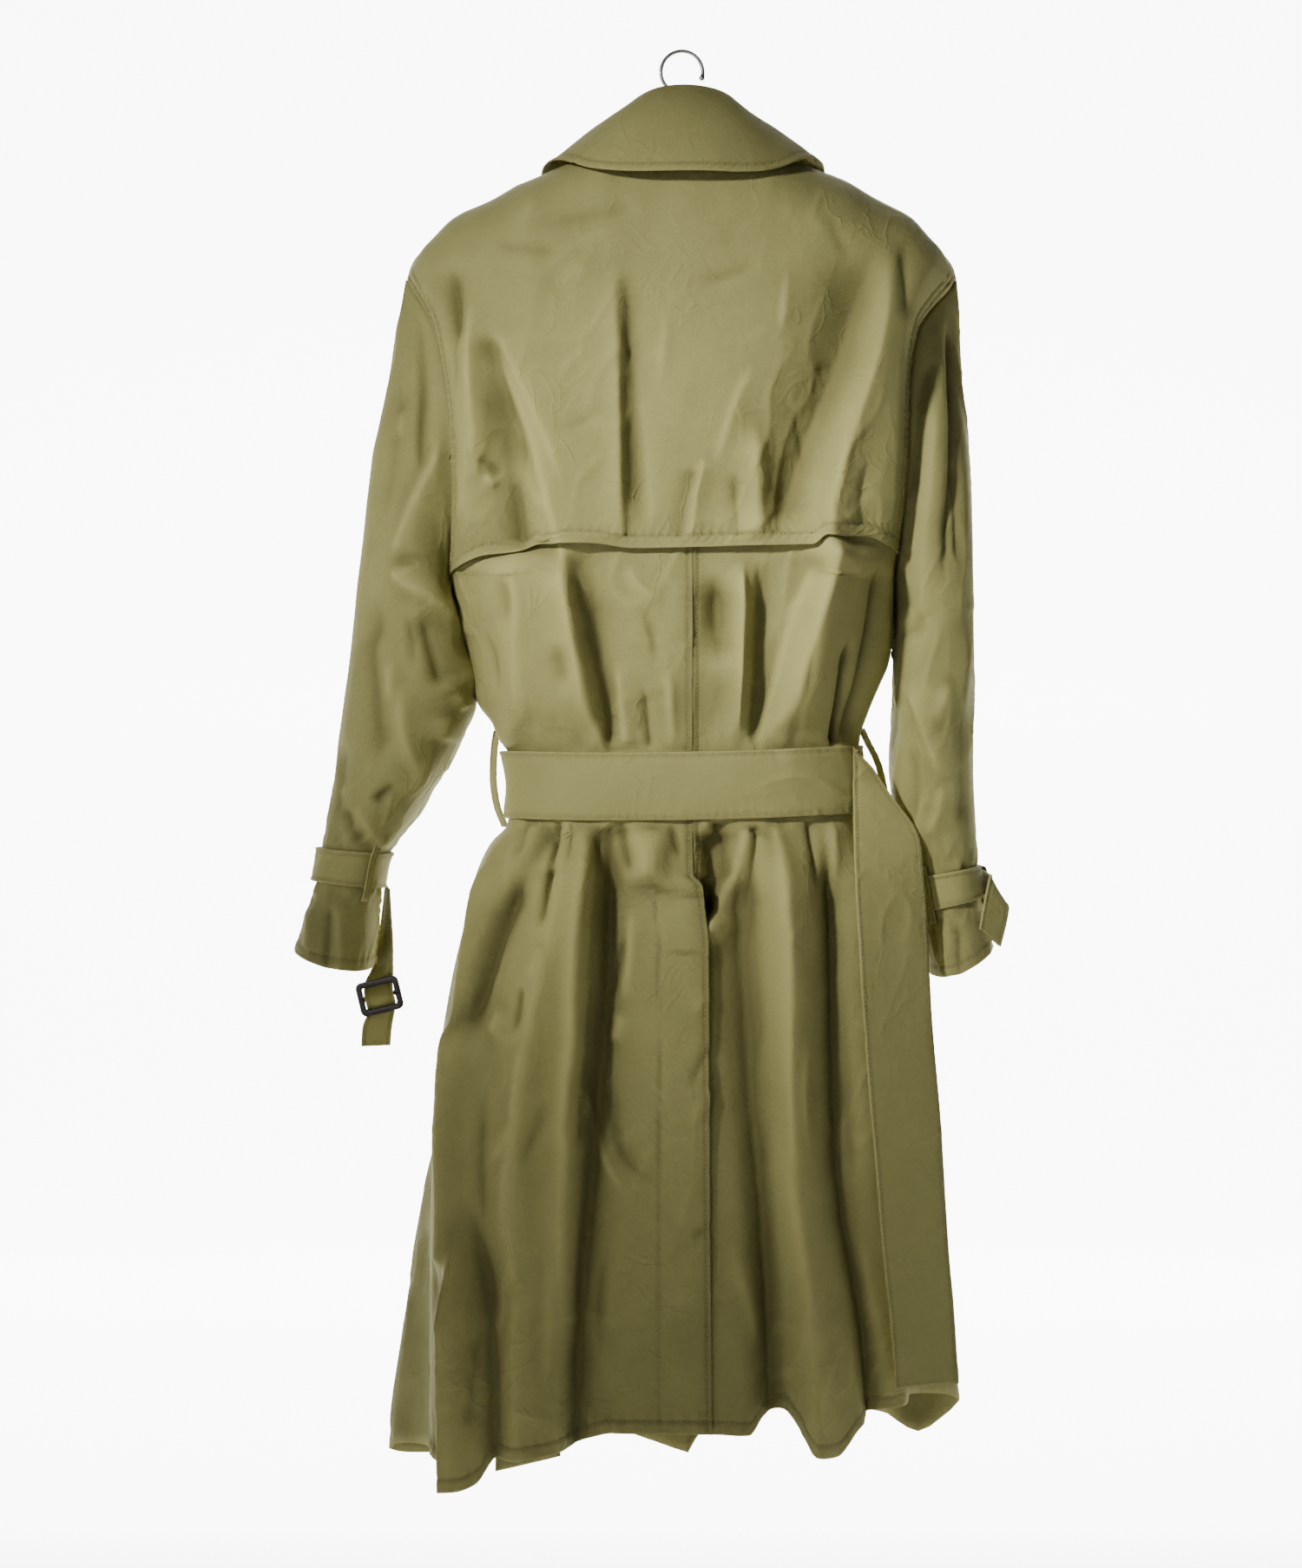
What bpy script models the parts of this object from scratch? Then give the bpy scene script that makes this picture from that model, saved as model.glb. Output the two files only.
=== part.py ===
"""Belted trench coat of thin cotton cloth on a plain hanger.

The frame is +Z up, +Y out of the coat's back and +X to the wearer's left. The origin is the inside top of the
hanger's hook. Every size is in millimetres, and MM turns it into metres where a mesh is made.

The coat's body is one closed form: torso_point() gives its outer surface, back or front, from the section tables.
The back and front halves, the storm flap, the lapels and the belt are all made from its points, moved out.
"""

import math

import bpy
import numpy as np
from mathutils import Matrix, Vector

MM = 0.001
WALL = 2.0  # thickness of a cloth wall
GAP = 0.3  # clear space between pieces at a seam
CENTRE_X = -7.0  # the centre back seam
ARMPIT = -443.0  # height of the armholes' lowest point
SHOULDER_TIP = (231.0, -190.0)  # distance from the centre plane, height
SHOULDER_ROLL = 55.0  # height over which the cloth rolls over the shoulder
SQUARENESS = 2.6  # exponent of the body's section, 2 is an ellipse
FINEST_FOLD = 11.0  # the sharpest flank that the wall's points can follow

BELT_HEIGHT = 55.0
BELT_MIDDLE = -612.0
BELT_CLEARANCE = 1.7
FOLD_STRENGTH = 1.35  # the folds' heights below are multiplied by this

UPPER_LEVELS = (0, 0.04, 0.12, 0.22, 0.34, 0.46, 0.58, 0.70, 0.82, 0.92, 1.0)
LOWER_ROWS = 24
BACK_COLUMNS = 18
FRONT_COLUMNS = 9


def columns(names, rows):
    """The table as one array for each named column."""
    return dict(zip(names.split(), np.array(rows, float).T))


# The shoulder line, from the middle of the neck outwards: where the back and the front meet at the top.
SHOULDER_LINE = columns(
    "across height depth",
    [
        (0, -94, 48),
        (30, -93, 44),
        (56, -90, 30),
        (72, -86, 10),
        (90, -94, 2),
        (117, -106, 0),
        (137, -114, 0),
        (160, -127, 0),
        (192, -143, 0),
        (208, -157.5, 0),
        (220, -169, 0),
        (228, -180, 0),
        (231, -190, 0),
    ],
)

# Each armhole from the shoulder tip down: distance from the centre plane, left and right, and depth behind the middle.
ARMHOLES = columns(
    "height left right depth",
    [
        (-190, 231, 230, 0),
        (-200, 226, 224, 12),
        (-217, 216, 209, 26),
        (-240, 205, 194, 38),
        (-274, 197, 187, 48),
        (-310, 191, 185, 54),
        (-350, 188, 183, 56),
        (-385, 188, 181, 52),
        (-415, 190, 178, 40),
        (-433, 193, 177, 22),
        (-443, 195, 177, 0),
    ],
)

# The body's side seams below the armholes: distance from the centre plane, and how far each seam sits behind the middle.
SIDE_SEAMS = columns(
    "height left left_back right right_back",
    [
        (-443, 195, 0, 177, 0),
        (-466, 192, 0, 176.5, 0),
        (-476, 190.5, 0, 176.3, 0),
        (-497, 182, 0, 175.8, 0),
        (-514, 177.5, 0, 173, 0),
        (-528, 175, 0, 167, 0),
        (-545, 171.5, 0, 159, 0),
        (-561, 160, 0, 153, 0),
        (-577, 151, 0, 149.5, 0),
        (-590, 145, 0, 148.5, 0),
        (-612, 142, 0, 148, 0),
        (-648, 146, 0, 152, 0),
        (-663, 160, 0, 161, 0),
        (-685, 171, 0, 172, 4),
        (-706, 177, 1, 179, 6),
        (-721, 180, 2, 184, 8),
        (-779, 193, 6, 192, 14),
        (-838, 202, 12, 195, 18),
        (-900, 207, 18, 196, 24),
        (-1013, 209, 28, 192, 32),
        (-1190, 209, 34, 182, 38),
    ],
)

# How far the body stands behind and before the middle plane, at its centre.
DEPTHS = columns(
    "height back front",
    [
        (-86, 60, 50),
        (-120, 72, 62),
        (-180, 82, 74),
        (-260, 90, 84),
        (-350, 95, 92),
        (-443, 97, 94),
        (-520, 92, 90),
        (-577, 77, 80),
        (-648, 77, 80),
        (-700, 88, 90),
        (-800, 98, 100),
        (-1000, 104, 106),
        (-1200, 106, 108),
    ],
)

# How far the fronts swell out to the sides beyond the side seams, so that they show from behind.
FRONT_SWELL = columns(
    "height left right",
    [
        (-800, 0, 0),
        (-900, 8, 10),
        (-945, 20, 20),
        (-1004, 31, 36),
        (-1034, 35, 43),
        (-1093, 44, 56),
        (-1152, 52, 64),
        (-1200, 54, 66),
    ],
)
SWELL_POWER = 9.5  # puts the swell's top just before the side seam

# The hem of the back, from the wearer's left to the right.
BACK_HEM = columns(
    "across height",
    [
        (209, -1166),
        (197, -1169),
        (187, -1184),
        (176, -1185),
        (166, -1180),
        (155, -1160),
        (124, -1157),
        (103, -1153),
        (82, -1143),
        (61, -1137),
        (-23, -1138),
        (-49, -1140),
        (-60, -1127),
        (-76, -1119),
        (-88, -1133),
        (-99, -1153),
        (-118, -1155),
        (-139, -1138),
        (-160, -1125),
        (-182, -1123),
    ],
)

# The hem of the fronts, from the centre to the side seam, as parts of the way.
FRONT_HEM = columns(
    "way left right",
    [
        (0.0, -1200, -1198),
        (0.06, -1196, -1182),
        (0.15, -1189, -1166),
        (0.35, -1177, -1158),
        (0.5, -1180, -1158),
        (0.7, -1186, -1160),
        (0.8, -1187, -1158),
        (0.86, -1188, -1170),
        (0.9, -1186, -1154),
        (0.93, -1181, -1140),
        (0.97, -1172, -1130),
        (1.0, -1166, -1123),
    ],
)

# The inner edge of each front: the roll line down to the lap, then the front edge. Plus is towards its own side.
FRONT_EDGE = columns(
    "height left right",
    [
        (-86, 72, 72),
        (-160, 46, 46),
        (-300, -16, -16),
        (-400, -60, -60),
        (-440, -78, -78),
        (-700, -78, -80),
        (-1200, -16, -74),
    ],
)

# The vent in the centre back: edge of the overlap (left half) and of the underlap (right half).
VENT_EDGES = columns(
    "height overlap underlap",
    [
        (-600, -7, -7),
        (-696, -7, -7),
        (-712, -14, 14),
        (-745, -20, 24),
        (-900, -21, 24),
        (-1200, -24, 24),
    ],
)
VENT_STEP = 3.4  # the underlap lies this far inside the overlap

# Folds of the body: height of the ridge (a trough is negative), width of the flank towards the wearer's left and
# right, how much of its length fades in and out, and its path from the top down as (across, height).
FOLDS = (
    # Across the shoulders.
    (-5, 14, 14, 0.3, 0.3, ((190, -185), (189, -262))),
    (6, 20, 24, 0.3, 0.2, ((172, -220), (173, -300), (172, -425))),
    (7, 6, 34, 0.3, 0.1, ((152, -262), (118, -350), (92, -440))),
    (-6, 34, 12, 0.3, 0.1, ((146, -270), (140, -350), (128, -430))),
    (3, 20, 6, 0.2, 0.2, ((56, -185), (52, -300), (50, -420))),
    (-4, 8, 14, 0.2, 0.2, ((46, -190), (40, -300), (34, -415))),
    (4, 12, 12, 0.3, 0.2, ((-60, -320), (-60, -420))),
    (-12, 30, 22, 0.25, 0.15, ((-160, -165), (-122, -280), (-100, -335), (-72, -420))),
    (10, 16, 20, 0.25, 0.1, ((-172, -170), (-156, -262), (-122, -372), (-110, -440))),
    # Between the storm flap and the belt.
    (13, 26, 24, 0.1, 0.2, ((133, -420), (128, -500), (116, -600))),
    (10, 22, 6, 0.2, 0.1, ((97, -420), (87, -490), (70, -600))),
    (-14, 10, 16, 0.2, 0.15, ((78, -425), (68, -500), (62, -590))),
    (-6, 14, 14, 0.3, 0.3, ((-24, -440), (-30, -520))),
    (6, 8, 12, 0.2, 0.2, ((-50, -430), (-48, -590))),
    (-14, 14, 14, 0.15, 0.2, ((-70, -425), (-66, -510), (-64, -585))),
    (18, 8, 34, 0.1, 0.15, ((-122, -408), (-108, -465), (-94, -520), (-74, -600))),
    (-7, 7, 7, 0.2, 0.1, ((-130, -495), (-124, -585))),
    (-7, 7, 7, 0.2, 0.1, ((-158, -425), (-148, -510), (-134, -585))),
    # The skirt.
    (8, 12, 12, 0.2, 0.0, ((158, -655), (174, -730), (187, -810), (192, -900), (194, -1000))),
    (-10, 12, 14, 0.2, 0.2, ((130, -680), (160, -745), (186, -830))),
    (14, 24, 18, 0.15, 0.0, ((92, -650), (96, -720), (116, -800), (132, -960), (132, -1200))),
    (-8, 7, 7, 0.1, 0.3, ((106, -682), (110, -735))),
    (15, 26, 7, 0.1, 0.35, ((74, -650), (78, -760), (86, -860), (94, -980), (98, -1090))),
    (-13, 8, 16, 0.1, 0.0, ((60, -655), (62, -760), (70, -870), (82, -1000), (92, -1200))),
    (8, 14, 12, 0.2, 0.3, ((26, -650), (24, -700))),
    (-15, 9, 12, 0.1, 0.2, ((-22, -650), (-30, -730))),
    (-17, 14, 20, 0.1, 0.0, ((-46, -660), (-52, -760), (-60, -900), (-70, -1040), (-74, -1200))),
    (17, 20, 20, 0.1, 0.0, ((-80, -650), (-84, -780), (-84, -900), (-100, -1040), (-108, -1200))),
    (-13, 12, 12, 0.1, 0.0, ((-122, -650), (-126, -800), (-130, -935), (-150, -1040), (-166, -1200))),
    (20, 7, 14, 0.4, 0.0, ((178, -960), (182, -1060), (182, -1200))),
    (-11, 10, 12, 0.3, 0.0, ((176, -940), (156, -1040), (152, -1200))),
)

# Folds of the fronts, in the same form.
FRONT_FOLDS = (
    (9, 20, 20, 0.2, 0.2, ((120, -450), (112, -590))),
    (-8, 14, 14, 0.2, 0.2, ((86, -440), (84, -590))),
    (9, 20, 20, 0.2, 0.2, ((-124, -440), (-116, -590))),
    (-8, 14, 14, 0.2, 0.2, ((-90, -450), (-86, -590))),
    (12, 22, 22, 0.1, 0.0, ((130, -650), (146, -900), (156, -1210))),
    (-11, 16, 16, 0.1, 0.0, ((92, -650), (104, -900), (112, -1210))),
    (12, 24, 22, 0.1, 0.0, ((-134, -650), (-150, -900), (-160, -1210))),
    (-11, 16, 16, 0.1, 0.0, ((-96, -650), (-106, -900), (-118, -1210))),
)

# The storm flap's free edge, and how far the flap stands off the back at its top and at that edge.
FLAP_EDGE = columns(
    "across height",
    [
        (190, -440),
        (177, -433),
        (159, -427),
        (130, -424),
        (114, -420),
        (76, -420),
        (40, -424),
        (-50, -422),
        (-102, -420),
        (-112, -412),
        (-144, -412),
        (-166, -420),
        (-185, -427),
    ],
)
FLAP_LIFT = (5.3, 8.5)  # at its top and at its free edge
FLAP_TOP = 0.012  # the level of its top row
FLAP_SHORT = 2  # it ends this many columns short of the armholes
COLLAR_REST = 7.0  # least height of the collar's outer side above the back, whose storm flap lies between them
FRONT_REST = 4.0  # the same above a front
LAPEL_REST = 2.7  # the same for the lapels

# The collar by its sections from the middle of the back to the front end: the fold at its top, the free edge of the
# fall, and the foot of the stand.
COLLAR = columns(
    "way fold_x fold_y fold_z edge_x edge_y edge_z foot_x foot_y foot_z",
    [
        (0.00, 0, 50, -37, 0, 92, -117, 0, 48, -92),
        (0.18, 24, 48, -39, 44, 88, -117, 30, 44, -91),
        (0.36, 45, 36, -49, 81, 70, -112, 54, 30, -88),
        (0.52, 57, 16, -60, 107, 32, -92, 68, 10, -80),
        (0.68, 61, -8, -70, 122, -8, -99, 67, -12, -82),
        (0.84, 58, -36, -92, 114, -52, -124, 60, -38, -104),
        (1.00, 46, -64, -126, 96, -94, -172, 49, -66, -138),
    ],
)
COLLAR_SHIFT = {"fold": -3.0, "edge": -3.0, "foot": -6.0}  # each line sits a little to the wearer's right
COLLAR_SECTIONS = 14
FALL_ROWS = 6
STAND_ROWS = 3
FALL_BULGE = 6.0
STAND_FOOT = -0.8  # how far the stand's foot is moved from the table's line, to meet the neck's edge
STAND_INSET = 0.8  # clear space between the fall and the stand under its fold

# Each lapel from the collar down to the lap: its roll line's height, and its outer edge as (across, height).
LAPEL = columns(
    "way roll_height outer_x outer_z",
    [
        (0.0, -150, 96, -186),
        (0.2, -200, 122, -226),
        (0.5, -275, 78, -305),
        (0.8, -350, 14, -372),
        (1.0, -398, -52, -402),
    ],
)
LAPEL_ROWS = 8
LAPEL_COLUMNS = 5
LAPEL_ROLL = 2.5  # the turned cloth starts this far from the front's edge
LAPEL_LIFT = 3.0
LAPEL_BULGE = 3.0
FRONT_LAP = 12.0  # the right front lies this far outside the left one

# Sleeves by their rings: outer and inner point as (distance from the centre plane, height), half the depth, and how
# far the ring's middle lies before the middle plane.
LEFT_SLEEVE = columns(
    "outer_x outer_z inner_x inner_z half_depth forward",
    [
        (241, -240, 201, -455, 57, 0),
        (250, -298, 194, -476, 62, 0),
        (258, -355, 184, -497, 66, 1),
        (265, -418, 178, -520, 68, 2),
        (274, -480, 175, -545, 67, 3),
        (282, -536, 183, -570, 64, 4),
        (289, -586, 199, -600, 59, 5),
        (296, -630, 222, -636, 53, 6),
        (302, -660, 243, -666, 48, 7),
        (304, -676, 250, -681, 46, 8),
        (307, -692, 253, -699, 46, 8),
        (313, -712, 255, -719, 50, 8),
        (320, -732, 257, -742, 55, 8),
        (326, -750, 259, -766, 59, 8),
    ],
)
RIGHT_SLEEVE = columns(
    "outer_x outer_z inner_x inner_z half_depth forward",
    [
        (236, -245, 179, -460, 57, 0),
        (240, -305, 178.4, -480, 62, 0),
        (243, -365, 178, -504, 66, 1),
        (244, -430, 178, -532, 68, 2),
        (245, -490, 177, -562, 67, 4),
        (245, -550, 175, -596, 63, 6),
        (245.5, -602, 178, -628, 58, 8),
        (246, -645, 186, -660, 53, 9),
        (247.5, -676, 193, -686, 48, 10),
        (248.5, -690, 197, -701, 46, 10),
        (250.5, -706, 200, -719, 46, 10),
        (253.5, -724, 203, -738, 50, 10),
        (257, -737, 207, -757, 55, 10),
        (260, -748, 211, -772, 59, 10),
    ],
)
HEM_SAG = 7.0  # the cuff's hem hangs this much lower at the back
ARMHOLE_EASE = 0.9  # the sleeve starts this far beside the armhole's edge
SLEEVE_SHAPE = 0.9  # exponent that squares the sleeve's rings a little
CUFF_DEPTH = 46.0
CUFF_STRAP_RINGS = (9.4, 11.1)  # where the strap lies, counted in the sleeve's rings
STRAP_LIFT = 1.6
STRAP_SLACK = {"left": 1.0, "right": 0.2}  # how far the strap stands off more at the outer side
STRAP_COLUMNS = 28
LOOP_WIDTH = 9.0
LOOP_WALL = 1.4
LOOP_BULGE = 1.6  # how far a cuff loop stands off the strap that it holds
LOOP_TURNS = {"left": 2.25, "right": 2.3}

# The straps' ends above and below their sliders, by rows of their two edges.
LEFT_STRAP_ABOVE = (
    (252.3, -35, -700, 248.1, -10, -703),
    (258, -42, -742, 246, -22, -744),
    (262, -42, -766, 246, -25, -768),
)
LEFT_STRAP_BELOW = ((271, -31, -821, 247, -31, -822), (272, -30, -837, 248, -30, -836))
RIGHT_STRAP_ABOVE = (
    (-265, 25, -749, -247, 34, -734),
    (-271, 17, -729, -252, 26, -711),
    (-273, 11, -715, -257, 16, -693),
    (-265, 4, -714, -260, 4, -690),
    (-261, -10, -714, -260, -11, -690),
)
RIGHT_STRAP_BELOW = ((-242.3, -62, -714, -242.3, -62, -690),)
SLIDER_WIDTH, SLIDER_HEIGHT, SLIDER_THICKNESS = 37.0, 29.0, 3.6
SLIDER_RAIL, SLIDER_BAR, SLIDER_EDGE = 5.0, 3.0, 0.7
SLIDER_CORNER, SLOT_CORNER, CORNER_STEPS = 6.0, 2.0, 2
LEFT_SLIDER = ((256.5, -28.0, -794), (-1, 0, 0.24), (0.24, 0, 1))  # its middle, across it, and up it
RIGHT_SLIDER = ((-252.5, -46.0, -702), (0, 0, 1), (-0.447, 0.894, 0))

# How a strap runs through its slider: height up the slider, height off it and shift across it.
THREADING = ((15, -2.7, 3.0), (10.2, -2.7, 0.8), (2.8, 4.5, 0), (-2.8, 4.5, 0), (-10.2, -2.7, -0.8), (-15, -2.7, -3.0))
THREAD_HALF = 12.0

BELT_DROOP = 3.5  # how far its middle hangs lower
BELT_SLOPE = 0.016
# The belt's two free ends, by rows of their two edges.
RIGHT_BELT_END = (
    (-141, 45.8, -583, -146, 44.8, -589),
    (-141, 45.8, -600, -158, 40.8, -602),
    (-141, 46.8, -620, -173, 39.8, -624),
    (-141, 56, -652, -194, 40, -654),
    (-141, 71, -684, -198, 46, -684),
    (-142, 82, -720, -200.5, 52, -720),
    (-146, 91, -795, -203.5, 58, -795),
    (-151, 95, -860, -208.5, 60, -860),
    (-155, 96, -907, -212.5, 60, -907),
    (-162, 96, -990, -217.5, 60, -990),
    (-168, 95, -1047, -222.5, 58, -1047),
    (-172, 94, -1103, -226.5, 57, -1106),
)
LEFT_BELT_END = (
    (142.8, -45.8, -583, 136.8, -49.8, -589),
    (142.8, -46.8, -602, 125, -56.8, -606),
    (143.4, -51.4, -624, 109.5, -71.4, -630),
    (144, -66, -656, 90, -92, -660),
    (146, -80, -690, 91, -104, -692),
    (150, -96, -760, 95, -116, -760),
    (153, -102, -840, 98, -120, -840),
    (156, -102, -960, 102, -122, -960),
    (159, -100, -1100, 104, -122, -1100),
    (161, -98, -1214, 106, -122, -1206),
)
# The loops that hold the belt at the side seams, by rows of (x, z) of their outer face.
LEFT_BELT_LOOP = ((157.4, -569), (159.4, -580), (160.6, -598), (160.2, -616), (157.0, -634), (150.6, -650))
RIGHT_BELT_LOOP = ((-153.0, -567), (-158, -578), (-166, -594), (-171, -612), (-173, -630), (-168, -646), (-163, -660))
BELT_LOOP_DEPTH = 10.0

# Each button's place as (across, height), and how far it is raised to clear the cloth's facets.
BUTTONS = ((-52, -446, 0.2), (44, -446, 0.4), (-52, -545, 0.9), (44, -545, 0.8), (-52, -700, 0), (44, -700, 0))
BUTTON_STEPS = 12

HANGER_REACH = 196.0
HANGER_RADIUS = 5.0
HANGER_CLEAR = 3.3
HANGER_NECK = -76.0
NECK_HALF = 72.0  # the bar is bowed up to the hook over this distance from the middle
NECK_RISE = 4.0
HOOK_INSIDE = 16.0
HOOK_WIRE = 1.6
HOOK_STEM = 8.0  # between the straight stem and the bend
HOOK_TURN = 205.0


# ---------------------------------------------------------------- curves and walls


def along(keys, values, at):
    """A smooth curve through (keys, values) that never overshoots them, read at the places given."""
    order = np.argsort(keys)
    keys, values = np.asarray(keys, float)[order], np.asarray(values, float)[order]
    step = np.diff(keys)
    slope = np.diff(values) / step
    lean = np.empty(len(keys))
    lean[0], lean[-1] = slope[0], slope[-1]
    before, after = slope[:-1], slope[1:]
    product = before * after
    lean[1:-1] = np.where(product > 0, 2 * product / np.where(product > 0, before + after, 1), 0)
    at = np.clip(at, keys[0], keys[-1])
    cell = np.clip(np.searchsorted(keys, at) - 1, 0, len(step) - 1)
    t = (at - keys[cell]) / step[cell]
    rise = values[cell] * (2 * t**3 - 3 * t**2 + 1) + values[cell + 1] * (3 * t**2 - 2 * t**3)
    bend = lean[cell] * (t**3 - 2 * t**2 + t) + lean[cell + 1] * (t**3 - t**2)
    return rise + bend * step[cell]


def ramp(value, start, end):
    """0 before start, 1 after end, and smooth between them; start may be the larger one."""
    t = np.clip((np.asarray(value, float) - start) / (end - start), 0, 1)
    return t * t * (3 - 2 * t)


def unit(vectors):
    return vectors / np.maximum(np.linalg.norm(vectors, axis=-1, keepdims=True), 1e-9)


def grid_normals(points, outwards):
    """The normals of a grid of points, turned to the side that the vectors given point to."""
    down = np.gradient(points, axis=0)
    across = np.gradient(points, axis=1)
    normals = unit(np.cross(down, across))
    facing = np.sum(normals * outwards, axis=-1, keepdims=True)
    return np.where(facing < 0, -normals, normals)


def smoothed(grid, times):
    """The grid with each inner row and column averaged with its neighbours; its border stays."""
    grid = grid.copy()
    for _ in range(times):
        grid[1:-1] = (grid[:-2] + 2 * grid[1:-1] + grid[2:]) / 4
        grid[:, 1:-1] = (grid[:, :-2] + 2 * grid[:, 1:-1] + grid[:, 2:]) / 4
    return grid


def wall_faces(rows, cols, ring):
    """Triangles of a wall whose outer points come first and its inner ones after, both row by row."""
    faces = []
    count = rows * cols
    spans = cols if ring else cols - 1

    def quad(a, b, c, d):
        faces.extend(((a, b, c), (a, c, d)))

    for r in range(rows - 1):
        for c in range(spans):
            n = (c + 1) % cols
            a, b, e, f = r * cols + c, r * cols + n, (r + 1) * cols + n, (r + 1) * cols + c
            quad(a, b, e, f)
            faces.extend(((a + count, e + count, b + count), (a + count, f + count, e + count)))
    for c in range(spans):
        n = (c + 1) % cols
        last = (rows - 1) * cols
        quad(c, c + count, n + count, n)
        quad(last + c, last + n, last + n + count, last + c + count)
    if not ring:
        for r in range(rows - 1):
            a, b = r * cols, (r + 1) * cols
            quad(a, b, b + count, a + count)
            a, b = a + cols - 1, b + cols - 1
            quad(a, a + count, b + count, b)
    return faces


def signed_volume(points, faces):
    corners = points[np.array(faces)]
    return np.einsum("ij,ij->i", corners[:, 0], np.cross(corners[:, 1], corners[:, 2])).sum()


def add_object(name, points, faces, finish, smooth=True):
    """A mesh object named for its piece, from points in millimetres."""
    points = np.asarray(points, float)
    if signed_volume(points, faces) < 0:
        faces = [face[::-1] for face in faces]
    mesh = bpy.data.meshes.new(name)
    mesh.from_pydata((points * MM).tolist(), [], faces)
    if smooth:
        mesh.shade_smooth()
        mesh.set_sharp_from_angle(angle=math.radians(60))
    mesh.materials.append(finish)
    piece = bpy.data.objects.new(name, mesh)
    COAT.objects.link(piece)
    return piece


def add_wall(name, outer, normals, finish, thickness=WALL, ring=False):
    """A cloth wall: the outer grid of points, and the same grid moved in along its normals."""
    rows, cols = outer.shape[:2]
    inner = outer - normals * thickness
    points = np.concatenate([outer.reshape(-1, 3), inner.reshape(-1, 3)])
    return add_object(name, points, wall_faces(rows, cols, ring), finish)


# ---------------------------------------------------------------- the body's surface


def fold_height(across, height, folds, finest=FINEST_FOLD):
    """How far the folds move the surface out at each (across, height)."""
    place = np.stack([across, height], axis=-1)
    total = np.zeros(np.shape(across))
    for depth, left, right, fade_in, fade_out, path in folds:
        path = np.array(path, float)
        steps = np.linspace(path[0, 1], path[-1, 1], 13)
        line = np.stack([along(path[:, 1], path[:, 0], steps), steps], axis=-1)
        start, run = line[:-1], np.diff(line, axis=0)
        offset = place[..., None, :] - start
        t = np.clip((offset * run).sum(-1) / (run * run).sum(-1), 0, 1)
        gap = np.linalg.norm(offset - t[..., None] * run, axis=-1)
        near = gap.argmin(-1)[..., None]
        distance = np.take_along_axis(gap, near, -1)[..., 0]
        way = (near[..., 0] + np.take_along_axis(t, near, -1)[..., 0]) / len(run)
        side = offset[..., 0] * run[:, 1] - offset[..., 1] * run[:, 0]
        leftwards = np.take_along_axis(side, near, -1)[..., 0] < 0
        width = np.where(leftwards, max(left, finest), max(right, finest))
        fade = ramp(way, 0, max(fade_in, 0.01)) * ramp(way, 1, 1 - max(fade_out, 0.01))
        if not fade_out:
            fade = ramp(way, 0, max(fade_in, 0.01))
        total += depth * np.exp(-((distance / width) ** 2)) * fade
    return total


def column_ways(count):
    """How far each column lies from the centre to the side, spaced evenly along the body's section."""
    turn = np.linspace(0, math.pi / 2, 400)
    out = np.sin(turn) ** (2 / SQUARENESS)
    deep = np.cos(turn) ** (2 / SQUARENESS)
    run = np.concatenate([[0], np.cumsum(np.hypot(200 * np.diff(out), 95 * np.diff(deep)))])
    return np.interp(np.linspace(0, 1, count + 1), run / run[-1], out)


def torso_point(face, side, way, level):
    """The body's outer surface without its folds.

    face is "back" or "front", side is 1 for the wearer's left and -1 for the right. way runs from 0 at the centre seam
    to 1 at the side seam or the armhole. level runs from 0 at the shoulder line over 1 at the armpit to 2 at the hem.
    """
    name = "left" if side > 0 else "right"
    way, level = np.broadcast_arrays(np.asarray(way, float), np.asarray(level, float))
    high = np.clip(level, 0, 1)
    tip_x, tip_z = SHOULDER_TIP
    at_top = way * tip_x
    top = along(SHOULDER_LINE["across"], SHOULDER_LINE["height"], at_top)
    upper_z = top + (ARMPIT - top) * high
    end_z = tip_z + (ARMPIT - tip_z) * high
    upper_x = along(ARMHOLES["height"], ARMHOLES[name], end_z)
    upper_y = along(ARMHOLES["height"], ARMHOLES["depth"], end_z)
    if face == "back":
        hem_x = way * 209 if side > 0 else -way * 182
        hem = along(BACK_HEM["across"], BACK_HEM["height"], hem_x)
    else:
        hem = along(FRONT_HEM["way"], FRONT_HEM[name], way)
    z = np.where(level <= 1, upper_z, ARMPIT + (hem - ARMPIT) * (level - 1))
    edge_x = np.where(level <= 1, upper_x, along(SIDE_SEAMS["height"], SIDE_SEAMS[name], z))
    behind = np.where(level <= 1, 0, along(SIDE_SEAMS["height"], SIDE_SEAMS[name + "_back"], z))
    outwards = 1 if face == "back" else -1
    edge_y = np.where(level <= 1, outwards * upper_y, behind)
    deep = outwards * along(DEPTHS["height"], DEPTHS[face], z)
    round_off = (1 - np.clip(way, 0, 1) ** SQUARENESS) ** (1 / SQUARENESS)
    y = edge_y + (deep - edge_y) * round_off
    top_y = along(SHOULDER_LINE["across"], SHOULDER_LINE["depth"], at_top)
    if face == "front":
        top_y = np.minimum(top_y, 0)
    fall = np.clip((top - z) / SHOULDER_ROLL, 0, 1)
    y = top_y + (y - top_y) * np.sqrt(1 - (1 - fall) ** 2)
    x = CENTRE_X + (side * edge_x - CENTRE_X) * way
    if face == "front":
        swell = along(FRONT_SWELL["height"], FRONT_SWELL[name], z)
        x = x + side * swell * np.sin(math.pi * np.clip(way, 0, 1) ** SWELL_POWER)
    return np.stack([x, y, z], axis=-1)


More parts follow.
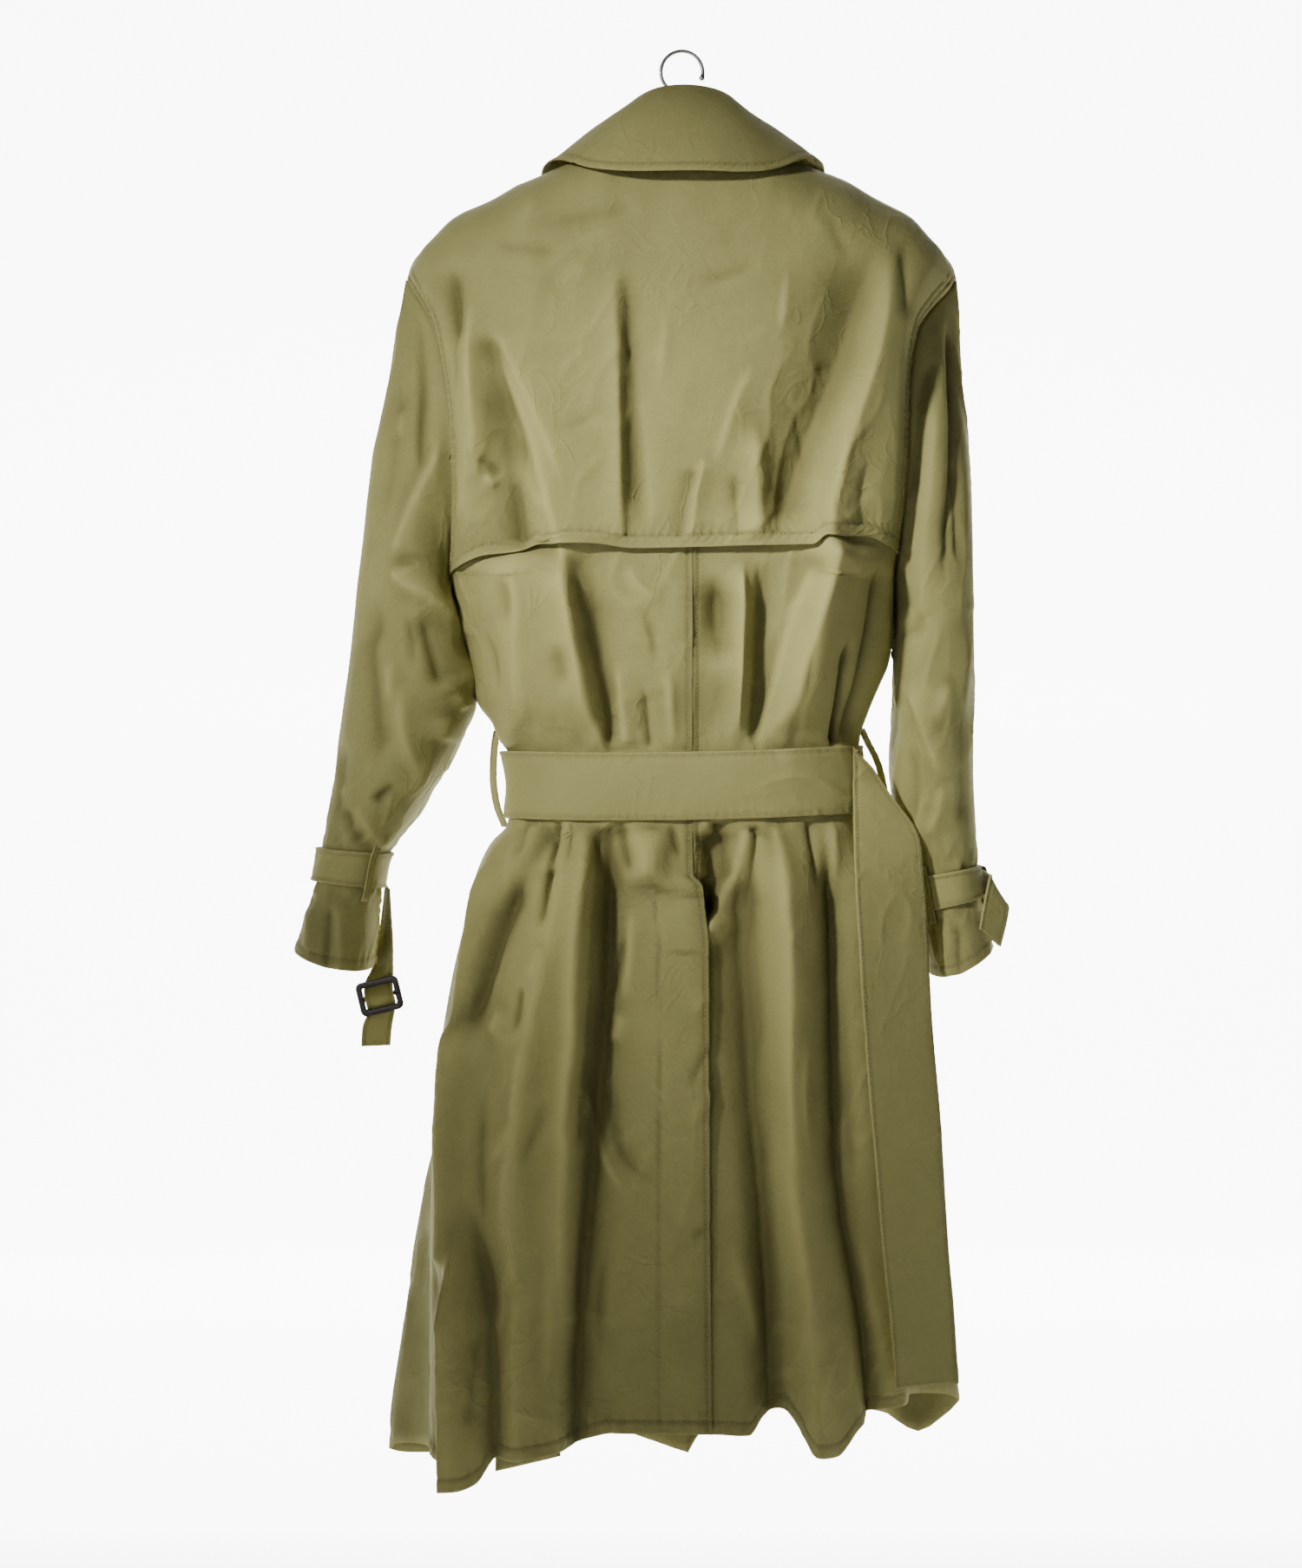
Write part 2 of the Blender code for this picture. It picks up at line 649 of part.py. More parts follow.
def folded(face, base, normals, way, finest=FINEST_FOLD):
    """The body's surface with its folds, which fade at the belt, at the shoulder line and at the seams."""
    x, z = base[..., 0], base[..., 2]
    folds = FOLDS if face == "back" else FRONT_FOLDS
    height = fold_height(x, z, folds, finest)
    at_belt = ramp(np.abs(z - BELT_MIDDLE), BELT_HEIGHT / 2 + 2, BELT_HEIGHT / 2 + 34)
    at_side = ramp(way, 1.0, 0.94)
    return base + normals * (FOLD_STRENGTH * height * at_belt * at_side)[..., None]


def body_levels():
    lower = 1 + np.linspace(0, 1, LOWER_ROWS + 1)[1:]
    return np.concatenate([UPPER_LEVELS, lower])


def body_patch(face, side, ways, levels, finest=FINEST_FOLD):
    """Points and normals of a patch of the body at a grid of ways and levels."""
    ways, levels = np.broadcast_arrays(np.asarray(ways, float), np.asarray(levels, float))
    nudge = 0.004
    base = torso_point(face, side, ways, levels)
    down = torso_point(face, side, ways, np.clip(levels + nudge, 0, 2))
    down = down - torso_point(face, side, ways, np.clip(levels - nudge, 0, 2))
    across = torso_point(face, side, np.clip(ways + nudge, 0, 1), levels)
    across = across - torso_point(face, side, np.clip(ways - nudge, 0, 1), levels)
    out = 1.0 if face == "back" else -1.0
    normals = unit(np.cross(down, across))
    normals = np.where(normals[..., 1:2] * out < 0, -normals, normals)
    sideways = unit(np.stack([side * ways**6, out * (1 - ways**6), 0 * ways], axis=-1))
    near_side = ramp(ways, 0.93, 1.0)[..., None]
    normals = unit(normals * (1 - near_side) + sideways * near_side)
    near_top = ramp(levels, 0.10, 0.0)[..., None]
    normals = unit(normals * (1 - near_top) + np.array([0, 0, 1.0]) * near_top)
    return folded(face, base, normals, ways, finest), normals


# ---------------------------------------------------------------- the coat's panels


def trimmed(points, side):
    """The patch drawn back by half a gap at its borders, so that it clears its neighbours."""
    points = points.copy()
    half = GAP / 2
    points[:, 0, 0] += side * half
    points[:, -1] -= unit(points[:, -1] - points[:, -2]) * half
    points[0] -= unit(points[0] - points[1]) * half
    return points


def add_backs(finish):
    """The two halves of the back. Below the centre seam the left one laps over the right one: the vent."""
    levels = body_levels()[:, None]
    ways = column_ways(BACK_COLUMNS)
    for name, side in (("left", 1), ("right", -1)):
        points, normals = body_patch("back", side, ways, levels)
        column = "overlap" if side > 0 else "underlap"
        edge = along(VENT_EDGES["height"], VENT_EDGES[column], points[..., 2])
        points[..., 0] += (edge - CENTRE_X) * ramp(ways, 0.3, 0.0)
        if side < 0:
            tuck = VENT_STEP * ramp(points[..., 2], -650, -672) * ramp(points[..., 0], -50, -28)
            points[..., 1] -= tuck
        add_wall("back_" + name, trimmed(points, side), normals, finish)


def flap_edge_levels(side, ways):
    """The level at which each column reaches the storm flap's free edge."""
    level = np.full(len(ways), 0.94)
    for _ in range(6):
        place = torso_point("back", side, ways, level)
        target = along(FLAP_EDGE["across"], FLAP_EDGE["height"], place[..., 0])
        level = level + (place[..., 2] - target) / 300
    return level


def add_storm_flap(finish):
    """The flap over the shoulders, made from the back's points. It is free along its lower edge."""
    ways = column_ways(BACK_COLUMNS)[:-FLAP_SHORT]
    rows = [level for level in UPPER_LEVELS[1:] if level < 0.8]
    halves = []
    for side in (1, -1):
        edge = flap_edge_levels(side, ways)
        middle = (rows[-1] + edge) / 2
        levels = np.array([0 * ways + FLAP_TOP, *(0 * ways + level for level in rows), middle, edge])
        points, normals = body_patch("back", side, ways, levels)
        aside = ramp(ways, 0.75, ways[-1])[None, :, None]
        normals = unit(normals * (1 - aside) + np.array([0, 1.0, 0.3]) * aside)
        lift = FLAP_LIFT[0] + (FLAP_LIFT[1] - FLAP_LIFT[0]) * ramp(levels / edge, 0.6, 1.0)
        halves.append((points + normals * lift[..., None], normals))
    points, normals = (np.concatenate([halves[0][k][:, :0:-1], halves[1][k]], axis=1) for k in (0, 1))
    add_wall("storm_flap", points, normals, finish)


def front_patch(side, ways, levels, finest=FINEST_FOLD):
    """Points and normals of a front, whose first column follows its inner edge.

    Past the centre plane it lies on the other half of the body's surface. The right front lies outside the left one.
    """
    name = "left" if side > 0 else "right"
    ways, levels = np.broadcast_arrays(np.asarray(ways, float), np.asarray(levels, float))
    widths = {s: torso_point("front", s, np.ones_like(ways), levels)[..., 0] - CENTRE_X for s in (1, -1)}
    heights = torso_point("front", side, 0.2 * np.ones_like(ways), levels)[..., 2]
    edge = along(FRONT_EDGE["height"], FRONT_EDGE[name], heights) * side - CENTRE_X
    start = edge / widths[side]
    bent = start + (1 - start) * ways
    own, own_normals = body_patch("front", side, np.clip(bent, 0, 1), levels, finest)
    past = np.clip(-bent * np.abs(widths[side] / widths[-side]), 0, 1)
    other, other_normals = body_patch("front", -side, past, levels, finest)
    points = np.where(bent[..., None] >= 0, own, other)
    normals = np.where(bent[..., None] >= 0, own_normals, other_normals)
    if side < 0:
        points[..., 1] -= FRONT_LAP * ramp(np.abs(points[..., 0] - CENTRE_X), 130, 92)
    return points, normals


def add_fronts(finish):
    """The two fronts. Each inner edge is the roll line of its lapel, then the front edge; the right one laps over."""
    for name, side in (("left", 1), ("right", -1)):
        points, normals = front_patch(side, column_ways(FRONT_COLUMNS), body_levels()[:, None])
        add_wall("front_" + name, trimmed(points, side), normals, finish)


def body_cloud(side):
    """Points and normals of one half of the body, closely spaced, as two lists for the back and the front."""
    ways, levels = np.linspace(0, 1, 60), np.linspace(0, 1.5, 150)[:, None]
    back = body_patch("back", side, ways, levels)
    front = front_patch(side, ways, levels)
    return [tuple(grid.reshape(-1, 3) for grid in patch) for patch in (back, front)]


def cleared(points, clouds, rests):
    """The points moved out where they lie less than their rest above the nearest point of the body."""
    flat = points.reshape(-1, 3)
    places = np.concatenate([cloud[0] for cloud in clouds])
    normals = np.concatenate([cloud[1] for cloud in clouds])
    rest = np.concatenate([np.full(len(cloud[0]), value) for cloud, value in zip(clouds, rests)])
    gaps = ((flat[:, None, :] - places[None]) ** 2).sum(-1)
    nearest = gaps.argmin(axis=1)
    height = ((flat - places[nearest]) * normals[nearest]).sum(-1)
    short = np.clip(rest[nearest] - height, 0, None)
    return (flat + normals[nearest] * short[:, None]).reshape(points.shape)


def front_places(side, across, height):
    """The front's surface points and normals at places given as (across, height), found on a fine grid."""
    ways, levels = np.linspace(0, 1, 80), np.linspace(0.02, 1.6, 200)[:, None]
    points, normals = (grid.reshape(-1, 3) for grid in front_patch(side, ways, levels))
    across, height = np.ravel(across), np.ravel(height)
    nearest = np.hypot(points[:, 0] - across[:, None], points[:, 2] - height[:, None]).argmin(axis=1)
    return points[nearest], normals[nearest]


def add_lapels(finish):
    """Each lapel is turned back over its own front, from the roll line to the outer edge."""
    rows, cols = np.linspace(0, 1, LAPEL_ROWS + 1), np.linspace(0, 1, LAPEL_COLUMNS + 1)
    for name, side in (("left", 1), ("right", -1)):
        roll_z = along(LAPEL["way"], LAPEL["roll_height"], rows)
        roll_x = along(FRONT_EDGE["height"], FRONT_EDGE[name], roll_z)
        outer_x = along(LAPEL["way"], LAPEL["outer_x"], rows)
        outer_z = along(LAPEL["way"], LAPEL["outer_z"], rows)
        across = roll_x[:, None] + (outer_x - roll_x)[:, None] * cols + LAPEL_ROLL
        height = roll_z[:, None] + (outer_z - roll_z)[:, None] * cols
        points = front_places(side, side * across, height)[0].reshape(*across.shape, 3)
        points[..., 0], points[..., 2] = side * across, height
        points[..., 1] -= LAPEL_LIFT + LAPEL_BULGE * np.sin(math.pi * cols)
        points = smoothed(points, 2)
        clouds = body_cloud(side)
        points = cleared(points, clouds[1:], [LAPEL_REST])
        normals = grid_normals(points, np.array([0, -1.0, 0]))
        add_wall("lapel_" + name, points, normals, finish)


# ---------------------------------------------------------------- collar


def collar_lines(sections):
    """The collar's fold, free edge and foot, from its left front end round the back to its right front end."""
    way = np.linspace(-1, 1, 2 * sections + 1)
    mirror = -np.sign(way)
    lines = []
    for part in ("fold", "edge", "foot"):
        x, y, z = (along(COLLAR["way"], COLLAR[f"{part}_{axis}"], np.abs(way)) for axis in "xyz")
        lines.append(np.stack([x * mirror + COLLAR_SHIFT[part] * (1 - np.abs(way)), y, z], axis=-1))
    return lines


def add_collar(stand_finish, fall_finish):
    """The stand rises from the neck, and the fall hangs outside it from the fold to its free edge."""
    fold, edge, foot = collar_lines(COLLAR_SECTIONS)
    rows = np.linspace(0, 1, FALL_ROWS + 1)[:, None, None]
    outwards = unit(np.cross(np.gradient(fold, axis=0), edge - fold))
    outwards = np.where(outwards[:, 2:] < 0, -outwards, outwards)
    fall = fold + (edge - fold) * rows + outwards * FALL_BULGE * np.sin(math.pi * rows**0.6)
    clouds = body_cloud(1) + body_cloud(-1)
    for _ in range(2):
        fall = smoothed(cleared(fall, clouds, (COLLAR_REST, FRONT_REST) * 2), 1)
    fall = cleared(fall, clouds, (COLLAR_REST, FRONT_REST) * 2)
    normals = grid_normals(fall, np.broadcast_to(outwards, fall.shape))
    add_wall("collar_fall", fall, normals, fall_finish)
    rows = np.linspace(0, 1, STAND_ROWS + 1)[:, None, None]
    top = fall[0] - normals[0] * (WALL + STAND_INSET) + unit(edge - fold) * 1.0
    foot = foot + np.array([0, 0, STAND_FOOT])
    stand = foot + (top - foot) * rows
    across = unit(np.cross(np.gradient(foot, axis=0), top - foot))
    across = np.where((across * foot * np.array([1.0, 1.0, 0])).sum(-1, keepdims=True) < 0, -across, across)
    add_wall("collar_stand", stand, np.broadcast_to(across, stand.shape), stand_finish)


# ---------------------------------------------------------------- sleeves and their straps


def armhole_ring(side):
    """The armhole from the shoulder tip down the back to the armpit and up the front, with the body's normals."""
    levels = np.array(UPPER_LEVELS)
    back, back_normals = body_patch("back", side, 1.0, levels)
    front, front_normals = body_patch("front", side, 1.0, levels)
    ring = np.concatenate([back, front[-2:0:-1]])
    normals = np.concatenate([back_normals, front_normals[-2:0:-1]])
    return ring, normals


def sleeve_turns(side):
    """The turn of each column about the sleeve, shared out as its armhole point lies round the armhole."""
    ring, _ = armhole_ring(side)
    run = np.linalg.norm(np.diff(np.concatenate([ring, ring[:1]]), axis=0), axis=1)
    part = np.concatenate([[0], np.cumsum(run)[:-1]]) / run.sum()
    return 2 * math.pi * part


def sleeve_point(side, turns, rings):
    """The sleeve's outer surface. rings count the rows of its table, from 1; turns run outer, back, inner, front."""
    table = LEFT_SLEEVE if side > 0 else RIGHT_SLEEVE
    count = np.arange(1, len(table["outer_x"]) + 1)
    turns, rings = np.broadcast_arrays(np.asarray(turns, float), np.asarray(rings, float))
    at = {name: along(count, values, rings) for name, values in table.items()}
    cosine, sine = np.cos(turns), np.sin(turns)
    swing = np.sign(cosine) * np.abs(cosine) ** SLEEVE_SHAPE
    deep = np.sign(sine) * np.abs(sine) ** SLEEVE_SHAPE
    x = (at["outer_x"] + at["inner_x"]) / 2 + (at["outer_x"] - at["inner_x"]) / 2 * swing
    z = (at["outer_z"] + at["inner_z"]) / 2 + (at["outer_z"] - at["inner_z"]) / 2 * swing
    z = z - HEM_SAG * np.clip(sine, 0, 1) * ramp(rings, count[-3], count[-1])
    y = at["half_depth"] * deep - at["forward"]
    return np.stack([side * x, y, z], axis=-1)


def ring_normals(points):
    """Normals of a grid whose columns close into a ring, pointing away from each ring's middle."""
    padded = np.concatenate([points[:, -1:], points, points[:, :1]], axis=1)
    middle = points.mean(axis=1, keepdims=True)
    normals = grid_normals(padded, np.concatenate([padded - middle]))
    return normals[:, 1:-1]


def add_sleeve(name, side, finish):
    """One sleeve, sewn into its armhole and open at the cuff."""
    turns = sleeve_turns(side)
    last = len(LEFT_SLEEVE["outer_x"])
    rings = np.arange(1, last + 1)[:, None]
    lower = sleeve_point(side, turns, rings)
    armhole, body_normals = armhole_ring(side)
    away = unit(lower[0] - armhole)
    points = np.concatenate([[armhole + away * GAP + np.array([side * ARMHOLE_EASE, 0, 0])], lower])
    for _ in range(2):
        points[1:4] = (points[0:3] + 2 * points[1:4] + points[2:5]) / 4
    normals = ring_normals(points)
    levels = np.array(UPPER_LEVELS)
    near_tip = ramp(np.concatenate([levels, levels[-2:0:-1]]), 0.4, 0.1)[:, None]
    normals[0] = unit(body_normals * near_tip + normals[0] * (1 - near_tip))
    add_wall("sleeve_" + name, points, normals, finish, ring=True)


def add_cuff_strap(name, side, finish):
    """The strap round the wrist, held in a loop."""
    turns = np.linspace(0, 2 * math.pi, STRAP_COLUMNS + 1)[:-1]
    first, last = CUFF_STRAP_RINGS
    rings = np.linspace(first, last, 3)[:, None]
    points = sleeve_point(side, turns, rings)
    middle = points.mean(axis=(0, 1))
    out = unit((points - middle) * np.array([1.0, 1.0, 0]))
    stand_off = STRAP_LIFT + WALL + STRAP_SLACK[name] * ramp(np.cos(turns), 0.3, 1.0)
    points = points + out * stand_off[None, :, None]
    add_wall("cuff_strap_" + name, points, out, finish, ring=True)


def add_cuff_loop(name, side, turn, finish):
    """A narrow loop that holds the cuff strap to the sleeve."""
    first, last = CUFF_STRAP_RINGS
    rings = np.linspace(first - 0.5, last + 0.6, 7)[:, None]
    half = LOOP_WIDTH / 2 / CUFF_DEPTH
    turns = np.array([turn - half, turn + half])
    points = sleeve_point(side, turns, rings)
    middle = sleeve_point(side, np.linspace(0, 2 * math.pi, 13)[:-1], rings).mean(axis=1, keepdims=True)
    out = unit((points - middle) * np.array([1.0, 1.0, 0]))
    over = np.sin(np.linspace(0, math.pi, 7)) ** 0.5
    lift = LOOP_WALL + GAP + (STRAP_LIFT + WALL + LOOP_BULGE) * over
    add_wall("cuff_loop_" + name, points + out * lift[:, None, None], out, finish, thickness=LOOP_WALL)


def threaded(slider):
    """Rows of a strap that runs behind a slider's rails and over its bar."""
    centre, across, up = (np.array(part, float) for part in slider)
    across, up = unit(across), unit(up)
    out = np.cross(across, up)
    rows = []
    for height, off, shift in THREADING:
        middle = centre + up * height + out * off
        rows.append((*(middle + across * (shift - THREAD_HALF)), *(middle + across * (shift + THREAD_HALF))))
    return tuple(rows)


def add_strip(name, rows, finish, thickness=WALL):
    """A strip by the ends of its rows, (x, y, z, x, y, z); the outer face of its first row looks back."""
    rows = np.array(rows, float)
    places = np.linspace(0, 1, 3)[None, :, None]
    points = rows[:, None, :3] + (rows[:, None, 3:] - rows[:, None, :3]) * places
    normals = unit(np.cross(np.gradient(points, axis=0), np.gradient(points, axis=1)))
    facing = normals[0, 1] @ np.array([0.1, 1.0, 0])
    normals = normals * np.sign(facing)
    return add_wall(name, points, normals, finish, thickness=thickness)


def rounded_rectangle(width, height, radius, centre=0.0):
    """Corner-rounded outline as (x, y) points, run anticlockwise."""
    points = []
    for turn, (right, upper) in enumerate(((1, 1), (-1, 1), (-1, -1), (1, -1))):
        for step in range(CORNER_STEPS + 1):
            angle = math.pi / 2 * (turn + step / CORNER_STEPS)
            x = right * (width / 2 - radius) + radius * math.cos(angle)
            y = upper * (height / 2 - radius) + radius * math.sin(angle) + centre
            points.append((x, y))
    return points


def add_slider(name, centre, across, up, finish):
    """A four-sided strap slider: a rounded frame with two slots and a middle bar, seen along across x up."""
    data = bpy.data.curves.new(name, "CURVE")
    data.dimensions = "2D"
    data.fill_mode = "BOTH"
    data.extrude = (SLIDER_THICKNESS / 2 - SLIDER_EDGE) * MM
    data.bevel_depth = SLIDER_EDGE * MM
    data.bevel_resolution = 0
    slot_height = (SLIDER_HEIGHT - 2 * SLIDER_RAIL - SLIDER_BAR) / 2
    slot_width = SLIDER_WIDTH - 2 * SLIDER_RAIL
    slot_middle = (SLIDER_BAR + slot_height) / 2
    edge = SLIDER_EDGE
    outlines = [rounded_rectangle(SLIDER_WIDTH - 2 * edge, SLIDER_HEIGHT - 2 * edge, SLIDER_CORNER)]
    for sign in (1, -1):
        slot = (slot_width + 2 * edge, slot_height + 2 * edge, SLOT_CORNER)
        outlines.append(rounded_rectangle(*slot, sign * slot_middle))
    for outline in outlines:
        spline = data.splines.new("POLY")
        spline.points.add(len(outline) - 1)
        spline.use_cyclic_u = True
        for point, (x, y) in zip(spline.points, outline):
            point.co = (x * MM, y * MM, 0, 1)
    data.materials.append(finish)
    piece = bpy.data.objects.new(name, data)
    across, up = Vector(across).normalized(), Vector(up).normalized()
    out = across.cross(up)
    turn = Matrix((across, up, out)).transposed().to_4x4()
    piece.matrix_world = Matrix.Translation(Vector(centre) * MM) @ turn
    COAT.objects.link(piece)
    return piece


# ---------------------------------------------------------------- belt


def at_height(patch, height):
    """Where each column of a patch crosses a height, with the normals there."""
    points, normals = patch
    found = [[], []]
    for column in range(points.shape[1]):
        heights = points[::-1, column, 2]
        for kept, grid in zip(found, (points, normals)):
            kept.append([np.interp(height, heights, grid[::-1, column, axis]) for axis in range(3)])
    return np.array(found[0]), np.array(found[1])


def add_belt(finish):
    """The belt across the back, from the left front round the left side to the right side."""
    levels = body_levels()[:, None]
    ways = column_ways(BACK_COLUMNS)
    front = front_patch(1, column_ways(FRONT_COLUMNS), levels)
    stretches = (
        [grid[:, -3:-1] for grid in front],
        [grid[:, ::-1] for grid in body_patch("back", 1, ways, levels)],
        [grid[:, 1:-1] for grid in body_patch("back", -1, ways, levels)],
    )
    rows, facings = [], []
    for part in (0.5, 0, -0.5):
        crossings = [at_height(patch, BELT_MIDDLE + part * BELT_HEIGHT) for patch in stretches]
        points, normals = (np.concatenate([crossing[k] for crossing in crossings]) for k in (0, 1))
        normals = unit(normals * np.array([1.0, 1.0, 0]))
        points = points + normals * (BELT_CLEARANCE + WALL)
        droop = BELT_DROOP * (1 - (points[:, 0] / 150) ** 2)
        points[:, 2] = BELT_MIDDLE + part * BELT_HEIGHT - droop - BELT_SLOPE * points[:, 0]
        rows.append(points)
        facings.append(normals)
    add_wall("belt_waist", np.array(rows), np.array(facings), finish)


# ---------------------------------------------------------------- fastenings and hanger


def add_button(name, side, across, height, lift, finish):
    """A turned button with a raised rim, lying on the right front."""
    (point,), (normal,) = front_places(side, across, height)
    profile = ((0.001, 2.6), (8.0, 2.6), (9.5, 4.2), (11.6, 4.0), (12.5, 2.6), (11.6, 0.0), (0.001, 0.0))
    data = bpy.data.meshes.new(name)
    data.from_pydata([(x * MM, 0, z * MM) for x, z in profile], [(i, i + 1) for i in range(len(profile) - 1)], [])
    data.materials.append(finish)
    piece = bpy.data.objects.new(name, data)
    screw = piece.modifiers.new("turned", "SCREW")
    screw.steps = screw.render_steps = BUTTON_STEPS
    screw.use_merge_vertices = True
    screw.merge_threshold = 0.00001
    screw.use_smooth_shade = False
    place = (point + normal * lift) * MM
    piece.matrix_world = Matrix.Translation(place) @ Vector(normal).to_track_quat("Z", "Y").to_matrix().to_4x4()
    COAT.objects.link(piece)
    return piece


def add_tube(name, path, radius, finish):
    """A round bar or wire along a path."""
    data = bpy.data.curves.new(name, "CURVE")
    data.dimensions = "3D"
    data.bevel_depth = radius * MM
    data.bevel_resolution = 2
    data.use_fill_caps = True
    spline = data.splines.new("POLY")
    spline.points.add(len(path) - 1)
    for point, (x, y, z) in zip(spline.points, path):
        point.co = (x * MM, y * MM, z * MM, 1)
    data.materials.append(finish)
    piece = bpy.data.objects.new(name, data)
    COAT.objects.link(piece)
    return piece


def add_hanger(bar_finish, wire_finish):
    """A bar under the shoulders and a wire hook whose inside top is the origin."""
    across = np.linspace(-HANGER_REACH, HANGER_REACH, 33)
    from_middle = np.abs(across)
    under = along(SHOULDER_LINE["across"], SHOULDER_LINE["height"], from_middle)
    under = under - WALL - HANGER_RADIUS - HANGER_CLEAR
    neck = HANGER_NECK + (from_middle / NECK_HALF) ** 2 * (under[from_middle.argmin()] - HANGER_NECK - NECK_RISE)
    height = np.where(from_middle < NECK_HALF, neck, under)
    height = np.convolve(np.pad(height, 1, mode="edge"), (0.25, 0.5, 0.25), mode="valid")
    height = np.minimum(height, np.where(from_middle > NECK_HALF - 12, under, HANGER_NECK))
    add_tube("hanger_bar", [(x, 0, z) for x, z in zip(across, height)], HANGER_RADIUS, bar_finish)
    middle = -HOOK_INSIDE
    reach = HOOK_INSIDE + HOOK_WIRE
    foot, top = HANGER_NECK + HANGER_RADIUS + GAP, middle - reach - HOOK_STEM
    stem = [(0, 0, z) for z in np.linspace(foot, top, 3)]
    turns = np.radians(np.linspace(-90, HOOK_TURN, 22))
    bend = [(reach * math.cos(a), 0, middle + reach * math.sin(a)) for a in turns]
    add_tube("hanger_hook", stem + bend, HOOK_WIRE, wire_finish)


# ---------------------------------------------------------------- start


def material(name, colour, roughness, metallic=0.0):
    finish = bpy.data.materials.new(name)
    finish.use_nodes = True
    shader = finish.node_tree.nodes["Principled BSDF"]
    shader.inputs["Base Color"].default_value = (*colour, 1.0)
    shader.inputs["Roughness"].default_value = roughness
    shader.inputs["Metallic"].default_value = metallic
    return finish


for old in list(bpy.data.objects):
    bpy.data.objects.remove(old, do_unlink=True)

COAT = bpy.data.collections.new("trench_coat")
bpy.context.scene.collection.children.link(COAT)
CLOTH = material("olive_gabardine", (0.24, 0.215, 0.115), 0.75)

SHADE = material("olive_gabardine_inner", (0.20, 0.18, 0.10), 0.8)
HORN = material("dark_horn", (0.035, 0.028, 0.022), 0.35)
BEECH = material("beech", (0.40, 0.26, 0.13), 0.5)
WIRE = material("hanger_wire", (0.6, 0.6, 0.6), 0.3, 1.0)

add_backs(CLOTH)
add_storm_flap(CLOTH)
add_fronts(CLOTH)
add_lapels(CLOTH)
add_collar(SHADE, CLOTH)
for NAME, SIDE in (("left", 1), ("right", -1)):
    add_sleeve(NAME, SIDE, CLOTH)
    add_cuff_strap(NAME, SIDE, CLOTH)
    add_cuff_loop(NAME, SIDE, LOOP_TURNS[NAME], CLOTH)
add_strip("cuff_strap_end_left", LEFT_STRAP_ABOVE + threaded(LEFT_SLIDER) + LEFT_STRAP_BELOW, CLOTH)
add_strip("cuff_strap_end_right", RIGHT_STRAP_ABOVE + threaded(RIGHT_SLIDER) + RIGHT_STRAP_BELOW, CLOTH)
add_slider("slider_left", *LEFT_SLIDER, HORN)
add_slider("slider_right", *RIGHT_SLIDER, HORN)
add_belt(CLOTH)
add_strip("belt_end_right", RIGHT_BELT_END, CLOTH)
add_strip("belt_end_left", LEFT_BELT_END, CLOTH)
for NAME, LINE in (("left", LEFT_BELT_LOOP), ("right", RIGHT_BELT_LOOP)):
    SPAN = BELT_LOOP_DEPTH / 2
    add_strip("belt_loop_" + NAME, [(x, -SPAN, z, x, SPAN, z) for x, z in LINE], CLOTH, LOOP_WALL)
for NUMBER, (ACROSS, HEIGHT, LIFT) in enumerate(BUTTONS, 1):
    add_button(f"button_{NUMBER}", -1, ACROSS, HEIGHT, LIFT, HORN)
add_hanger(BEECH, WIRE)
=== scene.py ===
"""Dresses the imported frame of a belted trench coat: cloth shells, stitching, sliders, buttons and hanger.

Sizes are in millimetres in the frame of the part: +Z up, +Y out of the coat's back, +X to the wearer's left,
with the origin inside the top of the hook. MM turns them into metres where a mesh is made.
"""

import logging
import math
from collections.abc import Iterable, Sequence
from dataclasses import dataclass, field
from enum import Enum

import bmesh
import bpy
import numpy as np
from mathutils import Matrix, Vector


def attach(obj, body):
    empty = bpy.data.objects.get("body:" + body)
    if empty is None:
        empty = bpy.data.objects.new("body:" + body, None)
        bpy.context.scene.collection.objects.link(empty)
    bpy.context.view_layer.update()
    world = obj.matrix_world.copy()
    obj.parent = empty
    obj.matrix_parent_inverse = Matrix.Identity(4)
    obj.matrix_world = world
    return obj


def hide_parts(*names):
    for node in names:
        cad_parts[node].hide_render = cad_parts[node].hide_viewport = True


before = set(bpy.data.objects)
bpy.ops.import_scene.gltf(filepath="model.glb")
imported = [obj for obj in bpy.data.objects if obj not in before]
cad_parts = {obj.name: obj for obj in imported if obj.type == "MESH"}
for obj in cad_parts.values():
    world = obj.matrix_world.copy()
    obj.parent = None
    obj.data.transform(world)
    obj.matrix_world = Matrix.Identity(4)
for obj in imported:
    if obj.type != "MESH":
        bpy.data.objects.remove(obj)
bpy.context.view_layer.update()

logging.basicConfig(level=logging.INFO, format="%(name)s: %(message)s")
LOG = logging.getLogger("trench_coat")

MM = 0.001
BODY = "root"
CENTRE_X = -7.0
ARMPIT = -443.0
BELT_HEIGHT = 55.0
BELT_MIDDLE = -612.0
FOLD_STRENGTH = 1.6
HALF_BACK = 225.0  # half the back's width along the cloth
UPPER_ROWS, LOWER_ROWS = 0.33, 0.67  # shares of a panel's rows above and below the armpits
SEAM_WIDTH = 1.1  # how far a stitched seam darkens the cloth beside it
CORNER_ANGLE = math.radians(60)  # edges sharper than this are corners of a hard piece

Table = dict[str, np.ndarray]
Grid = np.ndarray
Triple = tuple[float, float, float]
Rows = tuple[tuple[float, ...], ...]
Tree = bpy.types.NodeTree
Socket = bpy.types.NodeSocket
Finish = bpy.types.Material
Stroke = tuple[float, float, float, float, float, tuple[tuple[float, float], ...]]


def columns(names: str, rows: Sequence[Sequence[float]]) -> Table:
    """One array for each named column of a table.

    Args:
        names: the columns' names, with spaces between them.
        rows: the table's rows.

    Returns:
        The arrays by name.
    """
    return dict(zip(names.split(), np.array(rows, float).T))


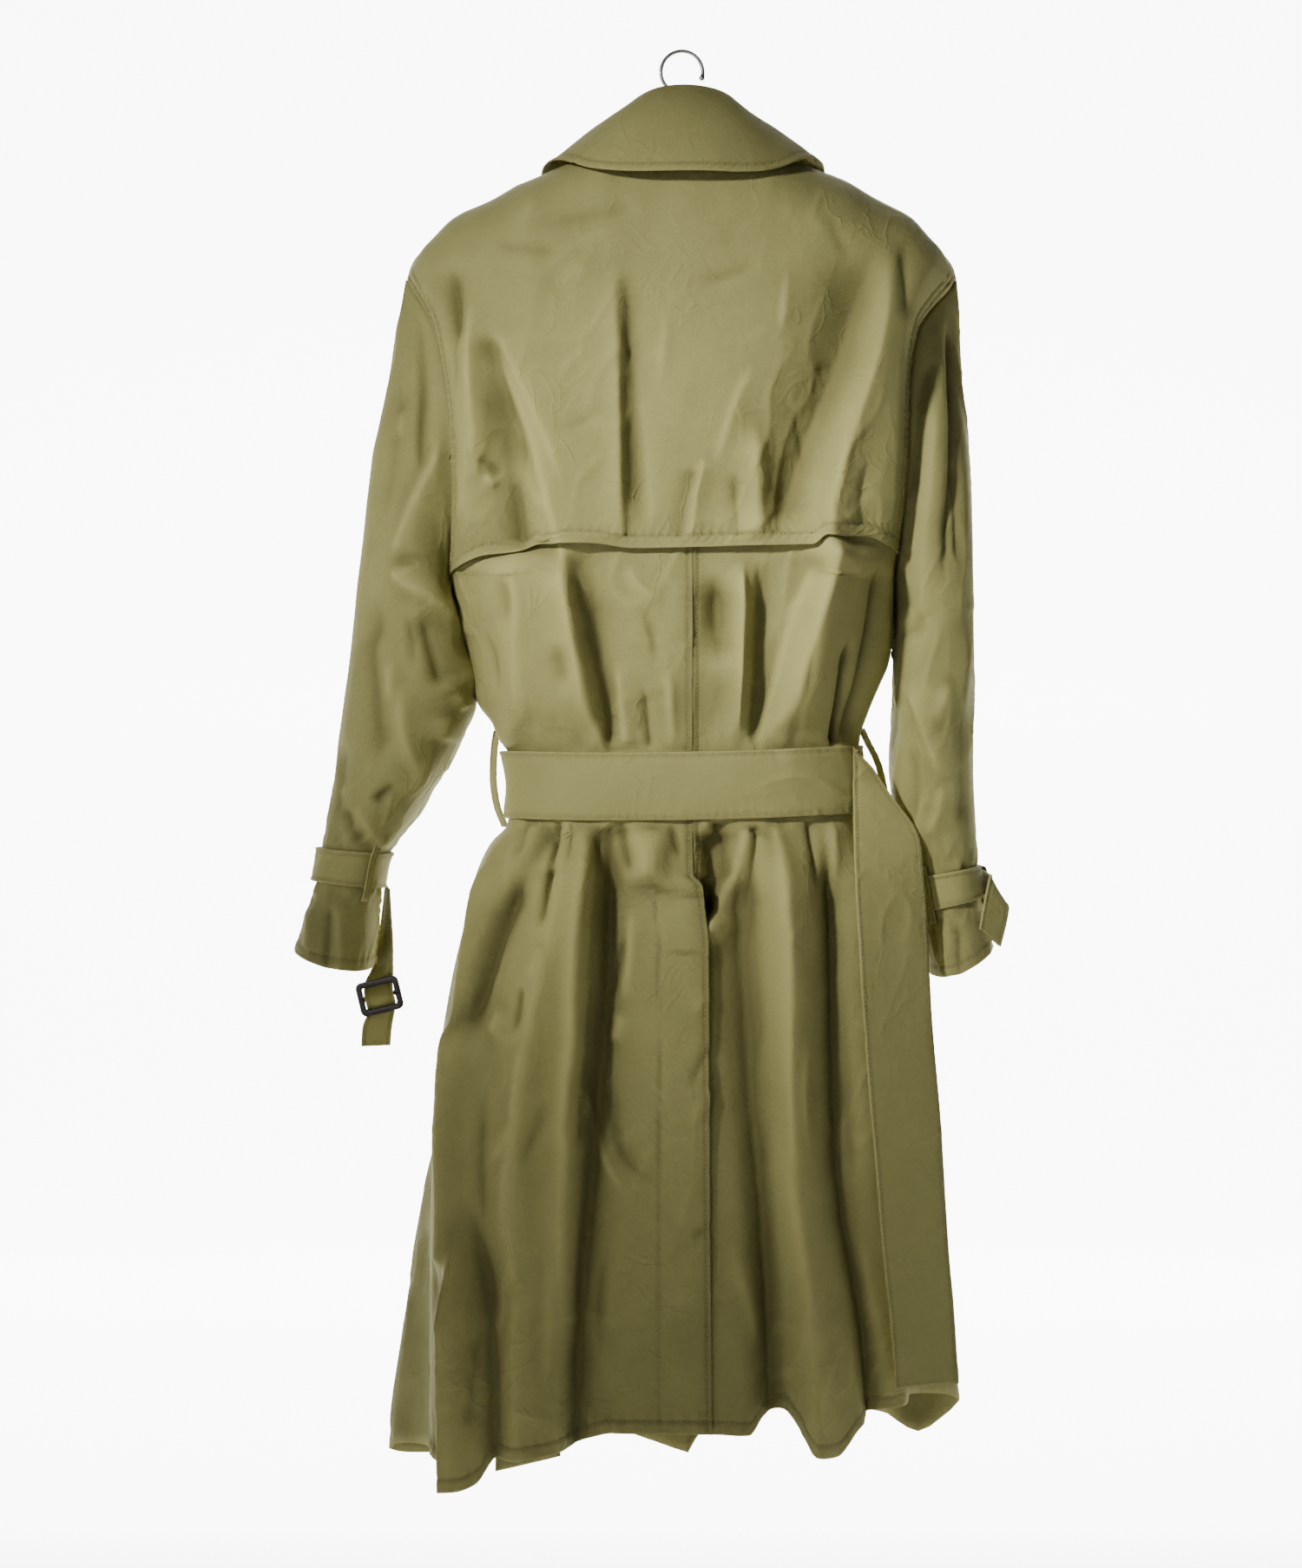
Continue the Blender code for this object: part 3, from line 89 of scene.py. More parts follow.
# The shoulder line, from the middle of the neck outwards: where the back and the front meet at the top.
SHOULDER_LINE = columns(
    "across height depth",
    [
        (0, -94, 48), (30, -93, 44), (56, -90, 30), (72, -86, 10), (90, -94, 2), (117, -106, 0),
        (137, -114, 0), (160, -127, 0), (192, -143, 0), (208, -157.5, 0), (220, -169, 0), (228, -180, 0),
        (231, -190, 0),
    ],
)

# Each armhole from the shoulder tip down: distance from the centre plane on either side, and depth behind
# the middle.
ARMHOLES = columns(
    "height left right depth",
    [
        (-190, 231, 230, 0), (-200, 226, 224, 12), (-217, 216, 209, 26), (-240, 205, 194, 38),
        (-274, 197, 187, 48), (-310, 191, 185, 54), (-350, 188, 183, 56), (-385, 188, 181, 52),
        (-415, 190, 178, 40), (-433, 193, 177, 22), (-443, 195, 177, 0),
    ],
)

# The body's side seams below the armholes: distance from the centre plane, and how far each lies behind
# the middle.
SIDE_SEAMS = columns(
    "height left left_back right right_back",
    [
        (-443, 195, 0, 177, 0), (-466, 192, 0, 176.5, 0), (-476, 190.5, 0, 176.3, 0),
        (-497, 182, 0, 175.8, 0), (-514, 177.5, 0, 173, 0), (-528, 175, 0, 167, 0), (-545, 171.5, 0, 159, 0),
        (-561, 160, 0, 153, 0), (-577, 151, 0, 149.5, 0), (-590, 145, 0, 148.5, 0), (-612, 142, 0, 148, 0),
        (-648, 146, 0, 152, 0), (-663, 160, 0, 161, 0), (-685, 171, 0, 172, 4), (-706, 177, 1, 179, 6),
        (-721, 180, 2, 184, 8), (-779, 193, 6, 192, 14), (-838, 202, 12, 195, 18), (-900, 207, 18, 196, 24),
        (-1013, 209, 28, 192, 32), (-1190, 209, 34, 182, 38),
    ],
)

# How far the body stands behind and before the middle plane, at its centre.
DEPTHS = columns(
    "height back front",
    [
        (-86, 60, 50), (-120, 72, 62), (-180, 82, 74), (-260, 90, 84), (-350, 95, 92), (-443, 97, 94),
        (-520, 92, 90), (-577, 77, 80), (-648, 77, 80), (-700, 88, 90), (-800, 98, 100), (-1000, 104, 106),
        (-1200, 106, 108),
    ],
)

# How far the fronts swell out to the sides beyond the side seams, so that they show from behind.
FRONT_SWELL = columns(
    "height left right",
    [
        (-800, 0, 0), (-900, 8, 10), (-945, 20, 20), (-1004, 31, 36), (-1034, 35, 43), (-1093, 44, 56),
        (-1152, 52, 64), (-1200, 54, 66),
    ],
)
SWELL_POWER = 9.5  # puts the swell's top just before the side seam

# The hem of the back, from the wearer's left to the right.
BACK_HEM = columns(
    "across height",
    [
        (209, -1166), (197, -1169), (187, -1184), (176, -1185), (166, -1180), (155, -1160), (124, -1157),
        (103, -1153), (82, -1143), (61, -1137), (-23, -1138), (-49, -1140), (-60, -1127), (-76, -1119),
        (-88, -1133), (-99, -1153), (-118, -1155), (-139, -1138), (-160, -1125), (-182, -1123),
    ],
)

# The hem of the fronts, from the centre to the side seam, as parts of the way.
FRONT_HEM = columns(
    "way left right",
    [
        (0.0, -1200, -1198), (0.06, -1196, -1182), (0.15, -1189, -1166), (0.35, -1177, -1158),
        (0.5, -1180, -1158), (0.7, -1186, -1160), (0.8, -1187, -1158), (0.86, -1188, -1170),
        (0.9, -1186, -1154), (0.93, -1181, -1140), (0.97, -1172, -1130), (1.0, -1166, -1123),
    ],
)

# The inner edge of each front: the roll line down to the lap, then the front edge. Plus is to its own side.
FRONT_EDGE = columns(
    "height left right",
    [
        (-86, 72, 72), (-160, 46, 46), (-300, -16, -16), (-400, -60, -60), (-440, -78, -78), (-700, -78, -80),
        (-1200, -16, -74),
    ],
)

# The vent in the centre back: edge of the overlap (left half) and of the underlap (right half).
VENT_EDGES = columns(
    "height overlap underlap",
    [
        (-600, -8, -8), (-688, -9, -8), (-695, -16, 8), (-712, -18, 16), (-745, -21, 24), (-900, -21.5, 24),
        (-1200, -24, 24),
    ],
)
VENT_STEP = 3.4  # the underlap lies this far inside the overlap

# Folds of the back: height of the ridge (a trough is negative), width of its flank on the wearer's left
# and right, how much of its length fades in and out, and its path from the top down as (across, height).
FOLDS = (
    # Across the shoulders.
    (-5, 14, 14, 0.3, 0.3, ((190, -185), (189, -262))),
    (6, 20, 24, 0.3, 0.2, ((172, -220), (173, -300), (172, -425))),
    (7, 6, 34, 0.3, 0.1, ((152, -262), (118, -350), (92, -440))),
    (-6, 34, 12, 0.3, 0.1, ((146, -270), (140, -350), (128, -430))),
    (3, 20, 6, 0.2, 0.2, ((56, -185), (52, -300), (50, -420))),
    (-4, 8, 14, 0.2, 0.2, ((46, -190), (40, -300), (34, -415))),
    (4, 12, 12, 0.3, 0.2, ((-60, -320), (-60, -420))),
    (-12, 30, 22, 0.25, 0.15, ((-160, -165), (-122, -280), (-100, -335), (-72, -420))),
    (10, 16, 20, 0.25, 0.1, ((-172, -170), (-156, -262), (-122, -372), (-110, -440))),
    # Between the storm flap and the belt.
    (13, 26, 24, 0.1, 0.02, ((133, -420), (128, -500), (116, -600))),
    (10, 22, 8, 0.2, 0.02, ((97, -420), (87, -490), (70, -600))),
    (-4.5, 10, 18, 0.3, 0.02, ((78, -425), (68, -500), (60, -590))),
    (-6, 14, 14, 0.3, 0.3, ((-24, -440), (-30, -520))),
    (5, 8, 12, 0.2, 0.02, ((-50, -430), (-48, -590))),
    (-4.5, 10, 18, 0.3, 0.02, ((-66, -425), (-64, -510), (-62, -590))),
    (17, 10, 34, 0.1, 0.02, ((-122, -408), (-108, -465), (-94, -520), (-74, -600))),
    (-7, 7, 7, 0.2, 0.1, ((-130, -495), (-124, -585))),
    (-7, 7, 7, 0.2, 0.1, ((-158, -425), (-148, -510), (-134, -585))),
    # The skirt.
    (8, 12, 12, 0.2, 0.0, ((158, -655), (174, -730), (187, -810), (192, -900), (194, -1000))),
    (-10, 12, 14, 0.2, 0.2, ((130, -680), (160, -745), (186, -830))),
    (14, 24, 18, 0.15, 0.0, ((92, -650), (96, -720), (116, -800), (132, -960), (132, -1200))),
    (-8, 7, 7, 0.1, 0.3, ((106, -682), (110, -735))),
    (15, 26, 7, 0.1, 0.35, ((74, -650), (78, -760), (86, -860), (94, -980), (98, -1090))),
    (-13, 8, 16, 0.1, 0.0, ((60, -655), (62, -760), (70, -870), (82, -1000), (92, -1200))),
    (8, 14, 12, 0.2, 0.3, ((26, -650), (24, -700))),
    (-15, 9, 12, 0.1, 0.2, ((-22, -650), (-30, -730))),
    (-17, 14, 20, 0.1, 0.0, ((-46, -660), (-52, -760), (-60, -900), (-70, -1040), (-74, -1200))),
    (17, 20, 20, 0.1, 0.0, ((-80, -650), (-84, -780), (-84, -900), (-100, -1040), (-108, -1200))),
    (-13, 12, 12, 0.1, 0.0, ((-122, -650), (-126, -800), (-130, -935), (-150, -1040), (-166, -1200))),
    (20, 7, 14, 0.4, 0.0, ((178, -960), (182, -1060), (182, -1200))),
    (-11, 10, 12, 0.3, 0.0, ((176, -940), (156, -1040), (152, -1200))),
)

# Folds of the fronts, in the same form.
FRONT_FOLDS = (
    (9, 20, 20, 0.2, 0.2, ((120, -450), (112, -590))),
    (-8, 14, 14, 0.2, 0.2, ((86, -440), (84, -590))),
    (9, 20, 20, 0.2, 0.2, ((-124, -440), (-116, -590))),
    (-8, 14, 14, 0.2, 0.2, ((-90, -450), (-86, -590))),
    (12, 22, 22, 0.1, 0.0, ((130, -650), (146, -900), (156, -1210))),
    (-11, 16, 16, 0.1, 0.0, ((92, -650), (104, -900), (112, -1210))),
    (12, 24, 22, 0.1, 0.0, ((-134, -650), (-150, -900), (-160, -1210))),
    (-11, 16, 16, 0.1, 0.0, ((-96, -650), (-106, -900), (-118, -1210))),
)

# The storm flap's free edge.
FLAP_EDGE = columns(
    "across height",
    [
        (190, -440), (177, -433), (159, -427), (130, -424), (114, -420), (76, -420), (40, -424), (-50, -422),
        (-102, -420), (-112, -412), (-144, -412), (-166, -420), (-185, -427),
    ],
)
# The collar by its sections from the middle of the back to the front end: the fold at its top, the fall's
# free edge, and the stand's foot.
COLLAR = columns(
    "way fold_x fold_y fold_z edge_x edge_y edge_z foot_x foot_y foot_z",
    [
        (0.00, 0, 50, -37, 0, 92, -117, 0, 48, -92), (0.18, 24, 48, -39, 44, 88, -117, 30, 44, -91),
        (0.36, 45, 36, -49, 81, 70, -112, 54, 30, -88), (0.52, 57, 16, -60, 107, 32, -92, 68, 10, -80),
        (0.68, 61, -8, -70, 122, -8, -99, 67, -12, -82), (0.84, 58, -36, -92, 114, -52, -124, 60, -38, -104),
        (1.00, 46, -64, -126, 96, -94, -172, 49, -66, -138),
    ],
)
COLLAR_SHIFT = {"fold": -3.0, "edge": -3.0, "foot": -6.0}  # each line sits a little to the wearer's right
COLLAR_SECTIONS = 14
FALL_ROWS = 6
STAND_ROWS = 3
FALL_BULGE = 6.0
STAND_FOOT = -0.8  # how far the stand's foot is moved from the table's line, to meet the neck's edge

# Each lapel from the collar down to the lap: its roll line's height, and its outer edge as (across, height).
LAPEL = columns(
    "way roll_height outer_x outer_z",
    [
        (0.0, -150, 96, -186), (0.2, -200, 122, -226), (0.5, -275, 78, -305), (0.8, -350, 14, -372),
        (1.0, -398, -52, -402),
    ],
)
LAPEL_ROWS = 8
LAPEL_COLUMNS = 5
LAPEL_ROLL = 2.5  # the turned cloth starts this far from the front's edge
LAPEL_LIFT = 3.0
LAPEL_BULGE = 3.0

# Sleeves by their rings: outer and inner point as (distance from the centre plane, height), half the
# depth, and how far the ring's middle lies before the middle plane.
LEFT_SLEEVE = columns(
    "outer_x outer_z inner_x inner_z half_depth forward",
    [
        (241, -240, 201, -455, 57, 0), (250, -298, 194, -476, 62, 0), (258, -355, 184, -497, 66, 1),
        (265, -418, 178, -520, 68, 2), (274, -480, 175, -545, 67, 3), (282, -536, 183, -570, 64, 4),
        (289, -586, 199, -600, 59, 5), (296, -630, 222, -636, 53, 6), (302, -660, 243, -666, 48, 7),
        (304, -676, 250, -681, 46, 8), (307, -692, 253, -699, 46, 8), (313, -712, 255, -719, 50, 8),
        (320, -732, 257, -742, 55, 8), (326, -750, 259, -766, 59, 8),
    ],
)
RIGHT_SLEEVE = columns(
    "outer_x outer_z inner_x inner_z half_depth forward",
    [
        (236, -245, 179, -460, 57, 0), (240, -305, 178.4, -480, 62, 0), (243, -365, 178, -504, 66, 1),
        (244, -430, 178, -532, 68, 2), (245, -490, 177, -562, 67, 4), (245, -550, 175, -596, 63, 6),
        (245.5, -602, 178, -628, 58, 8), (246, -645, 186, -660, 53, 9), (247.5, -676, 193, -686, 48, 10),
        (248.5, -690, 197, -701, 46, 10), (250.5, -706, 200, -719, 46, 10), (253.5, -724, 203, -738, 50, 10),
        (257, -737, 207, -757, 55, 10), (260, -748, 211, -772, 59, 10),
    ],
)
HEM_SAG = 7.0  # the cuff's hem hangs this much lower at the back
# The straps' ends above and below their sliders, by rows of their two edges.
LEFT_STRAP_ABOVE = (
    (252.3, -35, -700, 248.1, -10, -703), (258, -42, -742, 246, -22, -744), (262, -42, -766, 246, -25, -768),
)
LEFT_STRAP_BELOW = ((271, -31, -821, 247, -31, -822), (272, -30, -837, 248, -30, -836))
RIGHT_STRAP_ABOVE = (
    (-265, 25, -749, -247, 34, -734), (-271, 17, -729, -252, 26, -711), (-273, 11, -715, -257, 16, -693),
    (-265, 4, -714, -260, 4, -690), (-261, -10, -714, -260, -11, -690),
)
RIGHT_STRAP_BELOW = ((-242.3, -62, -714, -242.3, -62, -690),)
SLIDER_WIDTH, SLIDER_HEIGHT, SLIDER_THICKNESS = 37.0, 29.0, 3.6
SLIDER_RAIL, SLIDER_BAR, SLIDER_EDGE = 5.0, 3.0, 0.7
SLIDER_CORNER, SLOT_CORNER, CORNER_STEPS = 6.0, 2.0, 2
LEFT_SLIDER = ((256.5, -28.0, -794), (-1, 0, 0.24), (0.24, 0, 1))  # its middle, across it, and up it
RIGHT_SLIDER = ((-252.5, -46.0, -702), (0, 0, 1), (-0.447, 0.894, 0))

# How a strap runs through its slider: height up the slider, height off it and shift across it.
THREADING = (
    (15, -2.7, 3.0), (10.2, -2.7, 0.8), (2.8, 4.5, 0), (-2.8, 4.5, 0), (-10.2, -2.7, -0.8), (-15, -2.7, -3.0),
)
THREAD_HALF = 12.0

BELT_DROOP = 3.5  # how far its middle hangs lower
BELT_SLOPE = 0.016
# The belt's two free ends, by rows of their two edges.
RIGHT_BELT_END = (
    (-141, 45.8, -583, -146, 44.8, -589), (-141, 45.8, -600, -158, 40.8, -602),
    (-141, 46.8, -620, -173, 39.8, -624), (-141, 56, -652, -194, 40, -654), (-141, 71, -684, -198, 46, -684),
    (-142, 82, -720, -200.5, 52, -720), (-146, 91, -795, -203.5, 58, -795),
    (-151, 95, -860, -208.5, 60, -860), (-155, 96, -907, -212.5, 60, -907),
    (-162, 96, -990, -217.5, 60, -990), (-168, 95, -1047, -222.5, 58, -1047),
    (-172, 94, -1103, -226.5, 57, -1106),
)
LEFT_BELT_END = (
    (142.8, -45.8, -583, 136.8, -49.8, -589), (142.8, -46.8, -602, 125, -56.8, -606),
    (143.4, -51.4, -624, 109.5, -71.4, -630), (144, -66, -656, 90, -92, -660),
    (146, -80, -690, 91, -104, -692), (150, -96, -760, 95, -116, -760), (153, -102, -840, 98, -120, -840),
    (156, -102, -960, 102, -122, -960), (159, -100, -1100, 104, -122, -1100),
    (161, -98, -1214, 106, -122, -1206),
)
# The loops that hold the belt at the side seams, by rows of (x, z) of their outer face.
LEFT_BELT_LOOP = ((157.4, -569), (159.4, -580), (160.6, -598), (160.2, -616), (157.0, -634), (150.6, -650))
RIGHT_BELT_LOOP = (
    (-153.0, -567), (-158, -578), (-166, -594), (-171, -612), (-173, -630), (-168, -646), (-163, -660),
)
BELT_LOOP_DEPTH = 10.0
# The buttons on the right front: across, height, and how far each stands off the cloth.
BUTTONS = (
    (-52, -446, 0.2), (44, -446, 0.4), (-52, -545, 0.9), (44, -545, 0.8), (-52, -700, 0), (44, -700, 0),
)

# Fine creases of the yoke, in the same form as the folds.
YOKE_CREASES = (
    (-1.6, 9, 12, 0.3, 0.3, ((135, -161), (82, -154), (33, -142))),
    (-1.4, 5, 7, 0.3, 0.3, ((157, -175), (96, -184))),
    (-3.4, 6, 7, 0.3, 0.3, ((190, -191), (186, -247), (182, -310))),
    (3.2, 5, 9, 0.2, 0.2, ((173, -212), (170, -275), (166, -345), (164, -373))),
    (-4.8, 16, 5, 0.15, 0.3, ((159, -244), (143, -296), (127, -338), (117, -373))),
    (2.6, 2.2, 22, 0.1, 0.25, ((151, -247), (134, -284), (120, -312), (105, -346), (93, -377))),
    (1.2, 3, 5, 0.3, 0.3, ((148, -265), (138, -310), (130, -352))),
    (-3.0, 8, 6, 0.4, 0.02, ((137, -359), (133, -387), (132, -417))),
    (2.0, 6, 10, 0.3, 0.02, ((119, -373), (114, -394), (111, -417))),
    (-2.6, 4, 5, 0.3, 0.3, ((175, -348), (162, -352), (147, -365))),
    (2.0, 4, 5, 0.3, 0.3, ((159, -363), (149, -373))),
    (1.5, 14, 2.2, 0.35, 0.02, ((51, -184), (50, -261), (49, -345), (48, -417))),
    (-0.8, 2.2, 14, 0.35, 0.02, ((46, -191), (45, -261), (44, -345), (43, -417))),
    (1.4, 4, 14, 0.3, 0.1, ((35, -279), (30, -345), (24, -406))),
    (1.6, 3, 9, 0.2, 0.2, ((-58, -272), (-41, -310), (-27, -356))),
    (1.8, 2.6, 8, 0.1, 0.1, ((-18, -350), (-11, -380), (-6, -417))),
    (-1.8, 8, 2.6, 0.1, 0.1, ((-9, -359), (-1, -394), (2, -417))),
    (2.2, 9, 10, 0.3, 0.1, ((-57, -317), (-60, -366), (-61, -417))),
    (-2.0, 5, 6, 0.3, 0.1, ((-41, -359), (-43, -387), (-44, -417))),
    (-1.2, 3, 4, 0.3, 0.3, ((-128, -271), (-107, -278))),
    (-2.6, 6, 7, 0.3, 0.3, ((-180, -166), (-180, -205), (-178, -241))),
    (1.2, 5, 12, 0.4, 0.4, ((103, -212), (68, -191))),
    (-1.3, 4, 6, 0.4, 0.4, ((-9, -212), (-65, -191))),
    (1.0, 5, 7, 0.4, 0.4, ((117, -131), (131, -164))),
    (-1.4, 5, 6, 0.4, 0.4, ((-114, -149), (-139, -191))),
    (1.4, 3, 8, 0.4, 0.4, ((-86, -191), (-79, -254))),
    (1.1, 3, 6, 0.4, 0.4, ((12, -226), (19, -289))),
    (0.9, 2.5, 4, 0.4, 0.4, ((103, -289), (83, -268), (68, -258))),
    (-0.9, 2.5, 4, 0.4, 0.4, ((103, -331), (81, -323), (61, -310))),
    (0.8, 2.5, 4, 0.4, 0.4, ((89, -373), (72, -359), (61, -345))),
    (-1.0, 3, 4, 0.4, 0.4, ((-79, -296), (-95, -331), (-100, -373))),
    (1.2, 3, 6, 0.4, 0.4, ((-139, -289), (-127, -345), (-121, -401))),
    (-1.4, 4, 7, 0.4, 0.2, ((-149, -345), (-141, -380), (-139, -410))),
)
# Between the flap and the belt.
WAIST_CREASES = (
    (-3.2, 8, 8, 0.4, 0.4, ((142, -436), (139, -464), (137, -489))),
    (-3.0, 7, 8, 0.4, 0.4, ((100, -496), (96, -517), (92, -538))),
    (3.6, 8, 2.2, 0.15, 0.05, ((96, -429), (86, -485), (77, -527), (70, -582))),
    (-2.8, 3, 11, 0.15, 0.05, ((89, -429), (77, -485), (67, -527), (60, -582))),
    (-3.0, 9, 11, 0.4, 0.4, ((-30, -453), (-26, -474), (-25, -499))),
    (3.8, 9, 2.6, 0.15, 0.05, ((-49, -429), (-48, -499), (-45, -582))),
    (-2.6, 3.4, 13, 0.15, 0.05, ((-61, -429), (-61, -499), (-58, -582))),
    (4.6, 2.6, 18, 0.15, 0.05, ((-107, -429), (-90, -471), (-76, -520), (-61, -582))),
    (-3.4, 3, 4, 0.3, 0.05, ((-130, -485), (-127, -541), (-123, -582))),
    (3.0, 4, 8, 0.3, 0.05, ((54, -513), (50, -548), (46, -582))),
    (-2.8, 4, 4, 0.3, 0.05, ((32, -534), (29, -560), (27, -582))),
    (2.8, 4, 6, 0.3, 0.05, ((12, -520), (10, -552), (8, -582))),
    (-2.2, 4, 5, 0.4, 0.05, ((122, -541), (116, -566), (112, -582))),
    (2.4, 4, 5, 0.4, 0.05, ((-83, -541), (-81, -562), (-78, -582))),
    (-2.0, 4, 4, 0.4, 0.2, ((-104, -464), (-97, -513), (-95, -541))),
    (2.2, 6, 6, 0.4, 0.4, ((47, -436), (32, -457), (12, -471))),
    (-1.8, 3, 4, 0.4, 0.4, ((160, -485), (149, -513), (144, -541))),
    (1.8, 3, 5, 0.4, 0.3, ((132, -499), (129, -534), (123, -570))),
    (-1.6, 3, 5, 0.4, 0.4, ((33, -471), (24, -499), (21, -520))),
)
# Below the belt.
SKIRT_CREASES = (
    (3.6, 18, 7, 0.05, 0.3, ((118, -648), (135, -682), (158, -724))),
    (-4.6, 9, 13, 0.05, 0.2, ((106, -648), (134, -697), (151, -733), (169, -783), (181, -819))),
    (-6.0, 2.6, 3.4, 0.02, 0.35, ((102, -645), (106, -683), (112, -726))),
    (4.2, 9, 2.4, 0.05, 0.1,
     ((80, -648), (77, -682), (81, -736), (84, -773), (85, -823), (90, -862), (95, -913))),
    (-5.4, 2.4, 10, 0.05, 0.1,
     ((69, -648), (71, -682), (74, -736), (76, -773), (77, -823), (81, -862), (86, -913))),
    (3.4, 6, 4, 0.3, 0.3, ((107, -745), (111, -762), (123, -773))),
    (-3.8, 3, 4, 0.2, 0.4, ((125, -777), (127, -794), (131, -818))),
    (3.0, 7, 7, 0.4, 0.4, ((141, -794), (148, -808), (159, -819))),
    (2.6, 3, 10, 0.3, 0.3, ((123, -818), (127, -850), (134, -892))),
    (-4.0, 6, 10, 0.05, 0.5, ((61, -647), (59, -682), (58, -710))),
    (-3.2, 2.6, 3.4, 0.3, 0.3, ((48, -731), (53, -759), (58, -790))),
    (3.4, 4, 5, 0.3, 0.3, ((42, -710), (44, -752), (50, -794))),
    (3.2, 6, 6, 0.3, 0.3, ((50, -797), (55, -815), (61, -825))),
    (5.4, 8, 9, 0.2, 0.2, ((24, -651), (31, -671), (32, -697))),
    (-4.2, 5, 4, 0.05, 0.4, ((50, -647), (46, -671), (38, -690))),
    (2.6, 3, 3, 0.3, 0.3, ((26, -697), (-6, -692))),
    (-2.8, 3, 3, 0.3, 0.3, ((12, -647), (6, -661), (3, -675))),
    (-6.5, 3, 9, 0.02, 0.2, ((-25, -645), (-28, -682), (-28, -725))),
    (-5.0, 3, 4, 0.2, 0.2, ((-24, -722), (-29, -734))),
    (5.6, 3, 13, 0.05, 0.25, ((-53, -651), (-43, -683), (-36, -722), (-31, -751))),
    (-3.8, 5, 5, 0.05, 0.3, ((-60, -647), (-57, -689), (-55, -752))),
    (3.4, 4, 6, 0.05, 0.4, ((-76, -647), (-78, -689), (-79, -745))),
    (-3.0, 3, 4, 0.05, 0.5, ((-103, -645), (-106, -675), (-108, -706))),
    (2.8, 4, 5, 0.05, 0.5, ((-121, -644), (-125, -675), (-130, -710))),
    (-3.0, 3, 5, 0.05, 0.5, ((127, -645), (131, -664), (138, -682))),
    (-2.8, 3, 4, 0.05, 0.5, ((92, -647), (90, -671), (92, -696))),
    (-2.6, 3.4, 9, 0.3, 0.3, ((68, -850), (50, -913), (24, -941))),
    (2.6, 8, 3, 0.3, 0.3, ((83, -843), (68, -906), (44, -951))),
    (3.2, 6, 8, 0.3, 0, ((-139, -962), (-156, -1032), (-170, -1109))),
    (-2.6, 5, 7, 0.4, 0.3, ((159, -850), (162, -913), (159, -983))),
    (2.2, 4, 8, 0.4, 0.4, ((131, -885), (139, -941), (142, -997))),
    (-2.2, 4, 7, 0.4, 0.4, ((124, -990), (138, -1032), (145, -1074))),
    (2.2, 5, 7, 0.4, 0.3, ((103, -983), (106, -1032), (110, -1102))),
    (-2.0, 4, 5, 0.4, 0.4, ((61, -983), (68, -1032), (67, -1074))),
    (2.0, 4, 6, 0.4, 0.4, ((-65, -808), (-62, -864), (-65, -913))),
    (-2.4, 5, 5, 0.4, 0.4, ((-79, -843), (-83, -906), (-92, -962))),
    (2.0, 5, 6, 0.4, 0.4, ((-44, -976), (-55, -1032), (-65, -1081))),
    (-2.2, 4, 5, 0.4, 0.3, ((-132, -808), (-137, -878), (-142, -941))),
    (1.8, 4, 5, 0.4, 0.4, ((173, -752), (180, -808), (184, -864))),
    (-2.0, 3, 5, 0.4, 0.4, ((103, -864), (118, -899), (128, -927))),
    (2.0, 3, 5, 0.4, 0.4, ((159, -927), (131, -892), (116, -871))),
    (1.8, 3, 5, 0.4, 0.4, ((5, -801), (-9, -780))),
    (-2.0, 4, 4, 0.4, 0.4, ((10, -864), (-2, -836), (-13, -815))),
    (1.8, 4, 4, 0.4, 0.4, ((8, -892), (-5, -865), (-16, -847))),
    (-1.6, 3, 4, 0.4, 0.4, ((8, -983), (-9, -965))),
    (1.6, 3, 5, 0.4, 0.4, ((-100, -808), (-97, -864), (-103, -920))),
    (-2.4, 4, 5, 0.4, 0.1, ((201, -906), (202, -976), (205, -1060))),
    (2.2, 5, 5, 0.4, 0.1, ((180, -976), (184, -1046), (187, -1130))),
    (-2.2, 5, 5, 0.4, 0.1, ((162, -1032), (167, -1088), (170, -1137))),
)
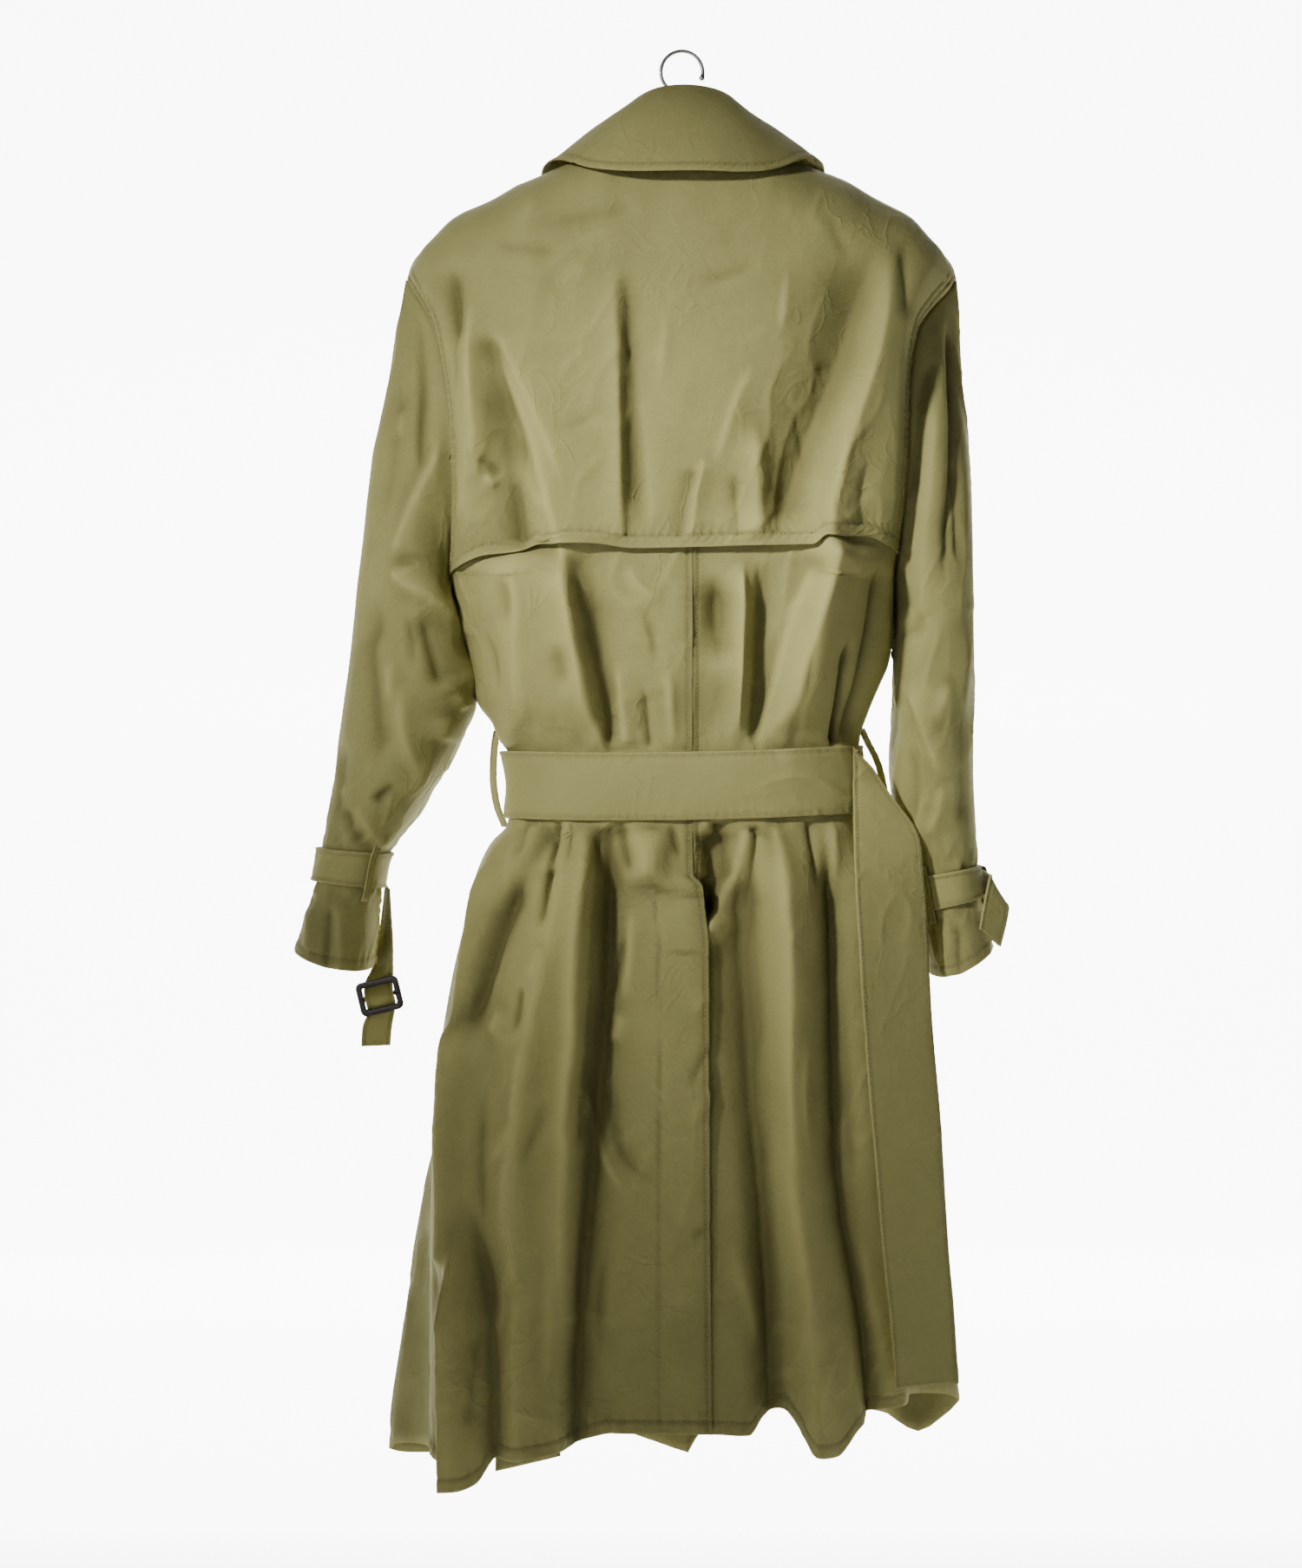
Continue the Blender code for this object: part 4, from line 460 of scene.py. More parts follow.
# The creases of the left sleeve's back.
LEFT_SLEEVE_CREASES = (
    (-4.0, 4, 7, 0.2, 0.2, ((226, -202), (219, -228), (215, -264), (213, -284), (214, -321), (213, -365))),
    (5.0, 3.5, 18, 0.25, 0.15,
     ((199, -322), (201, -341), (210, -361), (219, -379), (227, -400), (234, -420), (236, -431))),
    (6.0, 4, 16, 0.1, 0.2,
     ((236, -433), (232, -446), (210, -461), (198, -473), (190, -485), (180, -508), (178, -524),
      (170, -545))),
    (-6.0, 9, 11, 0.3, 0.2, ((215, -469), (205, -501), (194, -537))),
    (2.4, 4, 5, 0.3, 0.3, ((187, -539), (181, -553))),
    (3.0, 9, 9, 0.3, 0.3, ((196, -557), (199, -580))),
    (-5.0, 8, 10, 0.3, 0.2, ((252, -448), (252, -479), (259, -502), (254, -549), (249, -580), (259, -603))),
    (3.2, 6, 6, 0.3, 0.3, ((238, -510), (240, -549))),
    (3.6, 6, 8, 0.3, 0.3, ((227, -527), (231, -552), (226, -587), (219, -606), (226, -626))),
    (-4.0, 6, 6, 0.3, 0.3, ((234, -615), (246, -623), (254, -631))),
    (-3.4, 4, 6, 0.2, 0.2, ((283, -632), (277, -642), (272, -654), (264, -665), (255, -674))),
    (3.0, 5, 6, 0.3, 0.2, ((268, -630), (262, -644), (254, -658), (244, -669))),
    (3.0, 16, 13, 0.3, 0.3, ((248, -268), (259, -397), (277, -526))),
    (-2.6, 8, 8, 0.3, 0.3, ((232, -268), (239, -340), (248, -411))),
    (2.4, 6, 5, 0.4, 0.4, ((232, -301), (233, -315), (231, -331))),
    (-2.6, 5, 6, 0.3, 0.3, ((279, -576), (285, -612), (288, -648))),
    (2.2, 5, 7, 0.4, 0.3, ((205, -583), (216, -608), (232, -630))),
    (-2.2, 4, 5, 0.4, 0.4, ((226, -469), (221, -497), (219, -522))),
    (-3.0, 4, 4, 0.2, 0, ((293, -712), (293, -764))),
    (2.2, 4, 8, 0.2, 0, ((285, -712), (282, -765))),
    (1.8, 5, 6, 0.3, 0.1, ((312, -712), (309, -754))),
)
# The creases of the right sleeve's back.
RIGHT_SLEEVE_CREASES = (
    (-5.5, 4, 9, 0.2, 0.2,
     ((-220, -204), (-223, -233), (-225, -255), (-225, -284), (-224, -310), (-222, -347), (-216, -401),
      (-213, -456))),
    (-3.0, 4, 5, 0.2, 0.2, ((-226, -347), (-227, -397), (-227, -438))),
    (-4.6, 5, 9, 0.2, 0.2, ((-218, -255), (-204, -274), (-195, -310), (-190, -347), (-184, -392))),
    (4.2, 9, 10, 0.2, 0.3, ((-209, -282), (-205, -354), (-200, -440), (-203, -497))),
    (4.0, 3.5, 13, 0.2, 0.2,
     ((-180, -529), (-190, -541), (-194, -552), (-200, -574), (-204, -585), (-215, -612))),
    (3.0, 5, 6, 0.3, 0.3, ((-215, -612), (-211, -637), (-202, -661))),
    (3.0, 6, 8, 0.3, 0.3, ((-220, -529), (-213, -547), (-206, -565))),
    (2.6, 8, 8, 0.3, 0.2, ((-233, -469), (-230, -576), (-225, -655))),
    (-2.4, 5, 7, 0.4, 0.4, ((-216, -469), (-196, -480), (-182, -497))),
    (-3.0, 5, 6, 0.3, 0.2, ((-230, -540), (-229, -597), (-232, -655))),
    (2.2, 4, 6, 0.4, 0.3, ((-202, -612), (-196, -640), (-195, -669))),
    (-2.6, 5, 7, 0.3, 0.3, ((-186, -576), (-190, -612), (-189, -655))),
    (-2.6, 4, 5, 0.2, 0, ((-229, -728), (-227, -768))),
    (2.0, 5, 7, 0.2, 0, ((-220, -726), (-219, -769))),
)
# Fine creases of the fronts.
FRONT_CREASES = (
    (-2.6, 5, 9, 0.3, 0.3, ((118, -470), (104, -540), (98, -585))),
    (2.8, 4, 10, 0.3, 0.2, ((60, -450), (52, -530), (54, -590))),
    (-2.4, 4, 8, 0.2, 0.3, ((70, -650), (84, -720), (88, -800))),
    (2.6, 9, 5, 0.2, 0.1, ((34, -650), (38, -800), (46, -1000), (48, -1200))),
    (-2.6, 6, 6, 0.2, 0.2, ((126, -660), (132, -760), (150, -860))),
    (-2.4, 5, 9, 0.3, 0.3, ((-110, -470), (-100, -540), (-94, -585))),
    (2.4, 4, 9, 0.2, 0.3, ((-60, -650), (-76, -720), (-80, -800))),
    (2.6, 9, 5, 0.2, 0.1, ((-40, -650), (-46, -800), (-52, -1000), (-56, -1200))),
    (-2.4, 6, 6, 0.2, 0.2, ((-130, -660), (-136, -760), (-152, -860))),
)

BACK_CREASES = YOKE_CREASES + WAIST_CREASES + SKIRT_CREASES


class Face(Enum):
    """The two halves of the coat's body."""

    BACK = "back"
    FRONT = "front"


class Side(Enum):
    """The wearer's left and right, as the sign of x."""

    LEFT = 1
    RIGHT = -1

    @property
    def word(self) -> str:
        """The side's name in lower case."""
        return self.name.lower()


class Edge(Enum):
    """The borders of a grid of cloth points."""

    TOP = "first row"
    BOTTOM = "last row"
    FIRST = "first column"
    LAST = "last column"


# ---------------------------------------------------------------- curves and grids


def along(keys: Grid, values: Grid, at: Grid) -> Grid:
    """Reads a smooth curve through (keys, values) that never overshoots them.

    Args:
        keys: where the curve is given.
        values: its values there.
        at: where it is read.

    Returns:
        The curve's values at the places given.
    """
    order = np.argsort(keys)
    keys, values = np.asarray(keys, float)[order], np.asarray(values, float)[order]
    step = np.diff(keys)
    slope = np.diff(values) / step
    lean = np.empty(len(keys))
    lean[0], lean[-1] = slope[0], slope[-1]
    before, after = slope[:-1], slope[1:]
    product = before * after
    lean[1:-1] = np.where(product > 0, 2 * product / np.where(product > 0, before + after, 1), 0)
    at = np.clip(at, keys[0], keys[-1])
    cell = np.clip(np.searchsorted(keys, at) - 1, 0, len(step) - 1)
    t = (at - keys[cell]) / step[cell]
    rise = values[cell] * (2 * t**3 - 3 * t**2 + 1) + values[cell + 1] * (3 * t**2 - 2 * t**3)
    bend = lean[cell] * (t**3 - 2 * t**2 + t) + lean[cell + 1] * (t**3 - t**2)
    return rise + bend * step[cell]


def ramp(value: Grid, start: float, end: float) -> Grid:
    """0 before start, 1 after end and smooth between them.

    Args:
        value: the numbers to map.
        start: where the ramp leaves 0; it may be the larger one.
        end: where the ramp reaches 1.

    Returns:
        The mapped numbers.
    """
    t = np.clip((np.asarray(value, float) - start) / (end - start), 0, 1)
    return t * t * (3 - 2 * t)


def bell(away: Grid, width: float) -> Grid:
    """1 where the distance is 0, falling smoothly to about a third at the width."""
    return np.exp(-((away / width) ** 2))


def unit(vectors: Grid) -> Grid:
    """The vectors at length 1."""
    return vectors / np.maximum(np.linalg.norm(vectors, axis=-1, keepdims=True), 1e-9)


def run_along(line: Grid) -> Grid:
    """How far along its line each point lies."""
    return np.concatenate([[0], np.cumsum(np.linalg.norm(np.diff(line, axis=0), axis=1))])


def read_line(at: Grid, run: Grid, line: Grid) -> Grid:
    """The places on a line at the runs given."""
    return np.stack([np.interp(at, run, line[:, axis]) for axis in range(line.shape[1])], axis=-1)


def grid_normals(points: Grid, outwards: Grid, ring: bool = False) -> Grid:
    """Normals of a grid of points.

    Args:
        points: the grid, rows by columns.
        outwards: vectors on the side that the normals turn to.
        ring: whether the last column repeats the first.

    Returns:
        One normal for each point.
    """
    if ring:
        wrapped = np.concatenate([points[:, -2:-1], points, points[:, 1:2]], axis=1)
        across = np.gradient(wrapped, axis=1)[:, 1:-1]
    else:
        across = np.gradient(points, axis=1)
    normals = unit(np.cross(np.gradient(points, axis=0), across))
    facing = np.sum(normals * outwards, axis=-1, keepdims=True)
    return np.where(facing < 0, -normals, normals)


def smoothed(grid: Grid, times: int) -> Grid:
    """The grid with its inner rows and columns averaged with their neighbours.

    Args:
        grid: the points, rows by columns.
        times: how often they are averaged.

    Returns:
        The smoother grid, whose border stays.
    """
    grid = grid.copy()
    for _ in range(times):
        grid[1:-1] = (grid[:-2] + 2 * grid[1:-1] + grid[2:]) / 4
        grid[:, 1:-1] = (grid[:, :-2] + 2 * grid[:, 1:-1] + grid[:, 2:]) / 4
    return grid


def refined_rows(grid: Grid, count: int) -> Grid:
    """Reads a grid at more rows on a smooth curve through its own.

    Args:
        grid: the points, rows by columns.
        count: how many rows the result has.

    Returns:
        The finer grid.
    """
    last = len(grid) - 1
    at = np.linspace(0, last, count)
    cell = np.minimum(at.astype(int), last - 1)
    t = (at - cell).reshape(-1, *(1,) * (grid.ndim - 1))
    lean = np.gradient(grid, axis=0)
    rise = grid[cell] * (2 * t**3 - 3 * t**2 + 1) + grid[cell + 1] * (3 * t**2 - 2 * t**3)
    return rise + lean[cell] * (t**3 - 2 * t**2 + t) + lean[cell + 1] * (t**3 - t**2)


def refined(grid: Grid, rows: int, cols: int) -> Grid:
    """The grid read smoothly at rows by cols places."""
    finer = refined_rows(grid, rows)
    return refined_rows(finer.swapaxes(0, 1), cols).swapaxes(0, 1)


def soft_noise(places: Grid, size: float, seed: int) -> Grid:
    """Smooth noise from -1 to 1.

    Args:
        places: coordinates, along the last axis.
        size: about how wide its lumps are.
        seed: picks one of many patterns.

    Returns:
        The noise at each place.
    """
    table = np.random.default_rng(seed).uniform(-1, 1, 4096)
    at = np.asarray(places, float) / size + 500.0
    cell = np.floor(at).astype(int)
    part = at - cell
    part = part * part * (3 - 2 * part)
    primes = np.array([73856093, 19349663, 83492791])[: at.shape[-1]]
    total = np.zeros(at.shape[:-1])
    for corner in np.ndindex(*(2,) * at.shape[-1]):
        mixed = ((cell + np.array(corner)) * primes).sum(-1)
        weight = np.prod(np.where(np.array(corner), part, 1 - part), axis=-1)
        total += weight * table[(mixed ^ (mixed >> 9)) % 4096]
    return total


def graded(count: int, start: float = 0.0, end: float = 0.0, reach: float = 0.04) -> Grid:
    """Shares from 0 to 1, set closer together near either end.

    Args:
        count: how many shares there are.
        start: how much closer they stand at the start.
        end: how much closer they stand at the end.
        reach: how far that fades.

    Returns:
        The shares, in order.
    """
    t = np.linspace(0, 1, 2000)
    dense = 1 + start * bell(t, reach) + end * bell(1 - t, reach)
    run = np.concatenate([[0], np.cumsum((dense[1:] + dense[:-1]) / 2)])
    return np.interp(np.linspace(0, run[-1], count), run, t)


def edge_distance(points: Grid, edge: Edge) -> Grid:
    """How far each point of a grid lies from one of its borders, along the cloth."""
    axis = 0 if edge in (Edge.TOP, Edge.BOTTOM) else 1
    steps = np.linalg.norm(np.diff(points, axis=axis), axis=-1)
    run = np.concatenate([np.zeros_like(steps.take([0], axis=axis)), np.cumsum(steps, axis=axis)], axis=axis)
    if edge in (Edge.TOP, Edge.FIRST):
        return run
    return run.take([-1], axis=axis) - run


def edge_run(points: Grid, edge: Edge) -> Grid:
    """How far each point of a grid lies along the run of one of its borders."""
    return edge_distance(points, Edge.FIRST if edge in (Edge.TOP, Edge.BOTTOM) else Edge.TOP)


def hem_relief(points: Grid, edge: Edge, hem: float, seed: int, pucker: float = 0.45,
               pitch: float = 8.0) -> Grid:
    """The relief of a turned and stitched edge: a thicker band, a groove at its stitches and puckers.

    Args:
        points: the grid of the cloth.
        edge: the border that is turned.
        hem: how far in the stitches run.
        seed: picks the puckers' pattern.
        pucker: the puckers' height.
        pitch: how far apart they are.

    Returns:
        How far each point moves out.
    """
    away, run = edge_distance(points, edge), edge_run(points, edge)
    band = 0.5 * ramp(away, hem + 1.5, hem - 0.5)
    groove = -0.7 * bell(away - hem, 1.6)
    line = run[..., None]
    phase = 2 * math.pi * run / pitch + 2.4 * soft_noise(line, 3 * pitch, seed)
    uneven = 0.55 + 0.45 * soft_noise(line, 5 * pitch, seed + 1)
    return band + groove + pucker * np.sin(phase) * uneven * bell(away - hem, 0.8 * pitch)


def crumple(points: Grid, seed: int, depth: float = 1.0) -> Grid:
    """The uneven crumpling that worn cloth keeps, longer up and down than across.

    Args:
        points: the grid of the cloth.
        seed: picks its pattern.
        depth: 1 for its usual depth.

    Returns:
        The height at each point.
    """
    wide = soft_noise(points * np.array([1.0, 1.0, 0.5]), 48.0, seed)
    middle = soft_noise(points * np.array([1.0, 1.0, 0.62]), 21.0, seed + 1)
    slanted = points + points[..., 2:] * np.array([0.4, 0, 0])
    crease = 1 - 2 * np.abs(soft_noise(slanted * np.array([1.0, 1.0, 0.5]), 36.0, seed + 2))
    fine = 1 - 2 * np.abs(soft_noise(points + points[..., :1] * np.array([0, 0, 0.5]), 19.0, seed + 4))
    where = ramp(soft_noise(points, 90.0, seed + 3), -0.4, 0.5)
    sharp = 1.9 * np.clip(crease, 0, 1) ** 6 + 0.8 * np.clip(fine, 0, 1) ** 5
    return depth * (1.7 * wide + 0.8 * middle + sharp * where)


def stroke_height(across: Grid, height: Grid, strokes: Iterable[Stroke], finest: float,
                  power: float = 2.0) -> Grid:
    """How far a set of fold strokes moves the cloth out.

    Args:
        across: the x of each point.
        height: its z.
        strokes: rows of height, flank towards the wearer's left and right, fade in, fade out and path.
        finest: the sharpest flank allowed.
        power: 2 for round crests, less for sharper ones.

    Returns:
        The sum of the strokes' heights.
    """
    place = np.stack([across, height], axis=-1)
    total = np.zeros(np.shape(across))
    for depth, left, right, fade_in, fade_out, path in strokes:
        path = np.array(path, float)
        steps = np.linspace(path[0, 1], path[-1, 1], 13)
        line = np.stack([along(path[:, 1], path[:, 0], steps), steps], axis=-1)
        reach = 3 * max(left, right, finest)
        low, high = line.min(axis=0) - reach, line.max(axis=0) + reach
        inside = ((place >= low) & (place <= high)).all(-1)
        if not inside.any():
            continue
        start, run = line[:-1], np.diff(line, axis=0)
        offset = place[inside][:, None, :] - start
        t = np.clip((offset * run).sum(-1) / (run * run).sum(-1), 0, 1)
        gap = np.linalg.norm(offset - t[..., None] * run, axis=-1)
        near = gap.argmin(-1)[..., None]
        distance = np.take_along_axis(gap, near, -1)[..., 0]
        way = (near[..., 0] + np.take_along_axis(t, near, -1)[..., 0]) / len(run)
        turn = offset[..., 0] * run[:, 1] - offset[..., 1] * run[:, 0]
        leftwards = np.take_along_axis(turn, near, -1)[..., 0] < 0
        width = np.where(leftwards, max(left, finest), max(right, finest))
        fade = ramp(way, 0, max(fade_in, 0.01))
        if fade_out:
            fade = fade * ramp(way, 1, 1 - max(fade_out, 0.01))
        total[inside] += depth * np.exp(-((distance / width) ** power)) * fade
    return total


# ---------------------------------------------------------------- meshes


def add_object(name: str, data: bpy.types.ID) -> bpy.types.Object:
    """Adds an object that holds a mesh, a lamp or a camera."""
    made = bpy.data.objects.new(name, data)
    bpy.context.scene.collection.objects.link(made)
    return made


def fresh_corners(made: Iterable[object]) -> list[bmesh.types.BMVert]:
    """The vertices among what an operator made."""
    return [item for item in made if isinstance(item, bmesh.types.BMVert)]


@dataclass
class Shell:
    """A piece of cloth by its outer grid of points, kept so that seams can follow it.

    The relief is how far each point stands proud, which also tints the cloth a little: painted shade in
    troughs and painted highlight on ridges. Worn edges have paled with use, and seams hold how near each
    point is to a stitched row.
    """

    name: str
    points: Grid
    normals: Grid
    relief: Grid | None = None
    worn_edges: tuple[Edge, ...] = ()
    seams: list[Grid] = field(default_factory=list)
    thickness: float = 1.1
    ring: bool = False
    worn_reach: float = 2.2

    def raised(self, height: Grid, outwards: Grid | None = None) -> "Shell":
        """Moves the points out along their normals, which are then worked out again.

        Args:
            height: how far each point moves.
            outwards: vectors on the outer side, if the old normals don't tell it.

        Returns:
            The shell itself.
        """
        self.points = self.points + self.normals * height[..., None]
        side = self.normals if outwards is None else outwards
        self.normals = grid_normals(self.points, side, self.ring)
        self.relief = height if self.relief is None else self.relief + height
        return self

    def hemmed(self, edge: Edge, hem: float, seed: int, **sizes: float) -> "Shell":
        """Gives one border the relief of a stitched hem and pales it."""
        self.worn_edges = (*self.worn_edges, edge)
        self.seams.append(bell(edge_distance(self.points, edge) - hem, SEAM_WIDTH))
        return self.raised(hem_relief(self.points, edge, hem, seed, **sizes))

    def closed(self) -> "Shell":
        """Makes a ring's last column meet its first."""
        self.points[:, -1], self.normals[:, -1] = self.points[:, 0], self.normals[:, 0]
        return self

    def tucked(self, offset: Grid) -> "Shell":
        """Adds a first row a little way from the present one, as cloth turned under a seam."""
        self.points = np.concatenate([self.points[:1] + offset, self.points])
        self.normals = np.concatenate([self.normals[:1], self.normals])
        self.relief = np.concatenate([self.relief[:1], self.relief])
        self.seams = [np.concatenate([seam[:1], seam]) for seam in self.seams]
        return self

    def line(self, edge: Edge, inset: float) -> tuple[Grid, Grid]:
        """The line on the cloth that runs a given distance inside a border, with the normals there."""
        away = edge_distance(self.points, edge)
        points, normals = self.points, self.normals
        if edge in (Edge.TOP, Edge.BOTTOM):
            away, points, normals = away.T, points.swapaxes(0, 1), normals.swapaxes(0, 1)
        if edge in (Edge.BOTTOM, Edge.LAST):
            away, points, normals = away[:, ::-1], points[:, ::-1], normals[:, ::-1]
        found = [[], []]
        for row in range(len(away)):
            for kept, grid in zip(found, (points, normals)):
                kept.append([np.interp(inset, away[row], grid[row, :, axis]) for axis in range(3)])
        return np.array(found[0]), unit(np.array(found[1]))

    def trace(self, path: Sequence[tuple[float, float]], step: float = 2.0) -> tuple[Grid, Grid]:
        """The line on the cloth under a path of (x, z) corners, with the normals there."""
        corners = np.array(path, float)
        run = run_along(corners)
        places = read_line(np.linspace(0, run[-1], max(int(run[-1] / step), 2)), run, corners)
        flat, normals = self.points.reshape(-1, 3), self.normals.reshape(-1, 3)
        gaps = np.hypot(flat[:, 0] - places[:, :1], flat[:, 2] - places[:, 1:])
        near = gaps.argmin(axis=1)
        base, up = flat[near], normals[near]
        rise = (places[:, 0] - base[:, 0]) * up[:, 0] + (places[:, 1] - base[:, 2]) * up[:, 2]
        deep = base[:, 1] - rise / up[:, 1]
        return np.stack([places[:, 0], deep, places[:, 1]], axis=-1), up

    def cut(self) -> Triple:
        """The width, length and area of the flat cloth, in metres and square metres."""
        wide = np.linalg.norm(np.diff(self.points, axis=1), axis=-1).sum(axis=1).max() * MM
        long = np.linalg.norm(np.diff(self.points, axis=0), axis=-1).sum(axis=0).max() * MM
        down, over = np.diff(self.points, axis=0)[:, :-1], np.diff(self.points, axis=1)[:-1]
        area = np.linalg.norm(np.cross(down, over), axis=-1).sum() * MM * MM
        wide, long = round(float(wide), 3), round(float(long), 3)
        return wide, long, round(min(float(area), 0.999 * wide * long), 6)

    def build(self, finish: Finish) -> bpy.types.Object:
        """Makes the piece: a grid laid on the points, with a wall turned inwards from it.

        Args:
            finish: the cloth's material.

        Returns:
            The object, whose place is in its mesh.
        """
        rows, cols = self.points.shape[:2]
        mesh = bpy.data.meshes.new(f"{self.name}_dressed")
        build = bmesh.new()
        build.loops.layers.uv.new("cloth")
        bmesh.ops.create_grid(build, x_segments=cols - 1, y_segments=rows - 1, size=0.5, calc_uvs=True)
        build.to_mesh(mesh)
        build.free()
        count = len(mesh.vertices)
        flat = np.empty(count * 3)
        mesh.vertices.foreach_get("co", flat)
        flat = flat.reshape(-1, 3)
        col = np.rint((flat[:, 0] + 0.5) * (cols - 1)).astype(int)
        row = np.rint((0.5 - flat[:, 1]) * (rows - 1)).astype(int)
        mesh.vertices.foreach_set("co", (self.points[row, col] * MM).ravel())
        wide, long, _ = self.cut()
        uv = np.empty(len(mesh.loops) * 2)
        mesh.uv_layers["cloth"].data.foreach_get("uv", uv)
        mesh.uv_layers["cloth"].data.foreach_set("uv", (uv.reshape(-1, 2) * np.array([wide, long])).ravel())
        worn = np.zeros((rows, cols))
        for edge in self.worn_edges:
            worn = np.maximum(worn, np.exp(-edge_distance(self.points, edge) / self.worn_reach))
        relief = np.zeros((rows, cols)) if self.relief is None else self.relief
        sewn = np.max([np.zeros((rows, cols)), *self.seams], axis=0)
        # how far each point sinks below its smoothed neighbourhood, from which the material paints shade into
        # creases and highlight onto crests
        hollow = smoothed(relief, 14) - relief
        for name, values in (("relief", relief / 10), ("worn", worn), ("seam", sewn), ("hollow", hollow)):
            kept = mesh.attributes.new(name, "FLOAT", "POINT").data
            kept.foreach_set("value", values[row, col].astype(np.float32))
        build = bmesh.new()
        build.from_mesh(mesh)
        if self.ring:
            bmesh.ops.remove_doubles(build, verts=build.verts, dist=1e-6)
        build.faces.ensure_lookup_table()
        middle = build.faces[len(build.faces) // 2]
        spot = np.array(middle.calc_center_median()) / MM
        near = np.linalg.norm(self.points.reshape(-1, 3) - spot, axis=1).argmin()
        if np.dot(middle.normal, self.normals.reshape(-1, 3)[near]) < 0:
            bmesh.ops.reverse_faces(build, faces=build.faces)
        build.to_mesh(mesh)
        build.free()
        mesh.shade_smooth()
        mesh.materials.append(finish)
        piece = add_object(f"{self.name}_dressed", mesh)
        wall = piece.modifiers.new("wall", "SOLIDIFY")
        wall.thickness = self.thickness * MM
        wall.offset = -1
        wall.use_even_offset = False
        return piece


@dataclass
class Stitching:
    """Rows of thread laid on cloth, kept until they are made as one piece."""

    name: str
    pitch: float = 3.8
    length: float = 2.8
    width: float = 0.8
    height: float = 0.35
    rows: list[tuple[Grid, Grid]] = field(default_factory=list)

    def sew(self, line: tuple[Grid, Grid], start: float = 0.0, end: float = 1.0) -> "Stitching":
        """Adds the stretch of a line between two shares of its length."""
        points, normals = line
        run = run_along(points)
        at = np.arange(start * run[-1] + self.pitch / 2, end * run[-1], self.pitch)
        self.rows.append((read_line(at, run, points), unit(read_line(at, run, normals))))
        return self

    def build(self, finish: Finish) -> bpy.types.Object:
        """Makes every stitch as a small flattened bead, sunk by half in the cloth.

        Args:
            finish: the thread's material.

        Returns:
            The object that holds all the rows.
        """
        spots, turns = [], []
        for points, normals in self.rows:
            if len(points) < 2:
                continue
            runs = unit(np.gradient(points, axis=0))
            sides = unit(np.cross(normals, runs))
            spots.append(points)
            axes = [runs * self.length / 2, sides * self.width / 2, normals * self.height]
            turns.append(np.stack(axes, axis=2))
        spots, turns = np.concatenate(spots), np.concatenate(turns)
        mesh = bpy.data.meshes.new(self.name)
        build = bmesh.new()
        bmesh.ops.create_uvsphere(build, u_segments=6, v_segments=4, radius=1.0)
        build.to_mesh(mesh)
        build.clear()
        build.from_mesh(mesh)  # packs the bead's corners, so that the copies keep their order
        corners = len(build.verts)
        while len(build.verts) < corners * len(spots):
            bmesh.ops.duplicate(build, geom=build.verts[:] + build.edges[:] + build.faces[:])
        build.verts.ensure_lookup_table()
        bmesh.ops.delete(build, geom=build.verts[corners * len(spots) :], context="VERTS")
        bmesh.ops.recalc_face_normals(build, faces=build.faces)
        build.to_mesh(mesh)
        build.free()
        bead = np.empty(len(mesh.vertices) * 3)
        mesh.vertices.foreach_get("co", bead)
        placed = spots[:, None] + np.einsum("nij,nkj->nki", turns, bead.reshape(len(spots), corners, 3))
        mesh.vertices.foreach_set("co", (placed * MM).ravel())
        mesh.shade_smooth()
        mesh.materials.append(finish)
        return add_object(self.name, mesh)


# ---------------------------------------------------------------- the coat's form


